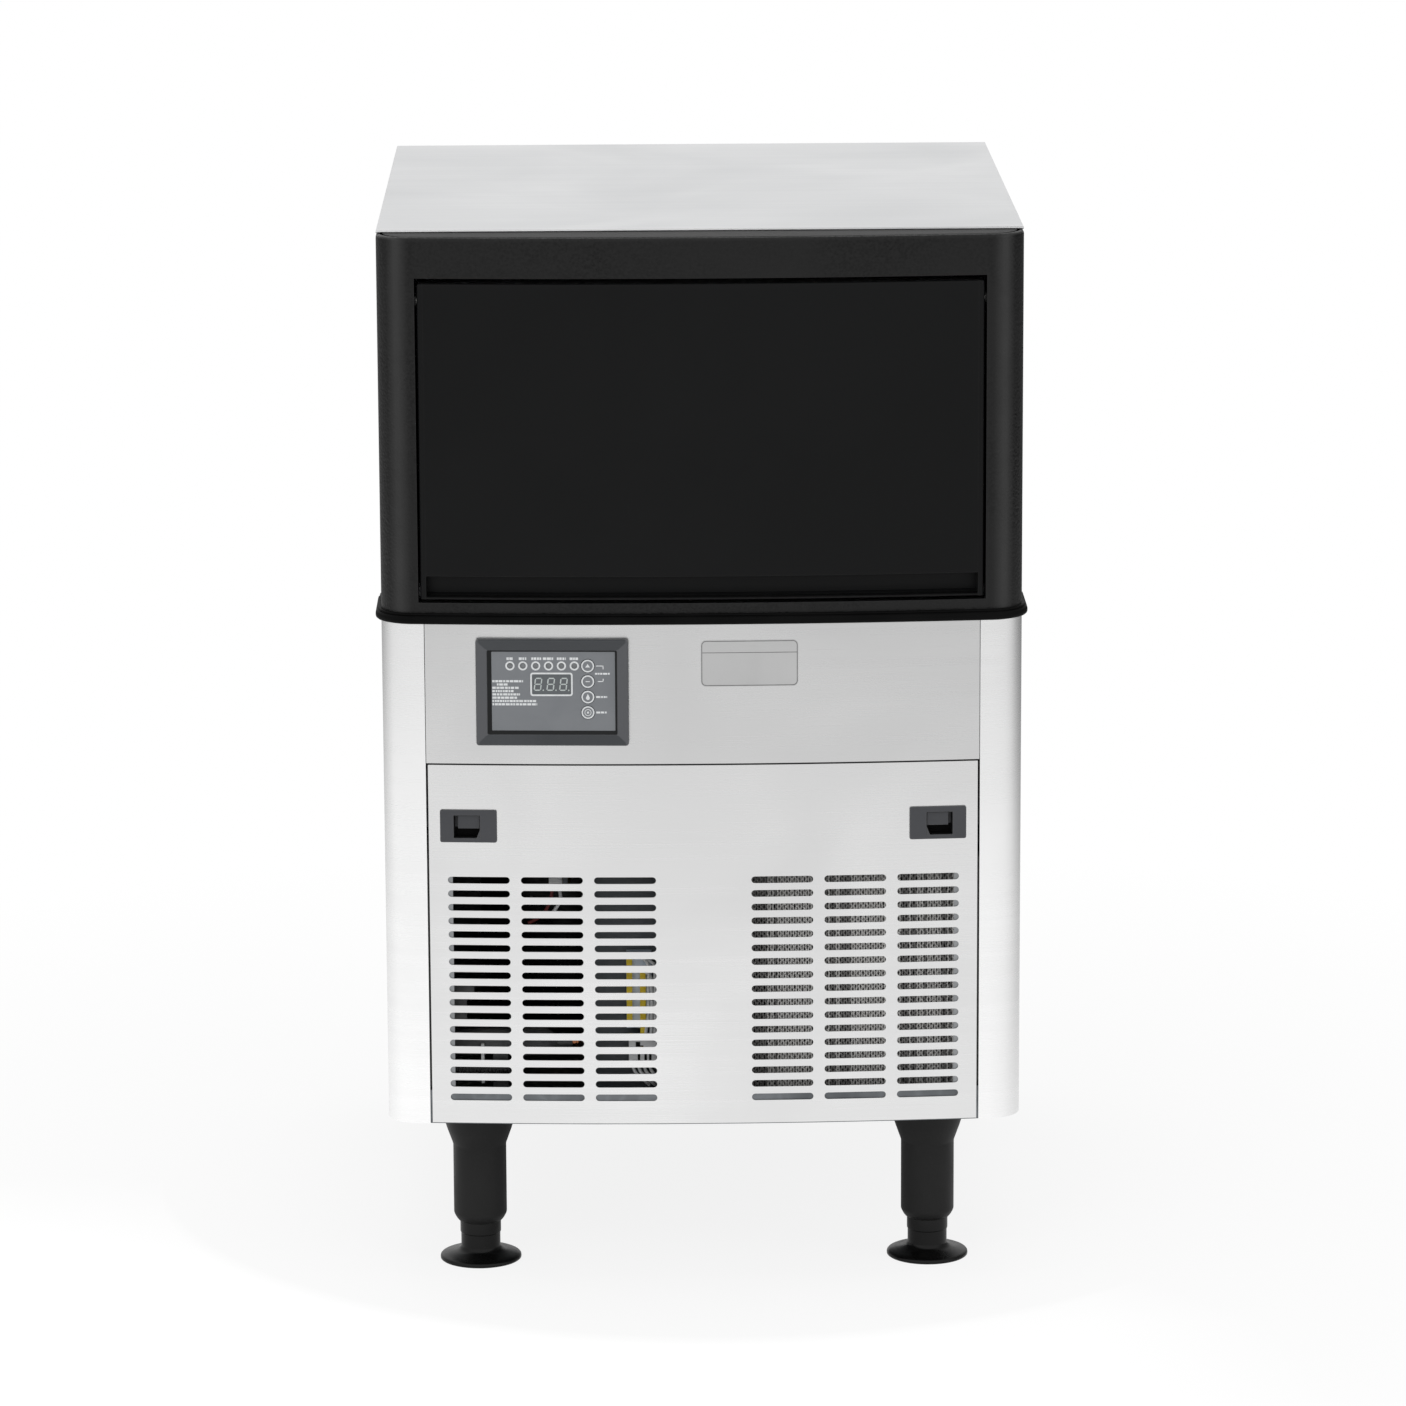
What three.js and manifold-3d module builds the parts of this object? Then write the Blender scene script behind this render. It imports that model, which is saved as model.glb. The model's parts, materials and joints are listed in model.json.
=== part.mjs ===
// Undercounter ice maker: a stainless cabinet on four adjustable legs, with a bowed front, a black
// front frame round a top-hung bin door, a slotted service panel, and the ice-making, water and
// refrigeration parts inside. Millimetres, +Z up, the front faces -Y and the floor is Z = 0.
// In the cabinet group Y = 0 is the front edge of the steel top, where the corner rounding begins.

import * as THREE from "three";
import { mergeVertices } from "three/addons/utils/BufferGeometryUtils.js";
import Module from "manifold-3d";

const wasm = await Module();
wasm.setup();

// Cabinet shell
const cabinetWidth = 500;
const cabinetDepth = 520;
const cornerRadius = 27;
const frontBow = 10;
const sheetThickness = 1;
const legHeight = 130;

// Clearances shared by all pieces
const seatGap = 0.3;
const pinGap = 0.2;
const cutOverrun = 6;
const weldDistance = 0.0001;

// Front stack, from the cabinet underside to the steel top
const lowerPanelFootGap = 1;
const lowerPanelHeight = 289.2;
const frontSeam = 1.3;
const stripHeight = 110.5;
const beadSeam = 0.5;
const beadHeight = 8.5;
const fasciaHeight = 293;
const topThickness = 2;

// Front posts of the side panels
const postWidth = 33.7;
const stripSideGap = 0.3;
const lowerPanelSideGap = 1.7;
const stripFoldDepth = 10.5;
const postReturnDepth = 5;
const postReturnLift = 30;
const panelSeatWidth = 20;
const panelSeatTopDrop = 76;

// Steel top
const topSkirtDepth = 14;
const topSkirtFrontMargin = 60;

// Base pan and rear panel
const basePlateThickness = 1.2;
const baseFlangeHeight = 27;
const rearVentLength = 70;
const rearVentHeight = 6;
const rearVentPitch = 14;
const rearVentRows = 5;
const rearVentColumnX = 150;
const rearVentTopLift = 230;

// Front frame
const fasciaWall = 2.5;
const fasciaWrap = 55;
const topRailHeight = 31.4;
const bottomRailHeight = 8;
const stileWidth = 29.8;
const stileReturnBack = 4;
const ledgeLap = 3;
const pinSocketRadius = 6;
const pinSocketLength = 8;
const beadReach = 4.5;
const beadRound = 3;

// Door
const doorTopGap = 4.1;
const doorSideGap = 1.7;
const doorBottomGap = 2.3;
const doorRecess = 1;
const doorEndThickness = 16;
const doorWall = 2.5;
const doorInnerThickness = 7;
const doorInnerMargin = 3;
const channelLip = 2;
const channelHeight = 16.1;
const channelEndWall = 4.5;
const channelDepth = 12;
const pinRadius = 3;
const pinBelowDoorTop = 14;
const pinBehindFace = 8;
const pinEngagement = 8;

// Service panel slots
const slotLength = 48.5;
const slotHeight = 5.4;
const slotPitchX = 57.2;
const slotPitchZ = 11;
const slotFirstColumnX = 61.5;
const slotTopMargin = 92.2;
const slotBottomMargin = 18;
const slotSideMargin = 12;

// Slide latches
const latchWidth = 44.5;
const latchHeight = 26;
const latchFromEdge = 31.2;
const latchBelowTop = 48.6;
const latchPlate = 1.5;
const latchWall = 1.5;
const latchPocketInner = 8.9;
const latchPocketOuter = 11.5;
const latchPocketTop = 8.5;
const latchPocketBottom = 9.6;
const latchPocketDepth = 10;
const latchTravel = 7;
const latchThumbOuter = 8.3;
const latchThumbBottom = 2.2;
const latchThumbSink = 1;
const latchTongueFront = 6.5;
const latchTongueThickness = 2;
const latchTongueReach = 38;

// Control panel
const bezelWidth = 118.8;
const bezelHeight = 84.4;
const bezelLeftMargin = 39.8;
const bezelTopMargin = 10.6;
const bezelProud = 5;
const bezelBevel = 2;
const bezelBorder = 9;
const bezelNeckMargin = 4;
const bezelNeckDepth = 14;
const bezelLedge = 3.5;
const membraneSink = 3;
const membraneThickness = 1.5;
const keyRadius = 5.3;
const keyProud = 0.5;
const keyLength = 8;
const keyColumnX = 27.7;
const keyTopZ = 20.9;
const keyPitch = 12.3;
const keyNames = ["key_up", "key_down", "key_clean", "key_select"];
const displayWidth = 31;
const displayHeight = 16.7;
const displayX = -0.5;
const displayZ = 6.3;
const displayDepth = 4;
const lampRadius = 2;
const lampPitch = 10;
const lampLastX = 17.3;
const lampCount = 6;
const lampBarHeight = 6;
const lampBarDepth = 3;
const boardDepth = 8;
const boardThickness = 1.6;
const boardPartHeight = 7;
const labelWidth = 75.8;
const labelHeight = 36.7;
const labelLeftX = -1.5;
const labelTopMargin = 12.4;
const labelThickness = 0.4;

// Insulation and bin liner
const foamFrontY = 6;
const foamBottomLift = 10.5;
const foamFloorThickness = 35;
const foamWall = 23;
const foamRearWall = 27;
const foamRoof = 26;
const foamSillThickness = 22;
const sillAboveOpening = 4;
const linerWall = 2;
const linerFlange = 12;
const drainHoleRadius = 8;
const drainHoleX = 120;
const drainHoleFromRear = 80;

// Ice-making parts
const evaporatorHeight = 162;
const evaporatorThickness = 18;
const evaporatorPumpGap = 17.6;
const evaporatorTopDrop = 33;
const evaporatorFromRear = 40;
const pocketSize = 31;
const pocketPitch = 36;
const pocketDepth = 13;
const hangerThickness = 3;
const hangerDepth = 36;
const hangerHeight = 90;
const coolingTubeRadius = 4;
const coolingTubeRows = 4;
const sprayTubeRadius = 8;
const sprayTubeDrop = 20;
const curtainThickness = 2;
const curtainStandoff = 6;
const curtainPinRadius = 3;
const curtainPinDrop = 25;
const curtainSideGap = 3;
const curtainBottomGap = 8;
const troughDrop = 207;
const troughDepth = 38;
const troughFront = 86;
const troughRear = 10;
const troughWall = 2;
const troughSideMargin = 12;
const troughRimDepth = 8;
const pumpRadius = 20;
const pumpHeight = 88;
const pumpShoulder = 8;
const pumpNeckRadius = 9;
const pumpNeckHeight = 16;
const floatBodyWidth = 44;
const floatBodyDepth = 20;
const floatBodyHeight = 26;
const floatBodyLift = 6;
const floatArmLength = 40;
const floatArmWidth = 5;
const floatArmThickness = 4;
const floatPinRadius = 2;
const floatPinAhead = 8;
const floatEarThickness = 3;
const floatRadius = 9;
const floatHang = 22;

// Refrigeration parts
const condenserFromBox = 63;
const condenserDepth = 44;
const condenserBelowPanelTop = 75;
const condenserPlate = 3;
const condenserInset = 3;
const condenserSideMargin = 13.6;
const condenserFrontY = -8;
const shroudDepth = 26;
const shroudWall = 3;
const fanEdgeMargin = 12;
const fanTipGap = 4;
const fanHubRadius = 16;
const fanHubLength = 16;
const fanBlades = 5;
const fanBladeChord = 44;
const fanBladeThickness = 1.6;
const fanPitchDegrees = 25;
const fanShaftRadius = 3;
const fanShaftLength = 14;
const motorRadius = 38;
const motorLength = 46;
const motorStandoff = 16;
const motorArmWidth = 12;
const motorArmThickness = 4;
const motorFootLap = 8;
const compressorRadius = 76;
const compressorShoulderShare = 0.18;
const compressorDomeShare = 0.62;
const pipeHeadroom = 100.8;
const compressorFootHeight = 14;
const compressorFootRadius = 12;
const compressorPlate = 3;
const compressorPlateWidth = 190;
const compressorPlateDepth = 130;
const compressorFromSide = 140;
const compressorFromRear = 190;
const terminalCoverWidth = 44;
const terminalCoverHeight = 56;
const terminalCoverDepth = 20;
const stubRadius = 6;
const stubRise = 10;
const dischargeStubX = 60;
const dischargeStubY = -30;
const suctionStubX = -40;
const suctionStubY = 40;
const dischargePipeRadius = 4;
const suctionPipeRadius = 6;
const dischargeRunLift = 70;
const suctionRise = 30;
const suctionShift = 22;
const liquidPipeRadius = 3;
const drierRadius = 11;
const drierNeckLength = 12;
const drierNeckRadius = 4;
const drierSideGap = 31;
const drierBoxGap = 12;
const drierHeight = 56;
const drierY = 5;
const drierSaddleWidth = 12;
const valveBodyRadius = 8;
const valveBodyHeight = 34;
const valveCoilSize = 26;
const valveCoilHeight = 24;
const valveX = -112;
const valveY = 18;
const valveStrapWidth = 14;
const valveStrapThickness = 3;
const valveDrop = 118;

// Electrical parts
const boxRightX = -30;
const boxWidth = 62;
const boxDepth = 82;
const boxHeight = 204;
const boxFrontY = -2;
const boxSheet = 1.2;
const terminalWidth = 20;
const terminalHeight = 66;
const terminalDepth = 12;
const terminalFromBoxRight = 11;
const terminalLift = 71;
const terminalGroove = 4;
const terminalPitch = 11;

// Rear fittings
const inletX = -150;
const inletHeight = 72;
const inletThreadRadius = 13;
const inletBoreRadius = 8;
const inletReach = 18;
const inletBodySize = 40;
const inletBoreDepth = 30;
const inletCoilRadius = 14;
const inletCoilHeight = 26;
const drainHeight = 62;
const drainTubeRadius = 11;
const drainBoreRadius = 7.5;
const drainFlangeRadius = 17;
const drainFlangeThickness = 3;
const drainReach = 20;
const drainInside = 20;
const drainPipeRadius = 10;
const drainBend = 40;
const glandX = -40;
const glandHeight = 72;
const glandThreadRadius = 8;
const glandBoreRadius = 4.5;
const glandNutRadius = 12;
const glandNutLength = 7;
const glandDomeLength = 12;
const glandInside = 8;

// Legs and levelling feet
const legFromSide = 70.7;
const legFrontY = 37;
const legFromRear = 65;
const legTopRadius = 32.5;
const legShoulderRadius = 25.6;
const legShoulderDrop = 22.3;
const legTaperDrop = 34.6;
const legRadius = 21.2;
const legBottomChamfer = 7;
const legBottomHeight = 32;
const legChamferWidth = 4.2;
const legCapThickness = 12;
const stemRadius = 15.7;
const stemGap = 0.35;
const collarRadius = 16.3;
const collarHeight = 10;
const stemHiddenLength = 48;
const footRadius = 32.5;
const footRim = 3.5;
const footCrown = 4.5;

// Mesh resolution
const cornerSteps = 5;
const slotEndSteps = 2;
const roundSides = 20;
const pinSides = 12;
const pipeSides = 8;
const pipeSteps = 26;

// Heights and planes that follow from the sizes above
const halfWidth = cabinetWidth / 2;
const cornerX = halfWidth - cornerRadius;
const frontChordY = -cornerRadius;
const bodyBottom = legHeight;
const lowerPanelBottom = bodyBottom + lowerPanelFootGap;
const lowerPanelTop = lowerPanelBottom + lowerPanelHeight;
const stripBottom = lowerPanelTop + frontSeam;
const stripTop = stripBottom + stripHeight;
const beadBottom = stripTop + beadSeam;
const beadTop = beadBottom + beadHeight;
const fasciaTop = beadTop + fasciaHeight;
const standingHeight = fasciaTop + topThickness;
const baseTop = bodyBottom + basePlateThickness;
const postEdgeHalf = halfWidth - postWidth;
const stripHalf = postEdgeHalf - stripSideGap;
const lowerPanelHalf = postEdgeHalf - lowerPanelSideGap;
const sideInnerX = halfWidth - sheetThickness;
const rearInnerY = cabinetDepth - sheetThickness;

const openingHalf = halfWidth - stileWidth;
const openingBottom = beadTop + bottomRailHeight;
const openingTop = fasciaTop - topRailHeight;
const doorHalf = openingHalf - doorSideGap;
const doorBottom = openingBottom + doorBottomGap;
const doorTop = openingTop - doorTopGap;
const channelBottom = doorBottom + channelLip;
const channelTop = channelBottom + channelHeight;

// The front sheets are folded into flats whose bends lie between the slot columns.
const slotColumnCount = 1 + Math.floor(
  (lowerPanelHalf - slotFirstColumnX - slotLength / 2 - slotSideMargin) / slotPitchX,
);
const slotRowCount = 1 + Math.floor(
  (lowerPanelHeight - slotTopMargin - slotBottomMargin) / slotPitchZ,
);
const foldX = Array.from(
  { length: slotColumnCount + 1 },
  (_, index) => slotFirstColumnX + (index - 1 / 2) * slotPitchX,
);
const facetStations = [
  -cornerX,
  ...foldX.map((x) => -x).reverse(),
  ...foldX,
  cornerX,
];

function bowY(x) {
  return frontChordY - frontBow * (1 - (x / cornerX) ** 2);
}

// Y of the folded front surface at any x between the corners.
function frontY(x) {
  const next = facetStations.findIndex((station) => station >= x);
  const index = Math.max(1, next < 0 ? facetStations.length - 1 : next);
  const left = facetStations[index - 1];
  const right = facetStations[index];
  const share = (x - left) / (right - left);
  return bowY(left) + share * (bowY(right) - bowY(left));
}

const doorBackY = frontY(doorHalf) + doorRecess + doorEndThickness;
const pinY = frontY(doorHalf) + doorRecess + pinBehindFace;
const pinZ = doorTop - pinBelowDoorTop;
const frontmostY = bowY(0) - beadReach;

// Basic solids
function boxSpan(x0, x1, y0, y1, z0, z1) {
  const width = Math.abs(x1 - x0);
  const depth = Math.abs(y1 - y0);
  const height = Math.abs(z1 - z0);
  const box = new THREE.BoxGeometry(width, depth, height);
  return box.translate((x0 + x1) / 2, (y0 + y1) / 2, (z0 + z1) / 2);
}

function shapeOf(points) {
  return new THREE.Shape(points.map(([x, y]) => new THREE.Vector2(x, y)));
}

// A plan outline raised from one height to another.
function prismUp(points, bottom, top) {
  const settings = { depth: top - bottom, bevelEnabled: false };
  return new THREE.ExtrudeGeometry(shapeOf(points), settings).translate(0, 0, bottom);
}

// Outlines drawn in X and Z, carried from one depth to another.
function prismBack(outlines, front, back) {
  const settings = { depth: back - front, bevelEnabled: false };
  const prism = new THREE.ExtrudeGeometry(outlines.map(shapeOf), settings);
  return prism.rotateX(Math.PI / 2).translate(0, back, 0);
}

// A profile of [radius, height] points turned round an axis. It starts and ends on the axis or closes.
function turned(profile, axis = "z", sides = roundSides) {
  const points = profile.map(([radius, height]) => new THREE.Vector2(radius, height));
  const lathe = new THREE.LatheGeometry(points, sides);
  if (axis === "z") return lathe.rotateX(Math.PI / 2);
  if (axis === "x") return lathe.rotateZ(-Math.PI / 2);
  return lathe;
}

function rod(axis, radius, start, end, sides = pinSides) {
  const low = Math.min(start, end);
  const high = Math.max(start, end);
  return turned([[0, low], [radius, low], [radius, high], [0, high]], axis, sides);
}

// A pipe along a smooth route, with its ends square to the route.
function pipe(route, radius, bore = 0, steps = pipeSteps) {
  const points = route.map(([x, y, z]) => new THREE.Vector3(x, y, z));
  const section = new THREE.Shape().absarc(0, 0, radius, 0, 2 * Math.PI);
  if (bore > 0) {
    section.holes.push(new THREE.Path().absarc(0, 0, bore, 0, 2 * Math.PI, true));
  }
  return new THREE.ExtrudeGeometry(section, {
    steps,
    curveSegments: pipeSides / 2,
    extrudePath: new THREE.CatmullRomCurve3(points, false, "centripetal"),
  });
}

// Position-only geometry with shared corners and no collapsed triangles.
function welded(geometry) {
  const bare = geometry.index ? geometry.toNonIndexed() : geometry.clone();
  bare.deleteAttribute("normal");
  bare.deleteAttribute("uv");
  const merged = mergeVertices(bare, weldDistance);
  const corners = merged.index.array;
  const kept = [];
  for (let i = 0; i < corners.length; i += 3) {
    const [a, b, c] = [corners[i], corners[i + 1], corners[i + 2]];
    if (a !== b && b !== c && c !== a) kept.push(a, b, c);
  }
  merged.setIndex(kept);
  return merged;
}

function solidOf(geometry) {
  const mesh = welded(geometry);
  return new wasm.Manifold(new wasm.Mesh({
    numProp: 3,
    vertProperties: new Float32Array(mesh.attributes.position.array),
    triVerts: new Uint32Array(mesh.index.array),
  }));
}

function geometryOf(solid) {
  const mesh = solid.getMesh();
  const geometry = new THREE.BufferGeometry();
  geometry.setAttribute("position", new THREE.BufferAttribute(mesh.vertProperties, 3));
  geometry.setIndex(new THREE.BufferAttribute(mesh.triVerts, 1));
  return geometry;
}

function join(...pieces) {
  return geometryOf(pieces.map(solidOf).reduce((whole, piece) => whole.add(piece)));
}

function cut(body, ...tools) {
  return geometryOf(tools.map(solidOf).reduce((rest, tool) => rest.subtract(tool), solidOf(body)));
}

function common(first, second) {
  return geometryOf(solidOf(first).intersect(solidOf(second)));
}

// Front outlines in plan
function frontLine(fromX, toX, inset = 0) {
  const inner = facetStations.filter((x) => x > fromX && x < toX);
  return [fromX, ...inner, toX].map((x) => [x, frontY(x) + inset]);
}

// Plan points of a rounded corner, from its side face to its front face.
function cornerArc(side, inset) {
  return Array.from({ length: cornerSteps + 1 }, (_, step) => {
    const angle = (Math.PI / 2) * (step / cornerSteps);
    const radius = cornerRadius - inset;
    return [side * (cornerX + radius * Math.cos(angle)), -radius * Math.sin(angle)];
  });
}

// The cabinet's plan line, down the left side, round the front and back up the right side.
function wrapLine(inset, backY) {
  const sideX = halfWidth - inset;
  return [
    [-sideX, backY],
    ...cornerArc(-1, inset),
    ...frontLine(-foldX.at(-1), foldX.at(-1), inset),
    ...cornerArc(1, inset).reverse(),
    [sideX, backY],
  ];
}

function wrapBand(outerInset, innerInset, backY) {
  return [...wrapLine(outerInset, backY), ...wrapLine(innerInset, backY).reverse()];
}

function bowedSheet(fromX, toX, bottom, top, outerInset, innerInset) {
  const outer = frontLine(fromX, toX, outerInset);
  const inner = frontLine(fromX, toX, innerInset).reverse();
  return prismUp([...outer, ...inner], bottom, top);
}

// A slot with round ends, drawn in X and Z about its centre.
function slotOutline(centreX, centreZ, length, height) {
  const radius = height / 2;
  const endX = length / 2 - radius;
  const end = (side, startAngle) => Array.from({ length: slotEndSteps + 1 }, (_, step) => {
    const angle = startAngle + Math.PI * (step / slotEndSteps);
    const x = centreX + side * endX + radius * Math.cos(angle);
    return [x, centreZ + radius * Math.sin(angle)];
  });
  return [...end(1, -Math.PI / 2), ...end(-1, Math.PI / 2)];
}

function rectangle(x0, x1, z0, z1) {
  return [[x0, z0], [x1, z0], [x1, z1], [x0, z1]];
}

// A group that lies on the folded front between two x values: its Y = 0 plane just clears the sheet.
function sheetFrame(leftX, rightX, centreZ) {
  const left = new THREE.Vector2(leftX, frontY(leftX));
  const right = new THREE.Vector2(rightX, frontY(rightX));
  const along = right.clone().sub(left).normalize();
  const ahead = new THREE.Vector2(along.y, -along.x);
  const between = facetStations.filter((x) => x > leftX && x < rightX);
  const rises = between.map((x) => new THREE.Vector2(x, frontY(x)).sub(left).dot(ahead));
  const middle = left.clone().lerp(right, 1 / 2);
  middle.addScaledVector(ahead, Math.max(0, ...rises) + seatGap);
  const frame = new THREE.Group();
  frame.position.set(middle.x, middle.y, centreZ);
  frame.rotation.z = Math.atan2(along.y, along.x);
  frame.updateMatrix();
  return frame;
}

// Materials, as seen in the photograph
function finish(color, roughness, metalness = 0) {
  return () => new THREE.MeshStandardMaterial({ color, roughness, metalness });
}

const brushedSteel = finish(0xe2e2e3, 0.35, 1);
const topSteel = finish(0xd9dbdc, 0.4, 1);
const galvanised = finish(0xa9adb0, 0.5, 1);
const grainedBlack = finish(0x2a2a2b, 0.6);
const glossBlack = finish(0x1c1c1d, 0.25);
const doorBlack = finish(0x202022, 0.45);
const legBlack = finish(0x2e2e2f, 0.5);
const bezelGrey = finish(0x4a4d50, 0.5);
const membraneGrey = finish(0x808488, 0.45);
const latchGrey = finish(0x55565a, 0.5);
const thumbGrey = finish(0x404346, 0.5);
const displayGlass = finish(0x5c6165, 0.15);
const lampWhite = finish(0xd8dadc, 0.4);
const boardGreen = finish(0x2f6b46, 0.6);
const labelFoil = finish(0xd4d6d8, 0.4);
const foamCream = finish(0xe6dcb8, 0.9);
const linerWhite = finish(0xeef1f4, 0.35);
const nickel = finish(0xc4c6c4, 0.3, 1);
const whitePlastic = finish(0xf0f1f2, 0.45);
const clearPlastic = finish(0xdfe8ee, 0.2);
const copper = finish(0xb87348, 0.35, 1);
const aluminiumFins = finish(0x9a9ea3, 0.45, 1);
const blackPaint = finish(0x1b1b1c, 0.4);
const greyPaint = finish(0x53585c, 0.5);
const fanPlastic = finish(0x2f3133, 0.5);
const yellowPlastic = finish(0xd9b81c, 0.5);

const cabinet = new THREE.Group();

function place(name, geometry, material, parent = cabinet) {
  const mesh = new THREE.Mesh(geometry, material());
  mesh.name = name;
  parent.add(mesh);
  return mesh;
}

// Steel top: a flat pan whose skirt drops inside the side panels and the rear panel.
function topPanel() {
  const skirtX = sideInnerX - seatGap;
  const skirtY = rearInnerY - seatGap;
  const innerX = skirtX - sheetThickness;
  const innerY = skirtY - sheetThickness;
  const sheet = boxSpan(-halfWidth, halfWidth, 0, cabinetDepth, fasciaTop, standingHeight);
  const skirt = prismUp(
    [
      [-skirtX, topSkirtFrontMargin],
      [-innerX, topSkirtFrontMargin],
      [-innerX, innerY],
      [innerX, innerY],
      [innerX, topSkirtFrontMargin],
      [skirtX, topSkirtFrontMargin],
      [skirtX, skirtY],
      [-skirtX, skirtY],
    ],
    fasciaTop - topSkirtDepth, fasciaTop + topThickness / 2,
  );
  return join(sheet, skirt);
}

// Side panel: a flat side that wraps the front corner below the front frame, with a return along the
// front seam and a narrow seat behind the edge of the service panel.
function sidePanel(side) {
  const frontPoints = (inset) => [
    [side * postEdgeHalf, frontY(side * postEdgeHalf) + inset],
    ...cornerArc(side, inset).reverse(),
    [side * (halfWidth - inset), cabinetDepth],
  ];
  const outline = [...frontPoints(0), ...frontPoints(sheetThickness).reverse()];
  const wrapped = prismUp(outline, bodyBottom, stripTop);
  const upper = boxSpan(
    side * sideInnerX, side * halfWidth, fasciaWrap + beadSeam, cabinetDepth,
    stripTop - cutOverrun, fasciaTop,
  );
  const returnX = [postEdgeHalf, postEdgeHalf + sheetThickness].map((x) => side * x).sort((a, b) => a - b);
  const returnFoot = bodyBottom + postReturnLift;
  const postReturn = bowedSheet(...returnX, returnFoot, stripTop, sheetThickness / 2, postReturnDepth);
  const seatX = [postEdgeHalf - panelSeatWidth, postEdgeHalf + sheetThickness / 2].map((x) => side * x);
  const seatInset = sheetThickness + seatGap;
  const seat = bowedSheet(
    ...seatX.sort((a, b) => a - b), returnFoot, lowerPanelTop - panelSeatTopDrop,
    seatInset, seatInset + sheetThickness,
  );
  return join(wrapped, upper, postReturn, seat);
}

function rearPanel() {
  const half = sideInnerX - seatGap;
  const sheet = boxSpan(-half, half, rearInnerY, cabinetDepth, bodyBottom, fasciaTop);
  const ventTop = bodyBottom + rearVentTopLift;
  const vents = [-1, 1].flatMap((side) => Array.from({ length: rearVentRows }, (_, row) =>
    slotOutline(side * rearVentColumnX, ventTop - row * rearVentPitch, rearVentLength, rearVentHeight)));
  const through = [rearInnerY - cutOverrun, cabinetDepth + cutOverrun];
  const hole = (x, z, radius) => rod("y", radius + seatGap, ...through, roundSides).translate(x, 0, z);
  return cut(
    sheet,
    prismBack(vents, ...through),
    hole(inletX, bodyBottom + inletHeight, inletThreadRadius),
    hole(drainHoleX, bodyBottom + drainHeight, drainTubeRadius),
    hole(glandX, bodyBottom + glandHeight, glandThreadRadius),
  );
}

// Base pan: a floor plate that follows the front, with its edge turned up all round.
function basePan() {
  const inset = sheetThickness + seatGap;
  const back = rearInnerY - seatGap;
  const block = prismUp(wrapLine(inset, back), bodyBottom, bodyBottom + baseFlangeHeight);
  const inside = wrapLine(inset + basePlateThickness, back - basePlateThickness);
  return cut(block, prismUp(inside, baseTop, bodyBottom + baseFlangeHeight + cutOverrun));
}

// Front frame: a moulded shell that wraps both corners, with a ledge over the door, a floor under it,
// returns along the opening and a socket for each door pin.
function fasciaFrame() {
  const shell = prismUp(wrapBand(0, fasciaWall, fasciaWrap), beadTop, fasciaTop);
  const ledge = prismUp(wrapLine(0, ledgeLap), fasciaTop - fasciaWall, fasciaTop);
  const floor = prismUp(wrapLine(0, 0), beadTop, beadTop + fasciaWall);
  const rootY = frontY(openingHalf) + fasciaWall / 2;
  const returns = [-1, 1].map((side) => boxSpan(
    side * openingHalf, side * (openingHalf + fasciaWall), rootY, -stileReturnBack,
    openingBottom - fasciaWall, openingTop + fasciaWall,
  ));
  const sockets = [-1, 1].map((side) => rod(
    "x", pinSocketRadius, side * (openingHalf + fasciaWall / 2),
    side * (openingHalf + fasciaWall + pinSocketLength),
  ).translate(0, pinY, pinZ));
  const sill = prismUp(
    [
      ...frontLine(-openingHalf - fasciaWall / 2, openingHalf + fasciaWall / 2, fasciaWall / 2),
      [openingHalf + fasciaWall / 2, -stileReturnBack],
      [-openingHalf - fasciaWall / 2, -stileReturnBack],
    ],
    openingBottom - fasciaWall, openingBottom,
  );
  const opening = boxSpan(
    -openingHalf, openingHalf, frontmostY - cutOverrun, -stileReturnBack - fasciaWall,
    openingBottom, openingTop,
  );
  const bores = [-1, 1].map((side) => rod(
    "x", pinRadius + pinGap, side * (openingHalf - cutOverrun), side * (openingHalf + pinSocketLength),
  ).translate(0, pinY, pinZ));
  return cut(join(cut(join(shell, ledge, floor), opening), ...returns, ...sockets, sill), ...bores);
}

// Bead: a round-nosed strip under the front frame, standing out all round.
function trimBead() {
  const band = wrapBand(-beadReach, fasciaWall, fasciaWrap);
  const geometry = new THREE.ExtrudeGeometry(shapeOf(band), {
    depth: beadHeight - 2 * beadRound,
    bevelThickness: beadRound,
    bevelSize: beadRound,
    bevelOffset: -beadRound,
    bevelSegments: 2,
  });
  return geometry.translate(0, 0, beadBottom + beadRound);
}

// Door: a bowed shell, hollow at the back, with a finger channel across its foot and a pin bore in
// each end.
function doorShell() {
  const body = prismUp(
    [...frontLine(-doorHalf, doorHalf, doorRecess), [doorHalf, doorBackY], [-doorHalf, doorBackY]],
    doorBottom, doorTop,
  );
  const cavityHalf = doorHalf - pinEngagement - doorWall;
  const hollow = prismUp(
    [
      ...frontLine(-cavityHalf, cavityHalf, doorRecess + doorWall),
      [cavityHalf, doorBackY + cutOverrun],
      [-cavityHalf, doorBackY + cutOverrun],
    ],
    channelTop + doorWall, doorTop - doorWall,
  );
  const channelHalf = doorHalf - channelEndWall;
  const channel = bowedSheet(
    -channelHalf, channelHalf, channelBottom, channelTop, -cutOverrun, doorRecess + channelDepth,
  );
  const bores = [-1, 1].map((side) => rod(
    "x", pinRadius + pinGap, side * (doorHalf - pinEngagement), side * (doorHalf + cutOverrun),
  ).translate(0, pinY, pinZ));
  return cut(body, hollow, channel, ...bores);
}

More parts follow.
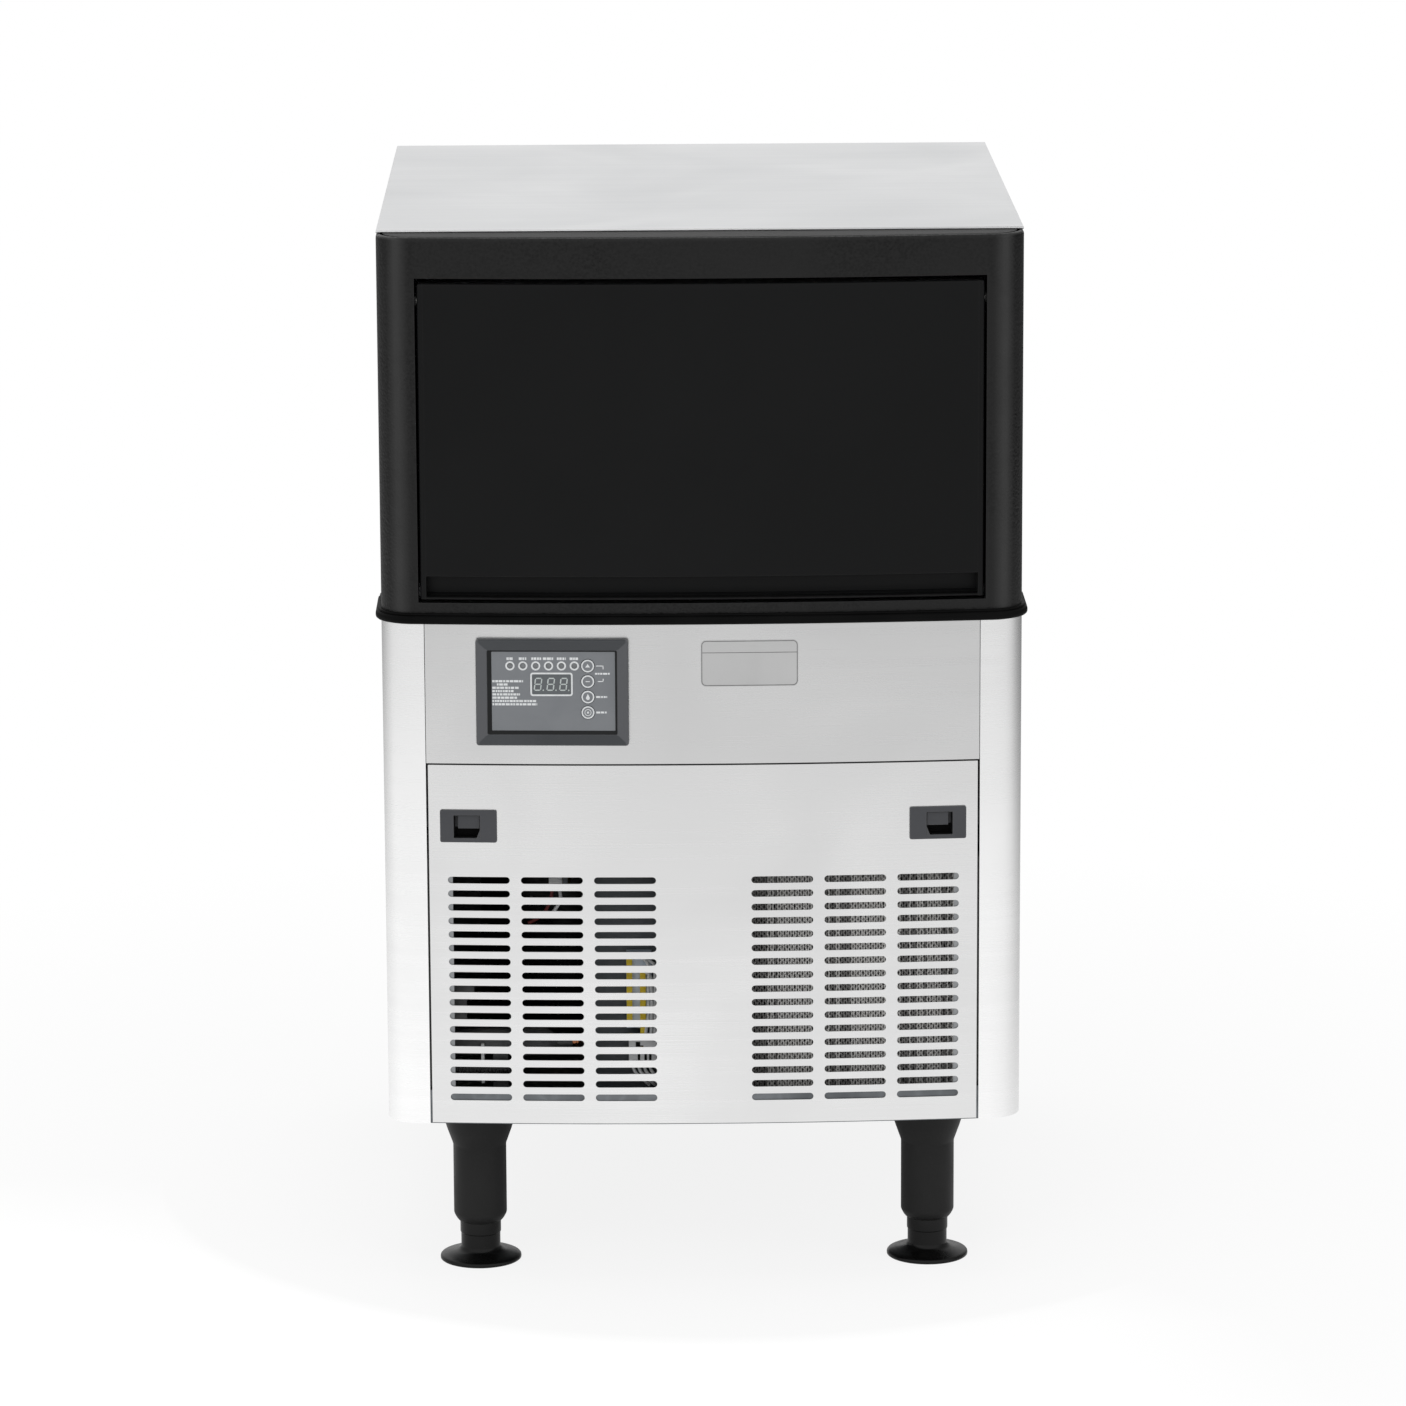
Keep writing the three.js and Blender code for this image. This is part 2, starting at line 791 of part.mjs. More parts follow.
function doorInnerPanel() {
  const half = doorHalf - doorInnerMargin;
  const plate = boxSpan(
    -half, half, doorBackY, doorBackY + doorInnerThickness,
    doorBottom + doorInnerMargin, doorTop - doorInnerMargin,
  );
  const plugHalf = doorHalf - pinEngagement - doorWall - seatGap;
  const plug = prismUp(
    [
      ...frontLine(-plugHalf, plugHalf, doorRecess + doorWall + seatGap),
      [plugHalf, doorBackY + doorInnerThickness / 2],
      [-plugHalf, doorBackY + doorInnerThickness / 2],
    ],
    channelTop + doorWall + seatGap, doorTop - doorWall - seatGap,
  );
  return join(plate, plug);
}

function doorPin(side) {
  const inner = doorHalf - pinEngagement + seatGap;
  const outer = openingHalf + pinSocketLength - seatGap;
  return rod("x", pinRadius, side * inner, side * outer).translate(0, pinY, pinZ);
}

// Control strip: bowed sheet with a hole for the bezel's neck and a lower edge folded back.
function controlStrip(bezelFrame) {
  const sheet = bowedSheet(-stripHalf, stripHalf, stripBottom, stripTop, 0, sheetThickness);
  const fold = bowedSheet(
    -stripHalf, stripHalf, stripBottom, stripBottom + sheetThickness, sheetThickness / 2,
    stripFoldDepth,
  );
  const holeX = bezelWidth / 2 - bezelNeckMargin + sheetThickness;
  const holeZ = bezelHeight / 2 - bezelNeckMargin + sheetThickness;
  const hole = boxSpan(-holeX, holeX, -cutOverrun, cutOverrun, -holeZ, holeZ);
  hole.applyMatrix4(bezelFrame.matrix);
  return cut(join(sheet, fold), hole);
}

// Bezel: a bevelled frame with a neck through the strip and a ledge that the membrane rests on.
function controlBezel() {
  const halfX = bezelWidth / 2;
  const halfZ = bezelHeight / 2;
  const front = new THREE.ExtrudeGeometry(shapeOf(rectangle(-halfX, halfX, -halfZ, halfZ)), {
    depth: bezelProud - bezelBevel,
    bevelThickness: bezelBevel,
    bevelSize: bezelBevel,
    bevelOffset: -bezelBevel,
    bevelSegments: 1,
  }).rotateX(Math.PI / 2);
  const face = common(front, boxSpan(-halfX, halfX, -bezelProud, 0, -halfZ, halfZ));
  const neckX = halfX - bezelNeckMargin;
  const neckZ = halfZ - bezelNeckMargin;
  const neck = boxSpan(-neckX, neckX, -bezelProud / 2, bezelNeckDepth, -neckZ, neckZ);
  const windowX = halfX - bezelBorder;
  const windowZ = halfZ - bezelBorder;
  const ledgeY = -bezelProud + membraneSink + membraneThickness + seatGap;
  const pocket = boxSpan(-windowX, windowX, -bezelProud - cutOverrun, ledgeY, -windowZ, windowZ);
  const insideX = windowX - bezelLedge;
  const insideZ = windowZ - bezelLedge;
  const inside = boxSpan(-insideX, insideX, -bezelProud, bezelNeckDepth + cutOverrun, -insideZ, insideZ);
  return cut(join(face, neck), pocket, inside);
}

const membraneFrontY = -bezelProud + membraneSink;

function keyZ(index) {
  return keyTopZ - index * keyPitch;
}

function lampX(index) {
  return lampLastX - (lampCount - 1 - index) * lampPitch;
}

function controlMembrane() {
  const halfX = bezelWidth / 2 - bezelBorder - seatGap;
  const halfZ = bezelHeight / 2 - bezelBorder - seatGap;
  const back = membraneFrontY + membraneThickness;
  const sheet = boxSpan(-halfX, halfX, membraneFrontY, back, -halfZ, halfZ);
  const through = [membraneFrontY - cutOverrun, back + cutOverrun];
  const keys = keyNames.map((_, index) =>
    rod("y", keyRadius + seatGap, ...through, roundSides).translate(keyColumnX, 0, keyZ(index)));
  const lamps = Array.from({ length: lampCount }, (_, index) =>
    rod("y", lampRadius + seatGap, ...through).translate(lampX(index), 0, keyTopZ));
  const window = boxSpan(
    displayX - displayWidth / 2 - seatGap, displayX + displayWidth / 2 + seatGap, ...through,
    displayZ - displayHeight / 2 - seatGap, displayZ + displayHeight / 2 + seatGap,
  );
  return cut(sheet, ...keys, ...lamps, window);
}

function displayWindow() {
  return boxSpan(
    displayX - displayWidth / 2, displayX + displayWidth / 2,
    membraneFrontY, membraneFrontY + displayDepth,
    displayZ - displayHeight / 2, displayZ + displayHeight / 2,
  );
}

// Light guide: one bar behind the membrane with a round lens in each indicator hole.
function indicatorLights() {
  const barFront = membraneFrontY + membraneThickness + seatGap;
  const barX = [lampX(0) - lampBarHeight / 2, lampX(lampCount - 1) + lampBarHeight / 2];
  const bar = boxSpan(
    ...barX, barFront, barFront + lampBarDepth, keyTopZ - lampBarHeight / 2, keyTopZ + lampBarHeight / 2,
  );
  const lenses = Array.from({ length: lampCount }, (_, index) =>
    rod("y", lampRadius, membraneFrontY, barFront + lampBarDepth / 2).translate(lampX(index), 0, keyTopZ));
  return join(bar, ...lenses);
}

function roundKey(index) {
  const front = membraneFrontY - keyProud;
  return rod("y", keyRadius, front, front + keyLength, roundSides).translate(keyColumnX, 0, keyZ(index));
}

function controlBoard() {
  const halfX = bezelWidth / 2 - bezelBorder - bezelLedge - seatGap;
  const halfZ = bezelHeight / 2 - bezelBorder - bezelLedge - seatGap;
  const back = boardDepth + boardThickness;
  const board = boxSpan(-halfX, halfX, boardDepth, back, -halfZ, halfZ);
  const partX = halfX / 4;
  const partZ = halfZ / 3;
  const partBack = back + boardPartHeight;
  const parts = [-1, 0, 1].map((column) => boxSpan(
    column * 2 * partX - partX / 2, column * 2 * partX + partX / 2,
    back - boardThickness / 2, partBack, -partZ, partZ,
  ));
  return join(board, ...parts);
}

function labelPlate() {
  const top = stripTop - labelTopMargin;
  return bowedSheet(labelLeftX, labelLeftX + labelWidth, top - labelHeight, top, -labelThickness, 0);
}

// Service panel: bowed sheet with slots in columns left and right of its plain middle.
function servicePanel(latchFrames) {
  const sheet = bowedSheet(
    -lowerPanelHalf, lowerPanelHalf, lowerPanelBottom, lowerPanelTop, 0, sheetThickness,
  );
  const outlines = [];
  for (const side of [-1, 1]) {
    for (let column = 0; column < slotColumnCount; column += 1) {
      for (let row = 0; row < slotRowCount; row += 1) {
        const x = side * (slotFirstColumnX + column * slotPitchX);
        const z = lowerPanelTop - slotTopMargin - row * slotPitchZ;
        outlines.push(slotOutline(x, z, slotLength, slotHeight));
      }
    }
  }
  const slots = prismBack(outlines, frontmostY - cutOverrun, 0);
  const latchHoles = latchFrames.map((frame, index) => {
    const side = index === 0 ? -1 : 1;
    const clear = latchWall + sheetThickness;
    const hole = boxSpan(
      -side * (latchPocketInner + latchTravel + clear), side * (latchPocketOuter + clear),
      -cutOverrun, cutOverrun, -latchPocketBottom - clear, latchPocketTop + clear,
    );
    return hole.applyMatrix4(frame.matrix);
  });
  return cut(sheet, slots, ...latchHoles);
}

// Latch housing: a face plate with a finger pocket, hollow behind so that the slider can travel.
function latchHousing(side) {
  const plate = boxSpan(
    -latchWidth / 2, latchWidth / 2, -latchPlate, 0, -latchHeight / 2, latchHeight / 2,
  );
  const innerX = -side * (latchPocketInner + latchTravel + latchPlate / 2);
  const outerX = side * latchPocketOuter;
  const neck = boxSpan(
    innerX - side * latchWall, outerX + side * latchWall, -latchPlate / 2,
    latchPocketDepth + latchWall, -latchPocketBottom - latchWall, latchPocketTop + latchWall,
  );
  const cavity = boxSpan(innerX, outerX, 0, latchPocketDepth, -latchPocketBottom, latchPocketTop);
  const mouth = boxSpan(
    -side * latchPocketInner, outerX, -latchPlate - cutOverrun, latchPocketDepth / 2,
    -latchPocketBottom, latchPocketTop,
  );
  const slot = boxSpan(
    side * (latchPocketOuter - latchWall), side * (latchPocketOuter + cutOverrun),
    latchTongueFront - seatGap, latchTongueFront + latchTongueThickness + seatGap,
    -latchThumbBottom - seatGap, latchPocketTop,
  );
  return cut(join(plate, neck), cavity, mouth, slot);
}

// Latch slider: a thumb block in the pocket on a flat tongue that hooks behind the post return.
function latchSlider(side) {
  const innerX = -side * (latchPocketInner - seatGap);
  const top = latchPocketTop - seatGap;
  const thumb = boxSpan(
    innerX, side * latchThumbOuter, latchThumbSink, latchTongueFront + latchTongueThickness / 2,
    -latchThumbBottom, top,
  );
  const tongue = boxSpan(
    innerX, side * latchTongueReach, latchTongueFront, latchTongueFront + latchTongueThickness,
    -latchThumbBottom, top,
  );
  return join(thumb, tongue);
}

// Insulation and liner
const foamBottom = stripBottom + foamBottomLift;
const foamHalf = halfWidth - fasciaWall - seatGap;
const foamTop = fasciaTop - seatGap;
const foamBackY = rearInnerY - 2 * seatGap - sheetThickness;
const binFloor = foamBottom + foamFloorThickness;
const binRoof = foamTop - foamRoof;
const binHalf = foamHalf - foamWall;
const binFrontY = foamFrontY + foamSillThickness;
const binBackY = foamBackY - foamRearWall;
const sillTop = openingBottom + sillAboveOpening;
const drainY = binBackY - drainHoleFromRear;

// The space of the bin and of its mouth at the front, drawn in all round by an offset.
function binSpace(offset, mouthY) {
  const chamber = boxSpan(
    -binHalf + offset, binHalf - offset, binFrontY + offset, binBackY - offset,
    binFloor + offset, binRoof - offset,
  );
  const mouth = boxSpan(
    -binHalf + offset, binHalf - offset, mouthY, binFrontY + cutOverrun,
    sillTop + offset, binRoof - offset,
  );
  return join(chamber, mouth);
}

function foamBody() {
  const block = boxSpan(-foamHalf, foamHalf, foamFrontY, foamBackY, foamBottom, foamTop);
  const drainRadius = drainPipeRadius + linerWall;
  const drain = rod("z", drainRadius, foamBottom - cutOverrun, binFloor + cutOverrun, roundSides);
  return cut(block, binSpace(0, foamFrontY - cutOverrun), drain.translate(drainHoleX, drainY, 0));
}

function binLiner() {
  const shell = binSpace(seatGap, foamFrontY - seatGap - linerWall / 2);
  const flangeHalf = binHalf + linerFlange;
  const flange = boxSpan(
    -flangeHalf, flangeHalf, foamFrontY - seatGap - linerWall, foamFrontY - seatGap,
    sillTop - linerFlange, binRoof + linerFlange,
  );
  const inside = binSpace(seatGap + linerWall, foamFrontY - cutOverrun - linerWall);
  const drain = rod("z", drainHoleRadius, binFloor - cutOverrun, binFloor + cutOverrun, roundSides);
  return cut(join(shell, flange), inside, drain.translate(drainHoleX, drainY, 0));
}

// Ice-making parts hang from the liner's roof at the back of the bin.
const linerRoof = binRoof - seatGap - linerWall;
const linerBackY = binBackY - seatGap - linerWall;
const linerHalf = binHalf - seatGap - linerWall;
const troughHalf = linerHalf - troughSideMargin;
const pumpX = troughHalf - troughWall - seatGap - pumpRadius;
const evaporatorHalf = pumpX - pumpRadius - evaporatorPumpGap;
const evaporatorTop = linerRoof - evaporatorTopDrop;
const evaporatorBottom = evaporatorTop - evaporatorHeight;
const evaporatorBackY = linerBackY - evaporatorFromRear;
const evaporatorFrontY = evaporatorBackY - evaporatorThickness;
const curtainPinY = evaporatorFrontY - curtainStandoff;
const curtainPinZ = linerRoof - curtainPinDrop;

function evaporator() {
  const plate = boxSpan(
    -evaporatorHalf, evaporatorHalf, evaporatorFrontY, evaporatorBackY, evaporatorBottom, evaporatorTop,
  );
  const columns = Math.floor((2 * evaporatorHalf) / pocketPitch);
  const rows = Math.floor(evaporatorHeight / pocketPitch);
  const pockets = [];
  for (let column = 0; column < columns; column += 1) {
    for (let row = 0; row < rows; row += 1) {
      const x = (column - (columns - 1) / 2) * pocketPitch;
      const z = (evaporatorBottom + evaporatorTop) / 2 + (row - (rows - 1) / 2) * pocketPitch;
      const half = pocketSize / 2;
      pockets.push(rectangle(x - half, x + half, z - half, z + half));
    }
  }
  const cells = prismBack(pockets, evaporatorFrontY - cutOverrun, evaporatorFrontY + pocketDepth);
  const hangers = [-1, 1].map((side) => boxSpan(
    side * (evaporatorHalf - hangerThickness / 2), side * (evaporatorHalf + hangerThickness),
    evaporatorBackY - hangerDepth, evaporatorBackY,
    linerRoof - hangerHeight, linerRoof - seatGap,
  ));
  const tubes = Array.from({ length: coolingTubeRows }, (_, row) => {
    const z = evaporatorBottom + ((row + 1 / 2) / coolingTubeRows) * evaporatorHeight;
    return rod("x", coolingTubeRadius, -evaporatorHalf + cutOverrun, evaporatorHalf - cutOverrun, pipeSides)
      .translate(0, evaporatorBackY + coolingTubeRadius / 2, z);
  });
  const pinHole = rod(
    "x", curtainPinRadius + pinGap, -evaporatorHalf - cutOverrun, evaporatorHalf + cutOverrun,
  ).translate(0, curtainPinY, curtainPinZ);
  return cut(join(cut(plate, cells), ...hangers, ...tubes), pinHole);
}

function sprayTube() {
  const half = evaporatorHalf - hangerThickness / 2 - seatGap;
  return rod("x", sprayTubeRadius, -half, half, roundSides).translate(
    0, (evaporatorFrontY + evaporatorBackY) / 2, linerRoof - sprayTubeDrop,
  );
}

function waterCurtain() {
  const half = evaporatorHalf - hangerThickness / 2 - curtainSideGap;
  const bottom = evaporatorBottom - curtainBottomGap;
  const backY = curtainPinY;
  const plate = boxSpan(-half, half, backY - curtainThickness, backY, bottom, curtainPinZ);
  const pinHalf = evaporatorHalf + hangerThickness - seatGap;
  const pin = rod("x", curtainPinRadius, -pinHalf, pinHalf).translate(0, curtainPinY, curtainPinZ);
  return join(plate, pin);
}

const troughTop = linerRoof - troughDrop;
const troughBottom = troughTop - troughDepth;
const troughFrontY = linerBackY - troughFront;
const troughBackY = linerBackY - troughRear;

// Water trough: an open tray whose rear rim reaches the back of the liner.
function waterTrough() {
  const body = boxSpan(-troughHalf, troughHalf, troughFrontY, troughBackY, troughBottom, troughTop);
  const rim = boxSpan(
    -troughHalf, troughHalf, troughBackY - troughWall / 2, linerBackY - seatGap,
    troughTop - troughRimDepth, troughTop,
  );
  const inside = boxSpan(
    -troughHalf + troughWall, troughHalf - troughWall, troughFrontY + troughWall,
    troughBackY - troughWall, troughBottom + troughWall, troughTop + cutOverrun,
  );
  return cut(join(body, rim), inside);
}

function waterPump() {
  const floor = troughBottom + troughWall;
  const top = floor + pumpHeight;
  const profile = [
    [0, floor],
    [pumpRadius, floor],
    [pumpRadius, top - pumpShoulder],
    [pumpRadius - pumpShoulder, top],
    [pumpNeckRadius, top],
    [pumpNeckRadius, top + pumpNeckHeight],
    [0, top + pumpNeckHeight],
  ];
  const y = (troughFrontY + troughBackY) / 2;
  return turned(profile).translate(pumpX, y, 0);
}

const floatX = -linerHalf + seatGap + floatBodyWidth - floatBodyWidth / 4;
const floatPinY = linerBackY - seatGap - floatBodyDepth - floatPinAhead;
const floatPinZ = troughTop + floatBodyLift + floatBodyHeight / 2;

// Float valve: a body on the liner's rear corner with two ears that carry the arm's pin.
function floatValve() {
  const left = -linerHalf + seatGap;
  const backY = linerBackY - seatGap;
  const body = boxSpan(
    left, left + floatBodyWidth, backY - floatBodyDepth, backY,
    troughTop + floatBodyLift, troughTop + floatBodyLift + floatBodyHeight,
  );
  const earInner = floatArmWidth / 2 + seatGap;
  const earZ = floatBodyHeight / 3;
  const ears = [-1, 1].map((side) => boxSpan(
    floatX + side * earInner, floatX + side * (earInner + floatEarThickness),
    floatPinY - floatPinAhead, backY - floatBodyDepth / 2,
    floatPinZ - earZ, floatPinZ + earZ,
  ));
  const hole = rod(
    "x", floatPinRadius + pinGap, -floatBodyWidth, floatBodyWidth,
  ).translate(floatX, floatPinY, floatPinZ);
  return cut(join(body, ...ears), hole);
}

function floatArm() {
  const endY = floatPinY - floatArmLength;
  const halfX = floatArmWidth / 2;
  const halfZ = floatArmThickness / 2;
  const bar = boxSpan(
    floatX - halfX, floatX + halfX, endY - halfX, floatPinY + halfZ,
    floatPinZ - halfZ, floatPinZ + halfZ,
  );
  const pinHalf = halfX + seatGap + floatEarThickness;
  const pin = rod("x", floatPinRadius, -pinHalf, pinHalf).translate(floatX, floatPinY, floatPinZ);
  const stem = rod("z", floatPinRadius, floatPinZ - floatHang, floatPinZ).translate(floatX, endY, 0);
  const ball = new THREE.SphereGeometry(floatRadius, pinSides, pinSides / 2);
  ball.rotateX(Math.PI / 2).translate(floatX, endY, floatPinZ - floatHang - floatRadius / 2);
  return join(bar, pin, stem, ball);
}

// Condenser behind the right-hand slots: a finned core between two end plates.
const condenserRight = lowerPanelHalf - condenserSideMargin;
const condenserLeft = boxRightX + condenserFromBox;
const condenserWidth = condenserRight - condenserLeft;
const condenserHeight = lowerPanelTop - condenserBelowPanelTop - baseTop;
const condenserBackY = condenserFrontY + condenserDepth;
const fanOpeningRadius = Math.min(condenserWidth, condenserHeight) / 2 - fanEdgeMargin;
const motorArmReach = fanOpeningRadius + fanTipGap + motorFootLap;
const fanX = (condenserLeft + condenserRight) / 2;
const fanZ = baseTop + condenserHeight / 2;

function condenser() {
  const core = boxSpan(
    condenserLeft + condenserPlate / 2, condenserRight - condenserPlate / 2,
    condenserFrontY + condenserInset, condenserBackY - condenserInset,
    baseTop + condenserInset, baseTop + condenserHeight - condenserInset,
  );
  const plates = [
    [condenserLeft, condenserLeft + condenserPlate],
    [condenserRight - condenserPlate, condenserRight],
  ].map((span) => boxSpan(...span, condenserFrontY, condenserBackY, baseTop, baseTop + condenserHeight));
  const inletStub = rod(
    "z", stubRadius, baseTop + condenserHeight - 2 * condenserInset, baseTop + condenserHeight,
  ).translate(condenserRight - condenserWidth / 8, (condenserFrontY + condenserBackY) / 2, 0);
  return join(core, ...plates, inletStub);
}

function fanShroud() {
  const x = [condenserLeft, condenserRight];
  const top = baseTop + condenserHeight;
  const backY = condenserBackY + shroudDepth;
  const body = boxSpan(...x, condenserBackY, backY, baseTop, top);
  const inside = boxSpan(
    condenserLeft + shroudWall, condenserRight - shroudWall, condenserBackY - cutOverrun,
    backY - shroudWall, baseTop + shroudWall, top - shroudWall,
  );
  const mouth = rod("y", fanOpeningRadius + fanTipGap, condenserBackY, backY + cutOverrun, 2 * pinSides);
  return cut(body, inside, mouth.translate(fanX, 0, fanZ));
}

const fanY = condenserBackY + shroudDepth;
const motorFrontY = fanY + motorStandoff;

// Fan: pitched blades on a hub, with a shaft that runs into the motor.
function fanBlade() {
  const blades = Array.from({ length: fanBlades }, (_, index) => {
    const length = fanOpeningRadius - fanHubRadius / 2 + cutOverrun;
    const blade = new THREE.BoxGeometry(length, fanBladeThickness, fanBladeChord);
    blade.rotateX((fanPitchDegrees * Math.PI) / 180);
    blade.translate(fanHubRadius / 2 + length / 2, 0, 0);
    return blade.rotateY((2 * Math.PI * index) / fanBlades);
  });
  const hub = rod("y", fanHubRadius, -fanHubLength / 2, fanHubLength / 2, roundSides);
  const shaft = rod("y", fanShaftRadius, 0, motorStandoff + fanShaftLength);
  const disc = rod("y", fanOpeningRadius, -fanBladeChord, fanBladeChord, 2 * pinSides);
  return join(common(join(...blades), disc), hub, shaft).translate(fanX, fanY, fanZ);
}

// Fan motor: a round can with four arms that reach forward to the shroud.
function fanMotor() {
  const can = rod("y", motorRadius, motorFrontY, motorFrontY + motorLength, roundSides);
  const armBack = motorFrontY + motorArmThickness;
  const arms = [1, 3, 5, 7].map((eighth) => {
    const bar = boxSpan(
      motorRadius / 2, motorArmReach, motorFrontY, armBack, -motorArmWidth / 2, motorArmWidth / 2,
    );
    const foot = boxSpan(
      motorArmReach - motorArmThickness, motorArmReach, fanY + seatGap, armBack,
      -motorArmWidth / 2, motorArmWidth / 2,
    );
    return join(bar, foot).rotateY((eighth * Math.PI) / 4);
  });
  const boreEnd = motorFrontY + fanShaftLength + seatGap;
  const bore = rod("y", fanShaftRadius + pinGap, motorFrontY - cutOverrun, boreEnd);
  return cut(join(can, ...arms), bore).translate(fanX, 0, fanZ);
}

const compressorX = -halfWidth + compressorFromSide;
const compressorY = cabinetDepth - compressorFromRear;
const compressorFloor = baseTop + compressorFootHeight;
const stubTop = foamBottom - pipeHeadroom;
const compressorHeight = stubTop - stubRise - compressorFloor;

// Compressor: a domed shell on a plate with rubber feet, a terminal cover and two pipe stubs.
function compressor() {
  const shoulder = compressorShoulderShare * compressorHeight;
  const dome = compressorDomeShare * compressorRadius;
  const profile = [
    [0, compressorFloor],
    [dome, compressorFloor],
    [compressorRadius, compressorFloor + shoulder],
    [compressorRadius, compressorFloor + compressorHeight - shoulder],
    [compressorRadius - shoulder / 3, compressorFloor + compressorHeight - shoulder / 2],
    [dome, compressorFloor + compressorHeight],
    [0, compressorFloor + compressorHeight],
  ];
  const shell = turned(profile);
  const halfX = compressorPlateWidth / 2;
  const halfY = compressorPlateDepth / 2;
  const plate = boxSpan(
    -halfX, halfX, -halfY, halfY, compressorFloor - compressorPlate, compressorFloor + compressorPlate,
  );
  const feet = [-1, 1].flatMap((sideX) => [-1, 1].map((sideY) => rod(
    "z", compressorFootRadius, baseTop, compressorFloor,
  ).translate(sideX * (halfX - compressorFootRadius), sideY * (halfY - compressorFootRadius), 0)));
  const coverZ = compressorFloor + compressorHeight / 2;
  const cover = boxSpan(
    -compressorRadius - terminalCoverDepth, -compressorRadius / 2, -terminalCoverWidth / 2,
    terminalCoverWidth / 2, coverZ - terminalCoverHeight / 2, coverZ + terminalCoverHeight / 2,
  );
  const stubFoot = compressorFloor + compressorHeight - 2 * shoulder;
  const stubs = [[dischargeStubX, dischargeStubY], [suctionStubX, suctionStubY]].map(([x, y]) =>
    rod("z", stubRadius, stubFoot, stubTop).translate(x, y, 0));
  return join(shell, plate, ...feet, cover, ...stubs).translate(compressorX, compressorY, 0);
}

function dischargePipe() {
  const startX = compressorX + dischargeStubX;
  const startY = compressorY + dischargeStubY;
  const start = stubTop + seatGap;
  const endX = condenserRight - condenserWidth / 8;
  const endY = (condenserFrontY + condenserBackY) / 2;
  const end = baseTop + condenserHeight + seatGap;
  const run = stubTop + dischargeRunLift;
  const bend = dischargeRunLift / 3;
  return pipe([
    [startX, startY, start],
    [startX, startY, start + bend],
    [startX + bend / 2, startY - bend / 2, run - bend / 2],
    [startX + 2 * bend, startY - 2 * bend, run],
    [endX - bend, endY + bend, run],
    [endX, endY, run - bend],
    [endX, endY, end + bend],
    [endX, endY, end],
  ], dischargePipeRadius);
}

function suctionPipe() {
  const x = compressorX + suctionStubX;
  const y = compressorY + suctionStubY;
  const start = stubTop + seatGap;
  const end = foamBottom - seatGap;
  return pipe([
    [x, y, start],
    [x, y, start + suctionRise],
    [x + suctionShift, y + suctionShift, end - suctionRise],
    [x + suctionShift, y + suctionShift, end],
  ], suctionPipeRadius, 0, Math.round(pipeSteps / 2));
}

const drierLeft = -sideInnerX + drierSideGap;
const drierRight = boxRightX - boxWidth - drierBoxGap;
const drierLength = drierRight - drierLeft - 2 * drierNeckLength;
const drierCentreX = (drierLeft + drierRight) / 2;
const drierZ = baseTop + drierHeight;

// Filter drier: a capsule lying across the compartment on a saddle that stands on the base.
function filterDrier() {
  const half = drierLength / 2;
  const neck = half + drierNeckLength;
  const taper = drierRadius - drierNeckRadius;
  const capsule = turned([
    [0, -neck],
    [drierNeckRadius, -neck],
    [drierNeckRadius, -half],
    [drierRadius, -half + taper],
    [drierRadius, half - taper],
    [drierNeckRadius, half],
    [drierNeckRadius, neck],
    [0, neck],
  ], "x", pinSides).translate(drierCentreX, drierY, drierZ);
  const saddle = boxSpan(
    drierCentreX - drierSaddleWidth / 2, drierCentreX + drierSaddleWidth / 2,
    drierY - drierRadius, drierY + drierRadius, baseTop, drierZ,
  );
  return join(capsule, saddle);
}

// Liquid pipe: from the drier's right end, low across the base, to the condenser's left plate.
function liquidPipe() {
  const startX = drierRight + seatGap;
  const endX = condenserLeft - seatGap;
  const y = condenserFrontY + condenserDepth / 4;
  const lowZ = (baseTop + drierZ) / 2;
  const backY = boxFrontY + boxDepth + 3 * liquidPipeRadius;
  const quarter = (boxRightX - startX) / 4;
  return pipe([
    [startX, drierY, drierZ],
    [startX + liquidPipeRadius, drierY, drierZ],
    [startX + 2 * liquidPipeRadius, drierY + 3 * liquidPipeRadius, drierZ],
    [startX + 2 * liquidPipeRadius, backY - 3 * liquidPipeRadius, lowZ],
    [startX + quarter, backY, lowZ],
    [boxRightX, backY, lowZ],
    [boxRightX + 4 * liquidPipeRadius, backY - 4 * liquidPipeRadius, lowZ],
    [boxRightX + 5 * liquidPipeRadius, y + 4 * liquidPipeRadius, lowZ],
    [endX - 4 * liquidPipeRadius, y, lowZ],
    [endX, y, lowZ],
  ], liquidPipeRadius, 0, 2 * pipeSteps);
}

// Hot gas valve: a brass body with a square coil, on a strap from the compartment's roof.
function hotGasValve() {
  const z = foamBottom - valveDrop;
  const body = rod("z", valveBodyRadius, z, z + valveBodyHeight);
  const coilZ = z + valveBodyHeight - valveCoilHeight / 3;
  const half = valveCoilSize / 2;
  const coil = boxSpan(-half, half, -half, half, coilZ, coilZ + valveCoilHeight);
  const strap = boxSpan(
    -valveStrapWidth / 2, valveStrapWidth / 2, half - valveStrapThickness, half,
    coilZ, foamBottom - seatGap,
  );
  return join(body, coil, strap).translate(valveX, valveY, 0);
}

// Electrical box: a folded sheet box, open at the back, standing on the base.
function electricalBox() {
  const left = boxRightX - boxWidth;
  const backY = boxFrontY + boxDepth;
  const body = boxSpan(left, boxRightX, boxFrontY, backY, baseTop, baseTop + boxHeight);
  const inside = boxSpan(
    left + boxSheet, boxRightX - boxSheet, boxFrontY + boxSheet, backY + cutOverrun,
    baseTop + boxSheet, baseTop + boxHeight - boxSheet,
  );
  return cut(body, inside);
}

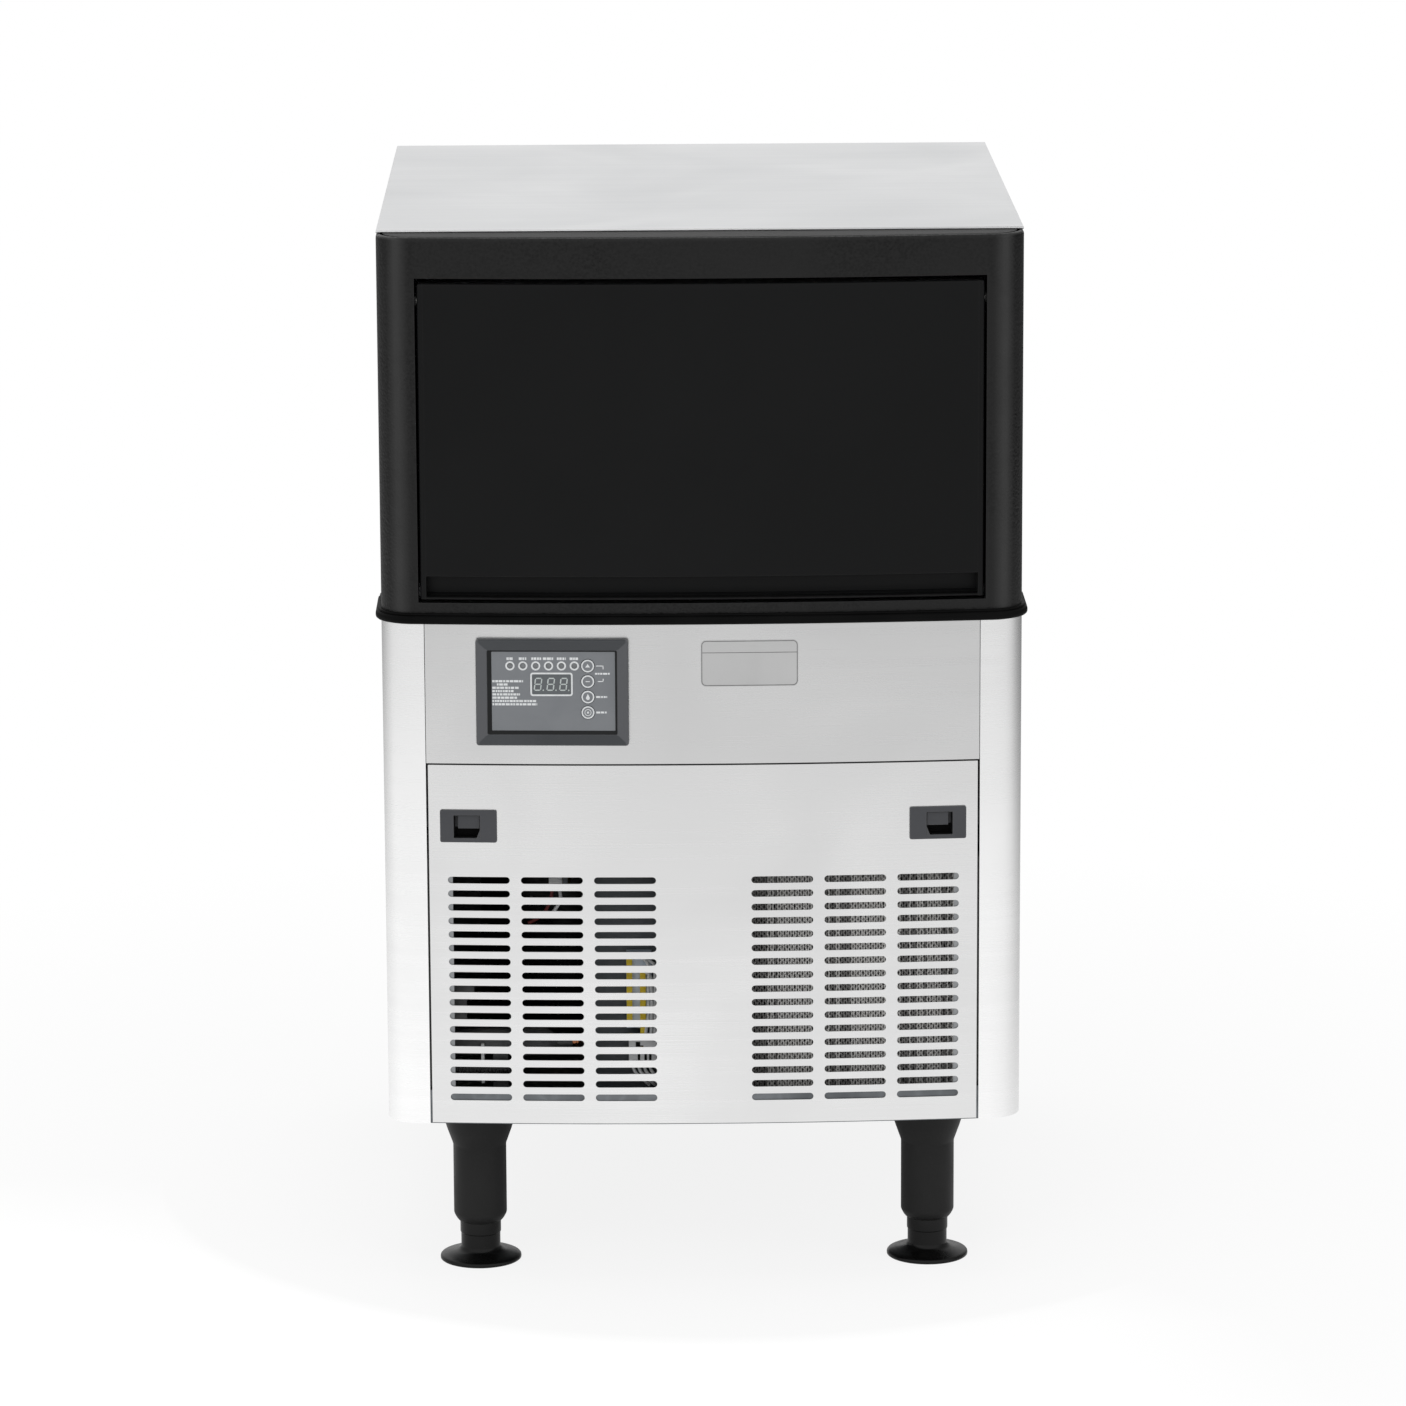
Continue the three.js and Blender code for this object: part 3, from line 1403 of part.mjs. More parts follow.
// Terminal block: a ribbed strip on the front of the electrical box.
function terminalBlock() {
  const right = boxRightX - terminalFromBoxRight;
  const left = right - terminalWidth;
  const bottom = baseTop + terminalLift;
  const frontY = boxFrontY - terminalDepth;
  const body = boxSpan(left, right, frontY, boxFrontY, bottom, bottom + terminalHeight);
  const count = Math.floor(terminalHeight / terminalPitch) - 1;
  const grooves = Array.from({ length: count }, (_, index) => {
    const z = bottom + (index + 1) * terminalPitch;
    return boxSpan(
      left + terminalGroove, right - terminalGroove, frontY - cutOverrun, frontY + terminalGroove,
      z - terminalGroove / 2, z + terminalGroove / 2,
    );
  });
  return cut(body, ...grooves);
}

// Water inlet valve: a block behind the rear panel with a threaded neck through it.
function waterInletValve() {
  const z = bodyBottom + inletHeight;
  const half = inletBodySize / 2;
  const front = rearInnerY - seatGap - inletBodySize;
  const block = boxSpan(-half, half, front, rearInnerY - seatGap, -half, half);
  const neck = rod("y", inletThreadRadius, rearInnerY - half, cabinetDepth + inletReach, roundSides);
  const coil = rod("z", inletCoilRadius, 0, half + inletCoilHeight).translate(0, front + half, 0);
  const bore = rod(
    "y", inletBoreRadius, cabinetDepth + inletReach - inletBoreDepth,
    cabinetDepth + inletReach + cutOverrun,
  );
  return cut(join(block, neck, coil), bore).translate(inletX, 0, z);
}

const drainZ = bodyBottom + drainHeight;
const drainFrontY = rearInnerY - drainInside;

// Drain fitting: a flanged tube through the rear panel.
function drainFitting() {
  const back = cabinetDepth + drainReach;
  const tube = rod("y", drainTubeRadius, drainFrontY, back, roundSides);
  const outer = rod("y", drainFlangeRadius, cabinetDepth, cabinetDepth + drainFlangeThickness, roundSides);
  const nut = rod(
    "y", drainFlangeRadius, rearInnerY - seatGap - drainFlangeThickness, rearInnerY - seatGap, pinSides / 2,
  );
  const bore = rod("y", drainBoreRadius, drainFrontY - cutOverrun, back + cutOverrun, pinSides);
  return cut(join(tube, outer, nut), bore).translate(drainHoleX, 0, drainZ);
}

// Drain pipe: from under the liner's drain hole down through the insulation and back to the fitting.
function drainPipe() {
  const top = binFloor - seatGap;
  return pipe([
    [drainHoleX, drainY, top],
    [drainHoleX, drainY, top - drainBend],
    [drainHoleX, drainY, drainZ + 2 * drainBend],
    [drainHoleX, drainY, drainZ + drainBend],
    [drainHoleX, drainY + drainBend / 3, drainZ + drainBend / 3],
    [drainHoleX, drainY + drainBend, drainZ],
    [drainHoleX, drainFrontY - drainBend / 4, drainZ],
    [drainHoleX, drainFrontY - seatGap, drainZ],
  ], drainPipeRadius, drainBoreRadius);
}

// Cord gland: a threaded body with a hexagonal nut and a domed cap outside, bored for a cord.
function cordGland() {
  const nutEnd = cabinetDepth + glandNutLength;
  const end = nutEnd + glandDomeLength;
  const thread = rod("y", glandThreadRadius, rearInnerY - glandInside, cabinetDepth, roundSides);
  const nut = rod("y", glandNutRadius, cabinetDepth, nutEnd, pinSides / 2);
  const lockNut = rod(
    "y", glandNutRadius, rearInnerY - seatGap - glandInside / 2, rearInnerY - seatGap, pinSides / 2,
  );
  const dome = turned([
    [0, nutEnd - glandNutLength / 2],
    [glandNutRadius - seatGap, nutEnd - glandNutLength / 2],
    [glandThreadRadius, end],
    [0, end],
  ], "y", pinSides);
  const bore = rod("y", glandBoreRadius, rearInnerY - glandInside - cutOverrun, end + cutOverrun);
  return cut(join(thread, nut, lockNut, dome), bore).translate(glandX, 0, bodyBottom + glandHeight);
}

// Leg: a flared sleeve bored from below for the foot's stem.
function legSleeve() {
  const bore = stemRadius + stemGap;
  return turned([
    [0, bodyBottom - legCapThickness],
    [bore, bodyBottom - legCapThickness],
    [bore, legBottomHeight],
    [legRadius - legChamferWidth, legBottomHeight],
    [legRadius, legBottomHeight + legBottomChamfer],
    [legRadius, bodyBottom - legTaperDrop],
    [legShoulderRadius, bodyBottom - legShoulderDrop],
    [legTopRadius, bodyBottom],
    [0, bodyBottom],
  ]);
}

// Foot: a round disc on a stem, with a collar that meets the sleeve when the foot is screwed home.
function levellingFoot() {
  const collarTop = legBottomHeight;
  const collarFoot = collarTop - collarHeight;
  return turned([
    [0, 0],
    [footRadius, 0],
    [footRadius, footRim],
    [stemRadius + footRim, footRim + footCrown / 2],
    [stemRadius, footRim + footCrown],
    [stemRadius, collarFoot],
    [collarRadius, collarFoot],
    [collarRadius, collarTop],
    [stemRadius, collarTop],
    [stemRadius, collarTop + stemHiddenLength],
    [0, collarTop + stemHiddenLength],
  ]);
}

// Assembly
const bezelLeftX = -stripHalf + bezelLeftMargin;
const bezelZ = stripTop - bezelTopMargin - bezelHeight / 2;
const bezelFrame = sheetFrame(bezelLeftX, bezelLeftX + bezelWidth, bezelZ);
const latchX = lowerPanelHalf - latchFromEdge;
const latchZ = lowerPanelTop - latchBelowTop;
const latchFrames = [-1, 1].map((side) =>
  sheetFrame(side * latchX - latchWidth / 2, side * latchX + latchWidth / 2, latchZ));

place("top_panel", topPanel(), topSteel);
place("side_panel_left", sidePanel(-1), brushedSteel);
place("side_panel_right", sidePanel(1), brushedSteel);
place("rear_panel", rearPanel(), galvanised);
place("base_pan", basePan(), galvanised);
place("fascia_frame", fasciaFrame(), grainedBlack);
place("trim_bead", trimBead(), glossBlack);
place("door_shell", doorShell(), doorBlack);
place("door_inner_panel", doorInnerPanel(), linerWhite);
place("door_pin_left", doorPin(-1), nickel);
place("door_pin_right", doorPin(1), nickel);
place("control_strip", controlStrip(bezelFrame), brushedSteel);
place("label_plate", labelPlate(), labelFoil);
place("service_panel", servicePanel(latchFrames), brushedSteel);

cabinet.add(bezelFrame, ...latchFrames);
place("control_bezel", controlBezel(), bezelGrey, bezelFrame);
place("control_membrane", controlMembrane(), membraneGrey, bezelFrame);
place("display_window", displayWindow(), displayGlass, bezelFrame);
place("indicator_lights", indicatorLights(), lampWhite, bezelFrame);
place("control_board", controlBoard(), boardGreen, bezelFrame);
keyNames.forEach((name, index) => place(name, roundKey(index), membraneGrey, bezelFrame));

latchFrames.forEach((frame, index) => {
  const side = index === 0 ? -1 : 1;
  const hand = index === 0 ? "left" : "right";
  place("latch_housing_" + hand, latchHousing(side), latchGrey, frame);
  place("latch_slider_" + hand, latchSlider(side), thumbGrey, frame);
});

place("foam_body", foamBody(), foamCream);
place("bin_liner", binLiner(), linerWhite);
place("evaporator", evaporator(), nickel);
place("spray_tube", sprayTube(), whitePlastic);
place("water_curtain", waterCurtain(), clearPlastic);
place("water_trough", waterTrough(), whitePlastic);
place("water_pump", waterPump(), whitePlastic);
place("float_valve", floatValve(), whitePlastic);
place("float_arm", floatArm(), whitePlastic);

place("condenser", condenser(), aluminiumFins);
place("fan_shroud", fanShroud(), galvanised);
place("fan_blade", fanBlade(), fanPlastic);
place("fan_motor", fanMotor(), blackPaint);
place("compressor", compressor(), blackPaint);
place("discharge_pipe", dischargePipe(), copper);
place("suction_pipe", suctionPipe(), copper);
place("liquid_pipe", liquidPipe(), copper);
place("filter_drier", filterDrier(), copper);
place("hot_gas_valve", hotGasValve(), whitePlastic);
place("electrical_box", electricalBox(), greyPaint);
place("terminal_block", terminalBlock(), yellowPlastic);

place("water_inlet_valve", waterInletValve(), whitePlastic);
place("drain_fitting", drainFitting(), whitePlastic);
place("drain_pipe", drainPipe(), whitePlastic);
place("cord_gland", cordGland(), fanPlastic);

const legPlaces = [
  ["front_left", -1, legFrontY],
  ["front_right", 1, legFrontY],
  ["rear_left", -1, cabinetDepth - legFromRear],
  ["rear_right", 1, cabinetDepth - legFromRear],
];
for (const [corner, side, y] of legPlaces) {
  const x = side * (halfWidth - legFromSide);
  place("leg_" + corner, legSleeve(), legBlack).position.set(x, y, 0);
  place("foot_" + corner, levellingFoot(), glossBlack).position.set(x, y, 0);
}

// The whole part is centred over its footprint.
cabinet.updateMatrixWorld(true);
const footprint = new THREE.Box3().setFromObject(cabinet, true);
cabinet.position.y = -(footprint.min.y + footprint.max.y) / 2;

const iceMaker = new THREE.Group();
iceMaker.add(cabinet);

export default iceMaker;
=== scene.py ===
"""Looks of an undercounter ice maker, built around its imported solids.

Sizes are millimetres in the part's own frame: +Z up, the door faces -Y, the floor is Z = 0.
The bowed front is measured from the front edge of the steel top, whose stated Y is DATUM_Y.
"""

import json
import logging
import math
import random
from collections.abc import Callable, Sequence
from dataclasses import dataclass, field
from enum import Enum

import bmesh
import bpy
from mathutils import Matrix, Vector
from mathutils.geometry import tessellate_polygon


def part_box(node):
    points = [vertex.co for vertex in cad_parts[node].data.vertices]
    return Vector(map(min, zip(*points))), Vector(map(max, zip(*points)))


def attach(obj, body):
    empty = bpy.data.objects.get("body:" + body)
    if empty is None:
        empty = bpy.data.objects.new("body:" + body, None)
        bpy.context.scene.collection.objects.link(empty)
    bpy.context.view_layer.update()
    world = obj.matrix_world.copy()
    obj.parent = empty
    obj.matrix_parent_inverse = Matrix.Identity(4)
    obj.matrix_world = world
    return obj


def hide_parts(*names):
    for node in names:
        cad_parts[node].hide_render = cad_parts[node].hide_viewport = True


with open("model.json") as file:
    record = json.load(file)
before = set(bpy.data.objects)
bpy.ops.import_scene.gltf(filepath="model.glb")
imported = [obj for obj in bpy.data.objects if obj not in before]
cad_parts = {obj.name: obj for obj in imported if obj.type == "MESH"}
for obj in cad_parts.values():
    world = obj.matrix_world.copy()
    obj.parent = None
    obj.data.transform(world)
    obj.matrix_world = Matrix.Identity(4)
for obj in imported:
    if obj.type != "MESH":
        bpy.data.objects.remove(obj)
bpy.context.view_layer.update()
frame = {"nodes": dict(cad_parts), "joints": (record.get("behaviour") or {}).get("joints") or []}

LOG = logging.getLogger("ice_maker")
MM = 0.001
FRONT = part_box("top_panel")[0].y / MM
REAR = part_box("rear_panel")[1].y / MM
DATUM_Y = -248.95
CORNER_X = 223.0
CORNER_RADIUS = 27.0
BOW = 10.0
SIDE_X = CORNER_X + CORNER_RADIUS
SHEET = 1.0
PAN_TOP = 131.2

Point = tuple[float, float, float]
Flat = tuple[float, float]
Colour = tuple[float, float, float]


def bow_y(x: float, inset: float = 0.0) -> float:
    """Y of the bowed front at x, moved back by inset."""
    return FRONT - CORNER_RADIUS - BOW * (1 - (x / CORNER_X) ** 2) + inset


def bow_band(xs: Sequence[float], near: float, far: float) -> list[Flat]:
    """Plan outline between two lines that lie by these insets behind the bowed front."""
    return [(x, bow_y(x, near)) for x in xs] + [(x, bow_y(x, far)) for x in reversed(xs)]


def spread(start: float, end: float, count: int) -> list[float]:
    """Evenly spaced values from start to end, both included."""
    return [start + (end - start) * i / (count - 1) for i in range(count)]


def on_side(side: int, near: float, far: float) -> Flat:
    """The span between two distances from the middle, on the side that -1 or 1 stands for."""
    return tuple(sorted((side * near, side * far)))


def rectangle(across: Flat, along: Flat) -> list[Flat]:
    """The four corners of a rectangle, from its low one round."""
    return [(across[0], along[0]), (across[1], along[0]), (across[1], along[1]), (across[0], along[1])]


def corner_arc(side: int, inset: float, steps: int = 14) -> list[Flat]:
    """Plan points of a rounded front corner.

    Args:
        side: -1 for the left corner, 1 for the right one.
        inset: How far the line lies inside the outer surface.
        steps: Number of straight pieces.

    Returns:
        Points from the side face round to the front face.
    """
    radius = CORNER_RADIUS - inset
    angles = [math.pi / 2 * i / steps for i in range(steps + 1)]
    return [(side * (CORNER_X + radius * math.cos(a)), FRONT - radius * math.sin(a)) for a in angles]


def wrap_line(inset: float, back: float, stations: Sequence[float]) -> list[Flat]:
    """Plan line down the left side, round the front and up the right side.

    Args:
        inset: How far the line lies inside the outer surface.
        back: Y where both side runs end.
        stations: X of the points on the bowed front.

    Returns:
        The plan points.
    """
    side = SIDE_X - inset
    left = [(-side, back), *corner_arc(-1, inset)]
    right = [*reversed(corner_arc(1, inset)), (side, back)]
    return left + [(x, bow_y(x, inset)) for x in stations] + right


def rounded_rect(
    half: Flat, radius: float, y: float, centre: Flat = (0.0, 0.0), steps: int = 5
) -> list[Point]:
    """Loop of a rectangle with round corners in an upright plane.

    Args:
        half: Half width and half height.
        radius: Corner radius.
        y: Depth of the plane.
        centre: X and Z of the middle.
        steps: Straight pieces in each corner.

    Returns:
        The loop's points.
    """
    loop = []
    for quarter, (sx, sz) in enumerate(((1, 1), (-1, 1), (-1, -1), (1, -1))):
        for i in range(steps + 1):
            angle = math.pi / 2 * (quarter + i / steps)
            x = centre[0] + sx * (half[0] - radius) + radius * math.cos(angle)
            z = centre[1] + sz * (half[1] - radius) + radius * math.sin(angle)
            loop.append((x, y, z))
    return loop


def flat_loop(loop: Sequence[Point]) -> list[Flat]:
    """The X and Z of a loop's points."""
    return [(p[0], p[2]) for p in loop]


def smooth_route(route: Sequence[Point], steps: int = 10) -> list[Vector]:
    """Centripetal spline through the points of a route.

    Args:
        route: Points that the line passes through.
        steps: Pieces between two points.

    Returns:
        Closely spaced points along the line.
    """
    knots = [Vector(p) for p in route]
    knots = [2 * knots[0] - knots[1], *knots, 2 * knots[-1] - knots[-2]]
    line = []
    for a, b, c, d in zip(knots, knots[1:], knots[2:], knots[3:]):
        t1 = max((b - a).length, 1e-6) ** 0.5
        t2 = t1 + max((c - b).length, 1e-6) ** 0.5
        t3 = t2 + max((d - c).length, 1e-6) ** 0.5
        for i in range(steps):
            t = t1 + (t2 - t1) * i / steps
            ab = a * ((t1 - t) / t1) + b * (t / t1)
            bc = b * ((t2 - t) / (t2 - t1)) + c * ((t - t1) / (t2 - t1))
            cd = c * ((t3 - t) / (t3 - t2)) + d * ((t - t2) / (t3 - t2))
            abc = ab * ((t2 - t) / t2) + bc * (t / t2)
            bcd = bc * ((t3 - t) / (t3 - t1)) + cd * ((t - t1) / (t3 - t1))
            line.append(abc * ((t2 - t) / (t2 - t1)) + bcd * ((t - t1) / (t2 - t1)))
    return [*line, knots[-2]]


class Axis(Enum):
    """A direction that a round form is turned about."""

    X = 0
    Y = 1
    Z = 2


class Grain(Enum):
    """A kind of fine texture."""

    BRUSHED = "brushed"
    PEBBLED = "pebbled"
    CELLS = "cells"


@dataclass(frozen=True)
class Texture:
    """The fine texture of a surface: how close it is, how deep, and how much it colours."""

    grain: Grain
    scale: float = 900.0
    depth: float = 0.02
    colour: float = 0.0
    stretch: Point = (4.0, 4.0, 900.0)


class Graph:
    """Adds nodes to a node tree and joins them."""

    def __init__(self, tree: bpy.types.NodeTree) -> None:
        """Keeps the tree."""
        self.tree = tree

    def node(self, kind: str, values: dict | None = None, **settings: object) -> bpy.types.Node:
        """Makes a node.

        Args:
            kind: The node's type, without the ShaderNode prefix.
            values: Value or source socket for each input, by name or index.
            **settings: Properties of the node.

        Returns:
            The node.
        """
        made = self.tree.nodes.new("ShaderNode" + kind)
        for name, value in settings.items():
            setattr(made, name, value)
        for key, value in (values or {}).items():
            if isinstance(value, bpy.types.NodeSocket):
                self.tree.links.new(value, made.inputs[key])
            else:
                made.inputs[key].default_value = value
        return made

    def maths(self, operation: str, *terms: object) -> bpy.types.NodeSocket:
        """Result of a Math node on the terms."""
        return self.node("Math", dict(enumerate(terms)), operation=operation).outputs[0]

    def mapped(
        self, value: object, span: Flat, onto: Flat | tuple[object, object]
    ) -> bpy.types.NodeSocket:
        """Value carried from one span onto another, and held inside it."""
        names = ("Value", "From Min", "From Max", "To Min", "To Max")
        return self.node("MapRange", dict(zip(names, (value, *span, *onto)))).outputs[0]


VECTOR = ("NodeSocketVector", None)


def shader_group(
    name: str,
    takes: dict[str, tuple[str, object]],
    gives: Sequence[str],
    fill: Callable[[Graph, dict], dict],
) -> bpy.types.NodeTree:
    """Makes a shared node group once.

    Args:
        name: The group's name.
        takes: Socket type and default of each input.
        gives: Names of the outputs, all numbers.
        fill: Builds the inside and returns the output sockets by name.

    Returns:
        The group.
    """
    if name in bpy.data.node_groups:
        return bpy.data.node_groups[name]
    tree = bpy.data.node_groups.new(name, "ShaderNodeTree")
    for label, (kind, default) in takes.items():
        socket = tree.interface.new_socket(label, in_out="INPUT", socket_type=kind)
        if default is not None:
            socket.default_value = default
    for label in gives:
        tree.interface.new_socket(label, in_out="OUTPUT", socket_type="NodeSocketFloat")
    source = tree.nodes.new("NodeGroupInput")
    sink = tree.nodes.new("NodeGroupOutput")
    for label, socket in fill(Graph(tree), {s.name: s for s in source.outputs if s.name}).items():
        tree.links.new(socket, sink.inputs[label])
    return tree


def brushed_group() -> bpy.types.NodeTree:
    """Group of long fine scratches that run one way over a brushed sheet."""

    def fill(graph: Graph, takes: dict) -> dict:
        """Two stretched noises, one fine and one coarse."""
        stretched = graph.node(
            "VectorMath", {0: takes["Vector"], 1: takes["Stretch"]}, operation="MULTIPLY"
        ).outputs[0]
        fine = graph.node(
            "TexNoise", {"Vector": stretched, "Scale": 1.0, "Detail": 4.0, "Roughness": 0.7}
        )
        coarse = graph.node("TexNoise", {"Vector": stretched, "Scale": 0.13, "Detail": 2.0})
        mixed = graph.maths("ADD", graph.maths("MULTIPLY", fine.outputs[0], 0.6),
                            graph.maths("MULTIPLY", coarse.outputs[0], 0.4))
        return {"Height": fine.outputs[0], "Mask": graph.mapped(mixed, (0.35, 0.65), (0.0, 1.0))}

    takes = {"Vector": VECTOR, "Stretch": ("NodeSocketVector", (4.0, 4.0, 900.0))}
    return shader_group("brushed_scratches", takes, ("Height", "Mask"), fill)


def pebbled_group() -> bpy.types.NodeTree:
    """Group of the fine pebbled grain of a textured mould."""

    def fill(graph: Graph, takes: dict) -> dict:
        """Rounded cells broken up by noise."""
        noise = graph.node("TexNoise", {**takes, "Detail": 2.0})
        cells = graph.node("TexVoronoi", takes)
        height = graph.maths("ADD", noise.outputs[0], graph.maths("MULTIPLY", cells.outputs[0], 0.6))
        return {"Height": height, "Mask": graph.mapped(height, (0.5, 1.0), (0.0, 1.0))}

    takes = {"Vector": VECTOR, "Scale": ("NodeSocketFloat", 900.0)}
    return shader_group("pebbled_grain", takes, ("Height", "Mask"), fill)


def cells_group() -> bpy.types.NodeTree:
    """Group of the open cells of cut insulating foam."""

    def fill(graph: Graph, takes: dict) -> dict:
        """Distance to the cell walls."""
        walls = graph.node("TexVoronoi", takes, feature="DISTANCE_TO_EDGE").outputs[0]
        return {"Height": walls, "Mask": graph.mapped(walls, (0.0, 0.2), (0.0, 1.0))}

    takes = {"Vector": VECTOR, "Scale": ("NodeSocketFloat", 400.0)}
    return shader_group("foam_cells", takes, ("Height", "Mask"), fill)


def blotch_group() -> bpy.types.NodeTree:
    """Group of soft large patches, for handling marks and uneven colour."""

    def fill(graph: Graph, takes: dict) -> dict:
        """Soft noise with its contrast raised."""
        noise = graph.node("TexNoise", {**takes, "Detail": 3.0, "Distortion": 0.6})
        return {"Mask": graph.mapped(noise.outputs[0], (0.38, 0.66), (0.0, 1.0))}

    takes = {"Vector": VECTOR, "Scale": ("NodeSocketFloat", 9.0)}
    return shader_group("soft_blotches", takes, ("Mask",), fill)


def edge_group() -> bpy.types.NodeTree:
    """Group that finds edges, where a finish is brightened, partly by wear and partly by a painted edge
    highlight.
    """

    def fill(graph: Graph, takes: dict) -> dict:
        """How far a rounded normal leaves the true one."""
        round_normal = graph.node("Bevel", {"Radius": takes["Radius"]}, samples=4).outputs[0]
        true_normal = graph.node("NewGeometry").outputs["True Normal"]
        along = graph.node("VectorMath", {0: round_normal, 1: true_normal}, operation="DOT_PRODUCT")
        mask_part = graph.mapped(along.outputs["Value"], (0.99, 0.86), (0.0, 1.0))
        noise = graph.node("TexNoise", {"Vector": takes["Vector"], "Scale": 160.0, "Detail": 2.0})
        uneven = graph.mapped(noise.outputs[0], (0.3, 0.6), (0.4, 1.0))
        return {"Mask": graph.maths("MULTIPLY", mask_part, uneven)}

    takes = {"Vector": VECTOR, "Radius": ("NodeSocketFloat", 0.0008)}
    return shader_group("worn_and_highlit_edges", takes, ("Mask",), fill)


def flank_group() -> bpy.types.NodeTree:
    """Group that finds what leans to the left or the right, where a frame is painted lighter as if lit from
    the sides.
    """

    def fill(graph: Graph, takes: dict) -> dict:
        """Sideways share of the true normal, with the turn of the frame on the bowed strip taken off."""
        true_normal = graph.node("NewGeometry").outputs["True Normal"]
        across = graph.node("SeparateXYZ", {0: true_normal}).outputs[0]
        lean = graph.maths("ABSOLUTE", graph.maths("ADD", across, takes["Turn"]))
        return {"Mask": graph.mapped(lean, (0.06, 0.12), (0.0, 1.0))}

    return shader_group("painted_flank_light", {"Turn": ("NodeSocketFloat", 0.047)}, ("Mask",), fill)


def corner_group() -> bpy.types.NodeTree:
    """Group that finds the middle of an upright rounded corner, where a highlight is painted."""

    def fill(graph: Graph, takes: dict) -> dict:
        """Sideways share of the normal, from the start of the corner to past its middle."""
        across = graph.node("SeparateXYZ", {0: graph.node("NewGeometry").outputs["Normal"]}).outputs[0]
        lean = graph.maths("ABSOLUTE", across)
        noise = graph.node("TexNoise", {"Vector": takes["Vector"], "Scale": 40.0, "Detail": 3.0})
        mask_part = graph.mapped(noise.outputs[0], (0.3, 0.6), (0.8, 1.0))
        rise = graph.maths("MULTIPLY", graph.mapped(lean, (0.08, 0.38), (0.0, 1.0)), mask_part)
        return {"Mask": graph.maths("MULTIPLY", rise, graph.mapped(lean, (0.48, 0.70), (1.0, 0.0)))}

    return shader_group("painted_corner_highlight", {"Vector": VECTOR}, ("Mask",), fill)


def dust_group() -> bpy.types.NodeTree:
    """Group of dust that settles on what faces up."""

    def fill(graph: Graph, takes: dict) -> dict:
        """Upward share of the normal, broken up by noise."""
        up = graph.node("SeparateXYZ", {0: graph.node("NewGeometry").outputs["Normal"]}).outputs[2]
        noise = graph.node("TexNoise", {"Vector": takes["Vector"], "Scale": 55.0, "Detail": 5.0})
        lying = graph.mapped(up, (0.4, 1.0), (0.0, 1.0))
        uneven = graph.mapped(noise.outputs[0], (0.4, 0.7), (0.0, 1.0))
        return {"Mask": graph.maths("MULTIPLY", lying, uneven)}

    return shader_group("settled_dust", {"Vector": VECTOR}, ("Mask",), fill)


DUST_COLOUR = (0.32, 0.31, 0.29, 1.0)


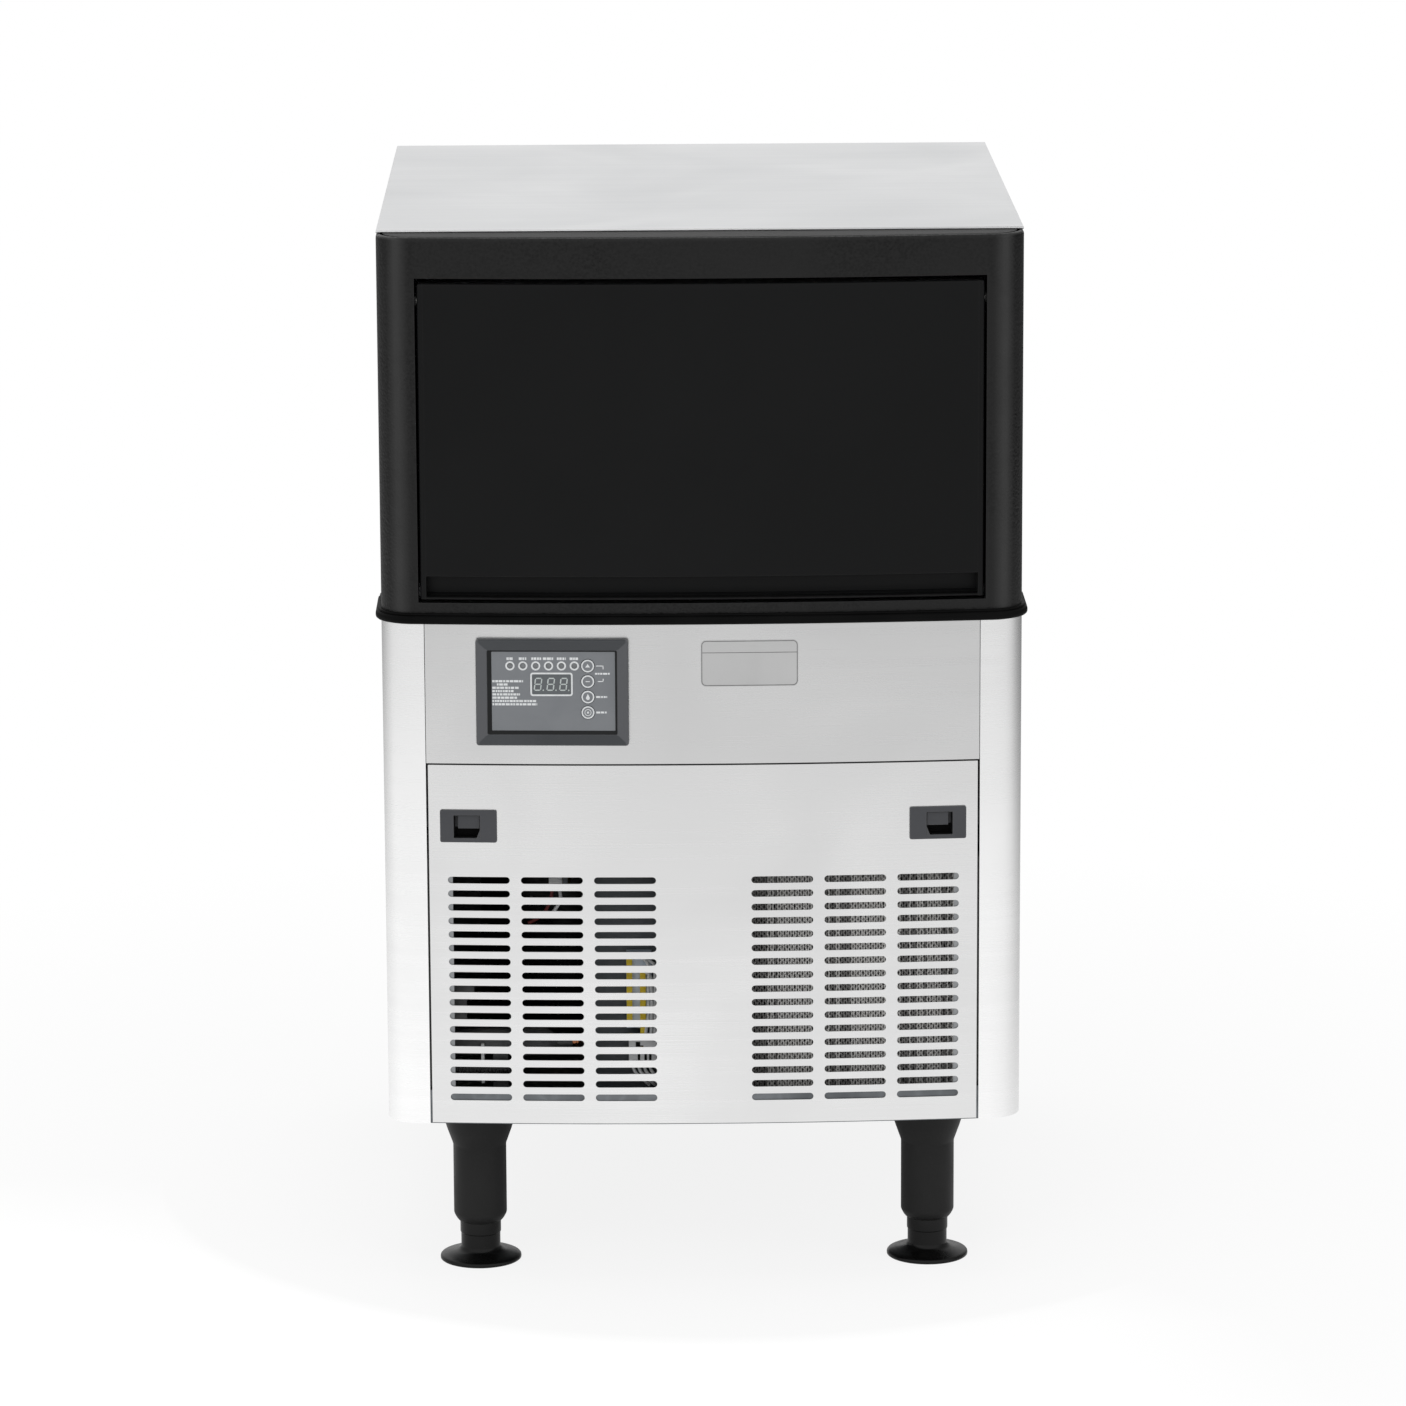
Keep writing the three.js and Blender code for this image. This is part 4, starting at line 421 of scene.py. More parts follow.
@dataclass(frozen=True)
class Finish:
    """A surface finish: two linear colours that it varies between, its gloss, texture and wear, and the light
    and highlights painted into its colour.
    """

    slot: str
    colour: Colour
    shade: Colour
    roughness: Flat
    name: str = ""
    metallic: float = 0.0
    specular: float = 0.5
    coat: float = 0.0
    texture: Texture | None = None
    blotch_scale: float = 9.0
    # Edge colour, from wear and a painted edge highlight together; then the colours of painted light: lighter
    # left and right faces, and a highlight down rounded corners.
    edge_wear_and_highlight: Colour | None = None
    flank_light: Colour | None = None
    corners: Colour | None = None
    dust: float = 0.0
    transmission: float = 0.0
    ior: float = 1.5

    def material(self) -> bpy.types.Material:
        """The finish's material, made at the first call."""
        title = self.name or self.slot
        if title in bpy.data.materials and bpy.data.materials[title].get("dressed"):
            return bpy.data.materials[title]
        material = bpy.data.materials.new(title)
        material["dressed"] = True
        material.use_nodes = True
        graph = Graph(material.node_tree)
        shader = material.node_tree.nodes["Principled BSDF"]
        place = graph.node("TexCoord").outputs["Object"]
        colour, rough, height = self._colour_and_gloss(graph, place)
        link = material.node_tree.links.new
        link(colour, shader.inputs["Base Color"])
        link(rough, shader.inputs["Roughness"])
        if height is not None:
            relief = {"Height": height, "Strength": 1.0, "Distance": self.texture.depth * MM}
            link(graph.node("Bump", relief).outputs[0], shader.inputs["Normal"])
        constants = {
            "Metallic": self.metallic,
            "Specular IOR Level": self.specular,
            "Coat Weight": self.coat,
            "Transmission Weight": self.transmission,
            "IOR": self.ior,
        }
        for label, value in constants.items():
            shader.inputs[label].default_value = value
        return material

    def _colour_and_gloss(
        self, graph: Graph, place: bpy.types.NodeSocket
    ) -> tuple[bpy.types.NodeSocket, bpy.types.NodeSocket, bpy.types.NodeSocket | None]:
        """Colour, roughness and bump height of the finish.

        Args:
            graph: The material's tree.
            place: The surface's place.

        Returns:
            The three sockets, the last one None on a smooth finish.
        """
        blotch = self._use(graph, blotch_group(), {"Vector": place, "Scale": self.blotch_scale})["Mask"]
        colour = self._blend(graph, blotch, (*self.colour, 1.0), (*self.shade, 1.0))
        rough = graph.mapped(blotch, (0.0, 1.0), self.roughness)
        height = None
        if self.texture:
            tree, value = {
                Grain.BRUSHED: (brushed_group, {"Stretch": self.texture.stretch}),
                Grain.PEBBLED: (pebbled_group, {"Scale": self.texture.scale}),
                Grain.CELLS: (cells_group, {"Scale": self.texture.scale}),
            }[self.texture.grain]
            pattern = self._use(graph, tree(), {"Vector": place, **value})
            height = pattern["Height"]
            share = graph.maths("MULTIPLY", pattern["Mask"], self.texture.colour)
            colour = self._blend(graph, share, colour, (*self.shade, 1.0))
            rough = graph.maths("ADD", rough, graph.mapped(pattern["Mask"], (0.0, 1.0), (-0.05, 0.05)))
        # Painted light: lighter left and right faces and a highlight down rounded corners; the edge colour is
        # partly wear and partly a painted edge highlight.
        for tint, tree, value in (
            (self.flank_light, flank_group, {}),
            (self.corners, corner_group, {"Vector": place}),
            (self.edge_wear_and_highlight, edge_group, {"Vector": place}),
        ):
            if tint:
                colour = self._blend(graph, self._use(graph, tree(), value)["Mask"], colour, (*tint, 1.0))
        if self.dust:
            settled = self._use(graph, dust_group(), {"Vector": place})["Mask"]
            lying = graph.maths("MULTIPLY", settled, self.dust)
            colour = self._blend(graph, lying, colour, DUST_COLOUR)
            rough = graph.maths("ADD", rough, graph.maths("MULTIPLY", lying, 0.3))
        return colour, rough, height

    @staticmethod
    def _use(graph: Graph, tree: bpy.types.NodeTree, values: dict) -> dict[str, bpy.types.NodeSocket]:
        """Places a group with its values and returns its outputs by name."""
        return {s.name: s for s in graph.node("Group", values, node_tree=tree).outputs}

    @staticmethod
    def _blend(graph: Graph, share: object, first: object, second: object) -> bpy.types.NodeSocket:
        """Colour between two colours."""
        values = {"Factor": share, 6: first, 7: second}
        return graph.node("Mix", values, data_type="RGBA").outputs[2]


def pebbled(scale: float, depth: float, colour: float = 0.0) -> Texture:
    """The fine rounded grain of a mould, a paint or a casting."""
    return Texture(Grain.PEBBLED, scale, depth, colour)


def grey(level: float, warmth: float = 0.0) -> Colour:
    """A near-neutral colour, with warmth added to red and taken from blue."""
    return (level * (1 + warmth), level, level * (1 - warmth))


STEEL = Finish(
    "brushed_steel", grey(0.97), grey(0.93), (0.24, 0.30), metallic=1.0, blotch_scale=5.0,
    edge_wear_and_highlight=grey(0.99), texture=Texture(Grain.BRUSHED, depth=0.002, colour=0.14),
)
PANEL_STEEL = Finish(
    "brushed_steel", grey(0.805), grey(0.75), (0.26, 0.32), name="panel_steel", metallic=1.0,
    blotch_scale=5.0, texture=Texture(Grain.BRUSHED, depth=0.0035, colour=0.20),
)
STRIP_STEEL = Finish(
    "brushed_steel", grey(0.745), grey(0.665), (0.26, 0.34), name="strip_steel", metallic=1.0,
    blotch_scale=5.0, texture=Texture(Grain.BRUSHED, depth=0.005, colour=0.26),
)
# Dark copy of the brushed steel for the seat behind the service panel's edges: painted shade in the gap and
# at the slot ends.
SEAT_SHADE_STEEL = Finish(
    "brushed_steel", grey(0.32, -0.03), grey(0.27, -0.03), (0.34, 0.42), name="seat_steel_painted_shade", metallic=1.0,
    blotch_scale=12.0, texture=Texture(Grain.BRUSHED, depth=0.010, colour=0.30),
)
TOP_STEEL = Finish(
    "top_steel", grey(0.79, -0.006), grey(0.72, -0.010), (0.32, 0.42), metallic=1.0, blotch_scale=4.0,
    edge_wear_and_highlight=grey(0.83), texture=Texture(Grain.BRUSHED, depth=0.012, colour=0.3, stretch=(4.0, 900.0, 4.0)),
)
GALVANISED = Finish(
    "galvanised", grey(0.44, -0.03), grey(0.30, -0.03), (0.38, 0.55), metallic=1.0, blotch_scale=30.0,
    dust=0.25, texture=Texture(Grain.CELLS, 70.0, 0.02, 0.35),
)
# Darker, bluer copy of the galvanised finish for the base pan: painted shade inside the cabinet.
PAN_SHADE = Finish(
    "galvanised", grey(0.20, -0.06), grey(0.13, -0.06), (0.34, 0.50), name="pan_galvanised_painted_shade", metallic=0.8,
    blotch_scale=14.0, dust=0.1, texture=Texture(Grain.CELLS, 70.0, 0.02, 0.35),
)
# The frame's rounded corners carry a painted highlight, and its edges a painted edge highlight along with
# wear.
FASCIA = Finish(
    "fascia_plastic", grey(0.0010), grey(0.0085), (0.32, 0.40), specular=0.25, edge_wear_and_highlight=grey(0.020),
    corners=grey(0.036), texture=pebbled(430.0, 0.30, 1.0),
)
# Lighter copy of the frame's plastic for its top ledge: painted light from above.
LEDGE_LIGHT = Finish(
    "fascia_plastic", grey(0.052), grey(0.072), (0.66, 0.76), name="ledge_painted_light", specular=0.12,
    texture=pebbled(430.0, 0.20, 0.8),
)
BEAD = Finish(
    "bead_plastic", grey(0.0030), grey(0.005), (0.48, 0.58), specular=0.12, ior=1.3, blotch_scale=20.0,
)
DOOR = Finish(
    "door_plastic", grey(0.0042, -0.04), grey(0.0056, -0.04), (0.38, 0.48), specular=0.14, blotch_scale=6.0,
    edge_wear_and_highlight=grey(0.018), texture=pebbled(1500.0, 0.02, 0.3),
)
LEG = Finish(
    "leg_plastic", grey(0.016), grey(0.020), (0.40, 0.50), specular=0.15, blotch_scale=25.0,
    edge_wear_and_highlight=grey(0.03), dust=0.05, texture=pebbled(1300.0, 0.04),
)
FOOT = Finish(
    "foot_plastic", grey(0.0020), grey(0.0032), (0.22, 0.32), specular=0.24, blotch_scale=30.0, dust=0.01,
)
# The bezel's left and right faces are painted lighter, as if lit from the sides, and its edges carry a
# painted highlight along with wear.
BEZEL = Finish(
    "bezel_plastic", (0.053, 0.057, 0.063), (0.044, 0.048, 0.053), (0.38, 0.48), specular=0.4,
    edge_wear_and_highlight=grey(0.11), flank_light=(0.098, 0.101, 0.109), texture=pebbled(1600.0, 0.03, 0.3),
)
MEMBRANE = Finish(
    "membrane", (0.232, 0.243, 0.258), (0.208, 0.219, 0.234), (0.32, 0.42), specular=0.4, blotch_scale=30.0,
    texture=pebbled(3200.0, 0.012, 0.35),
)
PRINT = Finish(
    "lamp_plastic", (0.86, 0.88, 0.89), (0.76, 0.78, 0.79), (0.40, 0.50), name="white_print",
    blotch_scale=200.0,
)
LAMP = Finish(
    "lamp_plastic", (0.16, 0.17, 0.175), (0.22, 0.23, 0.24), (0.15, 0.22), specular=0.6, blotch_scale=300.0,
)
DISPLAY = Finish(
    "display_window", (0.100, 0.112, 0.120), (0.088, 0.100, 0.108), (0.06, 0.14), specular=0.5, coat=0.5,
    blotch_scale=60.0,
)
DIGIT = Finish(
    "lamp_plastic", (0.60, 0.65, 0.64), (0.52, 0.57, 0.56), (0.25, 0.35), name="display_digits",
    blotch_scale=250.0,
)
LATCH = Finish(
    "latch_plastic", (0.062, 0.064, 0.071), (0.054, 0.056, 0.062), (0.38, 0.48), specular=0.4,
    edge_wear_and_highlight=grey(0.12), texture=pebbled(1500.0, 0.03, 0.3),
)
THUMB = Finish(
    "thumb_plastic", (0.054, 0.056, 0.062), (0.046, 0.048, 0.053), (0.38, 0.48), specular=0.4,
    edge_wear_and_highlight=grey(0.12), texture=pebbled(1500.0, 0.03),
)
# Near-black plastic put inside the latch pockets and the plug's socket holes: painted shade in these hollows.
POCKET_SHADE = Finish(
    "latch_plastic", grey(0.004), grey(0.006), (0.60, 0.70), name="latch_pocket_painted_shade", specular=0.1,
    texture=pebbled(1500.0, 0.03),
)
# Near-black plastic for the rim inside the bezel: painted shade on its inner wall.
INNER_RIM_SHADE = Finish(
    "bezel_plastic", grey(0.010, -0.05), grey(0.014, -0.05), (0.40, 0.50), name="bezel_rim_painted_shade",
    specular=0.2, texture=pebbled(1600.0, 0.03),
)
BOARD = Finish(
    "circuit_board", (0.024, 0.130, 0.055), (0.018, 0.095, 0.040), (0.30, 0.45),
    texture=Texture(Grain.CELLS, 260.0, 0.04, 0.4),
)
FOIL = Finish(
    "label_foil", grey(0.60), grey(0.545), (0.36, 0.44), metallic=0.85, texture=pebbled(2400.0, 0.008, 0.3),
)
FOIL_PRINT = Finish(
    "label_foil", grey(0.16), grey(0.20), (0.45, 0.55), name="label_print", blotch_scale=150.0,
)
FOAM = Finish(
    "foam", (0.74, 0.66, 0.42), (0.62, 0.53, 0.31), (0.80, 0.92), specular=0.2, blotch_scale=14.0,
    texture=Texture(Grain.CELLS, 520.0, 0.25, 0.5),
)
LINER = Finish(
    "liner_plastic", (0.80, 0.82, 0.84), (0.74, 0.76, 0.79), (0.22, 0.34), coat=0.15, blotch_scale=7.0,
    texture=pebbled(700.0, 0.02),
)
NICKEL = Finish(
    "nickel", (0.60, 0.60, 0.57), (0.48, 0.48, 0.45), (0.20, 0.34), metallic=1.0, blotch_scale=22.0,
    edge_wear_and_highlight=grey(0.8), texture=pebbled(900.0, 0.02),
)
WHITE = Finish(
    "white_plastic", (0.80, 0.81, 0.82), (0.72, 0.73, 0.74), (0.34, 0.46), blotch_scale=20.0, dust=0.1,
    texture=pebbled(1100.0, 0.03),
)
CLEAR = Finish(
    "clear_plastic", (0.82, 0.88, 0.92), (0.76, 0.83, 0.88), (0.06, 0.16), transmission=0.8, ior=1.49,
    blotch_scale=16.0,
)
COPPER = Finish(
    "copper", (0.62, 0.25, 0.12), (0.36, 0.13, 0.06), (0.22, 0.42), metallic=1.0, blotch_scale=30.0,
    dust=0.15, texture=pebbled(600.0, 0.03),
)
BRASS = Finish(
    "copper", (0.56, 0.40, 0.16), (0.42, 0.28, 0.10), (0.24, 0.36), name="brass", metallic=1.0,
    blotch_scale=40.0, edge_wear_and_highlight=(0.75, 0.58, 0.28),
)
FINS = Finish(
    "fins", (0.97, 0.96, 0.94), (0.76, 0.75, 0.73), (0.45, 0.60), blotch_scale=90.0,
    texture=pebbled(700.0, 0.10, 0.9),
)
# Darker copy of the fin finish for bands of fins and the tubes behind them: painted shade.
SHADED_FINS = Finish(
    "fins", (0.46, 0.45, 0.44), (0.26, 0.255, 0.25), (0.45, 0.60), name="shaded_fins", blotch_scale=90.0,
    texture=pebbled(700.0, 0.10, 0.9),
)
DRIER = Finish(
    "grey_paint", (0.085, 0.088, 0.090), (0.050, 0.052, 0.054), (0.34, 0.46), name="dark_grey_drier",
    blotch_scale=50.0, dust=0.2, texture=pebbled(500.0, 0.05, 0.4),
)
BLACK_PAINT = Finish(
    "black_paint", grey(0.010), grey(0.014), (0.24, 0.38), specular=0.5, blotch_scale=16.0,
    edge_wear_and_highlight=grey(0.03), dust=0.25, texture=pebbled(260.0, 0.05),
)
RUBBER = Finish(
    "black_paint", grey(0.018), grey(0.026), (0.60, 0.75), name="black_rubber", specular=0.3,
    blotch_scale=40.0, dust=0.3, texture=pebbled(900.0, 0.05),
)
GREY_PAINT = Finish(
    "grey_paint", (0.075, 0.084, 0.092), (0.060, 0.068, 0.075), (0.36, 0.48), blotch_scale=18.0,
    edge_wear_and_highlight=grey(0.15), dust=0.2, texture=pebbled(420.0, 0.05, 0.3),
)
FAN_PLASTIC = Finish(
    "fan_plastic", grey(0.020), grey(0.028), (0.38, 0.50), specular=0.4, blotch_scale=26.0,
    edge_wear_and_highlight=grey(0.05), dust=0.2, texture=pebbled(900.0, 0.03),
)
YELLOW = Finish(
    "yellow_plastic", (0.86, 0.64, 0.020), (0.74, 0.52, 0.016), (0.34, 0.44), blotch_scale=50.0,
    texture=pebbled(1200.0, 0.03),
)
PALE_BLUE = Finish(
    "yellow_plastic", (0.66, 0.73, 0.82), (0.56, 0.63, 0.72), (0.30, 0.42), name="terminal_body",
    blotch_scale=60.0, texture=pebbled(1200.0, 0.03),
)
WHITE_WIRE = Finish(
    "white_plastic", (0.76, 0.77, 0.78), (0.66, 0.67, 0.68), (0.40, 0.52), name="white_wire",
    blotch_scale=70.0,
)
RED_WIRE = Finish(
    "fan_plastic", (0.16, 0.016, 0.014), (0.11, 0.012, 0.011), (0.36, 0.48), name="red_wire",
    blotch_scale=70.0,
)
BLUE_WIRE = Finish(
    "fan_plastic", (0.022, 0.075, 0.30), (0.018, 0.055, 0.22), (0.36, 0.48), name="blue_wire",
    blotch_scale=70.0,
)


class Form:
    """Collects the faces of one piece in millimetres, and makes an object of them."""

    def __init__(self) -> None:
        """Starts with no faces."""
        self.points: list[Vector] = []
        self.faces: list[tuple[int, ...]] = []

    def add(self, points: Sequence[Point | Vector], faces: Sequence[Sequence[int]]) -> "Form":
        """Takes up points and the faces between them."""
        base = len(self.points)
        self.points += [Vector(p) for p in points]
        self.faces += [tuple(base + i for i in face) for face in faces]
        return self

    def loft(self, rings: Sequence[Sequence[Point | Vector]], joined: bool = False) -> "Form":
        """Skin over a row of closed rings.

        Args:
            rings: Rings with the same number of points.
            joined: Whether the last ring meets the first. Otherwise both ends are capped.

        Returns:
            This form.
        """
        count = len(rings[0])
        spans = len(rings) if joined else len(rings) - 1
        faces = []
        for i in range(spans):
            a, b = i * count, ((i + 1) % len(rings)) * count
            for k in range(count):
                n = (k + 1) % count
                faces.append((a + k, a + n, b + n, b + k))
        if not joined:
            faces.append(tuple(range(count)))
            faces.append(tuple((len(rings) - 1) * count + k for k in range(count)))
        return self.add([p for ring in rings for p in ring], faces)

    def box(self, x: Flat, y: Flat, z: Flat) -> "Form":
        """Block between the given bounds."""
        return self.prism(rectangle(x, y), z)

    def prism(self, outline: Sequence[Flat], z: Flat) -> "Form":
        """Plan outline raised from one height to another."""
        return self.loft([[(a, b, height) for a, b in outline] for height in z])

    def lathe(
        self, profile: Sequence[Flat], centre: Point, axis: Axis = Axis.Z, sides: int = 48,
        closed: bool = False,
    ) -> "Form":
        """Form turned about an axis.

        Args:
            profile: Radius and place along the axis, one after the other.
            centre: A point on the axis.
            axis: The axis.
            sides: Straight pieces round the form.
            closed: Whether the profile closes on itself, as round a bore.

        Returns:
            This form.
        """
        first, second = {Axis.X: (1, 2), Axis.Y: (2, 0), Axis.Z: (0, 1)}[axis]
        rings = []
        for radius, along in profile:
            ring = []
            for k in range(sides):
                point = list(centre)
                angle = 2 * math.pi * k / sides
                point[first] += max(radius, 0.01) * math.cos(angle)
                point[second] += max(radius, 0.01) * math.sin(angle)
                point[axis.value] += along
                ring.append(tuple(point))
            rings.append(ring)
        return self.loft(rings, joined=closed)

    def rod(self, axis: Axis, radius: float, span: Flat, centre: Point, sides: int = 32) -> "Form":
        """Round bar along an axis, with its edges just broken."""
        soft = min(0.3, radius / 4)
        low, high = sorted(span)
        profile = [(radius - soft, low), (radius, low + soft), (radius, high - soft), (radius - soft, high)]
        return self.lathe(profile, centre, axis, sides)

    def tube(self, line: Sequence[Vector], radius: float, sides: int = 14) -> "Form":
        """Round tube along a line, with flat ends."""
        rings = []
        side = Vector((0.31, 0.17, 0.93))
        for i, point in enumerate(line):
            ahead = (line[min(i + 1, len(line) - 1)] - line[max(i - 1, 0)]).normalized()
            side = (side - ahead * side.dot(ahead)).normalized()
            other = ahead.cross(side)
            angles = [2 * math.pi * k / sides for k in range(sides)]
            rings.append([point + radius * (math.cos(a) * side + math.sin(a) * other) for a in angles])
        return self.loft(rings)

    def wrap(self, profile: Sequence[Flat], back: float, stations: Sequence[float]) -> "Form":
        """Closed section swept round the cabinet's front.

        Args:
            profile: Inset and height of the section's points.
            back: Y where both side runs end.
            stations: X of the points on the bowed front.

        Returns:
            This form.
        """
        lines = [wrap_line(inset, back, stations) for inset, _ in profile]
        heights = [height for _, height in profile]
        return self.loft([[(*p, height) for p, height in zip(points, heights)] for points in zip(*lines)])

    def plate(
        self,
        outline: Sequence[Flat],
        holes: Sequence[Sequence[Flat]],
        thickness: float,
        inset: float = 0.0,
        step: float = 8.0,
    ) -> "Form":
        """Sheet with holes that follows the bowed front.

        Args:
            outline: X and Z of its edge.
            holes: X and Z of each hole's edge.
            thickness: Thickness, to the back.
            inset: How far its face lies behind the bowed surface.
            step: Largest width of a flat facet.

        Returns:
            This form.
        """
        loops = [[Vector((x, z, 0.0)) for x, z in loop] for loop in (outline, *holes)]
        corners = [p for loop in loops for p in loop]
        work = bmesh.new()
        verts = [work.verts.new((p.x, 0.0, p.y)) for p in corners]
        for triangle in tessellate_polygon(loops):
            work.faces.new([verts[i] for i in triangle])
        low, high = min(x for x, _ in outline), max(x for x, _ in outline)
        for x in spread(low, high, max(2, math.ceil((high - low) / step) + 1))[1:-1]:
            geom = [*work.verts, *work.edges, *work.faces]
            bmesh.ops.bisect_plane(work, geom=geom, plane_co=(x, 0, 0), plane_no=(1, 0, 0), dist=1e-5)
        work.verts.index_update()
        front = [Vector((v.co.x, bow_y(v.co.x, inset), v.co.z)) for v in work.verts]
        back = [p + Vector((0.0, thickness, 0.0)) for p in front]
        count = len(front)
        faces = [tuple(v.index for v in face.verts) for face in work.faces]
        faces += [tuple(count + i for i in reversed(face)) for face in faces]
        for edge in work.edges:
            if len(edge.link_faces) == 1:
                a, b = (v.index for v in edge.verts)
                faces.append((a, b, count + b, count + a))
        work.free()
        return self.add([*front, *back], faces)

    def turned(self, matrix: Matrix) -> "Form":
        """Moves all points by a matrix in millimetres."""
        self.points = [matrix @ p for p in self.points]
        return self

    def build(
        self, name: str, finish: Finish, body: str = "cabinet", replaces: Sequence[str] = (),
        bevel: float = 0.0, smooth: float = 38.0,
    ) -> bpy.types.Object:
        """Makes the object, dresses it and sets it riding.

        Args:
            name: The piece's name.
            finish: Its finish.
            body: The body it moves with.
            replaces: Solids that it stands for.
            bevel: Width of the rounding of its sharp edges.
            smooth: Angle in degrees over which an edge stays sharp.

        Returns:
            The object.
        """
        mesh = bpy.data.meshes.new(name)
        mesh.from_pydata([p * MM for p in self.points], [], self.faces)
        work = bmesh.new()
        work.from_mesh(mesh)
        bmesh.ops.recalc_face_normals(work, faces=work.faces)
        if bevel:
            limit = math.radians(smooth)
            edges = [e for e in work.edges if e.is_manifold and e.calc_face_angle(0.0) > limit]
            bmesh.ops.bevel(
                work, geom=edges, offset=bevel * MM, segments=2, profile=0.5, affect="EDGES",
                clamp_overlap=True,
            )
        work.to_mesh(mesh)
        work.free()
        mesh.shade_smooth()
        mesh.set_sharp_from_angle(angle=math.radians(smooth))
        mesh.materials.append(finish.material())
        piece = bpy.data.objects.new(name, mesh)
        bpy.context.scene.collection.objects.link(piece)
        keep = piece.modifiers.new("even_normals", "WEIGHTED_NORMAL")
        keep.keep_sharp = True
        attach(piece, body)
        if replaces:
            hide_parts(*replaces)
        LOG.info("%s rides on %s", name, body)
        return piece


def dress(finish: Finish, *nodes: str) -> None:
    """Gives solids that keep their own shape a finish.

    Args:
        finish: The finish.
        *nodes: Names of the solids.
    """
    for node in nodes:
        solid = frame["nodes"][node]
        solid.data.materials.clear()
        solid.data.materials.append(finish.material())
        LOG.info("%s is dressed", node)


@dataclass
class CabinetShell:
    """Steel top, side panels, rear panel, base pan and bowed front sheets."""

    bottom: float = 130.0
    strip_bottom: float = 421.5
    strip_top: float = 532.0
    panel_top: float = 420.2
    frame_top: float = 834.0
    height: float = 836.0
    post_x: float = 216.3
    seat_width: float = 20.0
    seat_span: Flat = (160.0, 344.2)
    slot_size: Flat = (48.5, 5.4)
    slot_pitch: Flat = (57.2, 11.0)
    slot_first: Flat = (61.5, 328.0)
    slot_rows: int = 17
    slot_columns: int = 3
    skirt: Flat = (820.0, 834.2)
    side_screws: tuple[float, Flat] = (240.0, (150.0, 815.0))
    end_screws: Flat = (140.0, 826.0)
    strip_hole: Flat = (56.4, 39.2)
    latch_hole: tuple[Flat, Flat] = ((-18.4, 14.0), (-12.1, 11.0))

    def build(self) -> None:
        """Makes every sheet."""
        self.top()
        for side in (-1, 1):
            self.side(side)
        self.strip()
        self.service_panel()
        self.rear()
        # The base pan takes the darker galvanised copy: painted shade.
        dress(PAN_SHADE, "base_pan")

    def top(self) -> None:
        """Steel top with a softly folded edge and a turned-down skirt inside the panels."""
        rings = []
        for inset, z in ((0.5, 834.0), (0.0, 834.5), (0.0, 835.2), (0.25, 835.75), (0.8, self.height)):
            x = SIDE_X - inset
            rings.append([(*p, z) for p in rectangle((-x, x), (FRONT + inset, REAR - inset))])
        form = Form().loft(rings)
        inner, back = SIDE_X - SHEET - 0.3, REAR - 1.4
        for side in (-1, 1):
            form.box(on_side(side, inner, inner - SHEET), (FRONT + 60, back), self.skirt)
        form.box((-inner, inner), (REAR - 2.3, back), self.skirt)
        form.build("steel_top", TOP_STEEL, replaces=["top_panel"], smooth=50.0)

    def side(self, side: int) -> None:
        """Side panel that wraps the front corner, with its seam return and the service panel's seat."""
        form = Form()

        def line(inset: float) -> list[Flat]:
            """Plan line from the front seam round the corner to the rear."""
            front = [(side * x, bow_y(x, inset)) for x in (self.post_x, 219.0)]
            return [*front, *reversed(corner_arc(side, inset)), (side * (SIDE_X - inset), REAR)]

        low, high = self.bottom, self.strip_top
        form.loft([
            [(*a, low), (*a, high), (*b, high), (*b, low)] for a, b in zip(line(0.0), line(SHEET))
        ])
        form.box(on_side(side, SIDE_X, SIDE_X - SHEET), (FRONT + 55.5, REAR), (526.0, self.frame_top))
        seam = (bow_y(self.post_x, 0.5), bow_y(self.post_x, 5.0))
        form.box(on_side(side, self.post_x, self.post_x + SHEET), seam, (low + 30, high))
        hand = "left" if side < 0 else "right"
        form.build(f"steel_side_{hand}", STEEL, replaces=[f"side_panel_{hand}"])
        # The seat and the rubber strip in the gap are dark to paint the gap's shade; the strip also stands
        # for a real seal.
        seat = self.seat(side, (self.post_x - self.seat_width, self.post_x + 0.5), (1.3, 2.3))
        seat.build(f"panel_seat_{hand}", SEAT_SHADE_STEEL)
        seal = self.seat(side, (self.post_x - 6.0, self.post_x), (1.05, 1.25))
        seal.build(f"gap_shade_gasket_{hand}", RUBBER)

    def seat(self, side: int, x: Flat, inset: Flat) -> Form:
        """Upright strip behind the edge of the service panel.

        Args:
            side: -1 for the left edge, 1 for the right one.
            x: Distance of its edges from the middle.
            inset: How far its faces lie behind the bowed surface.

        Returns:
            The form.
        """
        xs = [side * a for a in spread(*x, 4)]
        return Form().prism(bow_band(xs, *inset), self.seat_span)

    def slot(self, x: float, z: float, steps: int = 7) -> list[Flat]:
        """Outline of a slot with round ends about its centre."""
        radius = self.slot_size[1] / 2
        run = self.slot_size[0] / 2 - radius
        outline = []
        for side in (1, -1):
            for i in range(steps + 1):
                angle = -side * math.pi / 2 + math.pi * i / steps
                outline.append((x + side * run + radius * math.cos(angle), z + radius * math.sin(angle)))
        return outline

    def strip(self) -> None:
        """Bowed strip that carries the control panel, with a turned-in lower edge and a seal under it."""
        half = self.post_x - 0.5
        x, _, z = ControlPanel.centre
        hx, hz = self.strip_hole
        hole = rectangle((x - hx, x + hx), (z - hz, z + hz))
        z0 = self.strip_bottom
        form = Form().plate(rectangle((-half, half), (z0, self.strip_top)), [hole], SHEET)
        xs = spread(-half, half, 41)
        form.prism(bow_band(xs, 0.5, 10.0), (z0, z0 + SHEET))
        form.build("front_strip", STRIP_STEEL, replaces=["control_strip"])
        Form().prism(bow_band(xs[1:-1], 1.3, 2.6), (z0 - 7.0, z0)).build("seam_gasket", RUBBER)

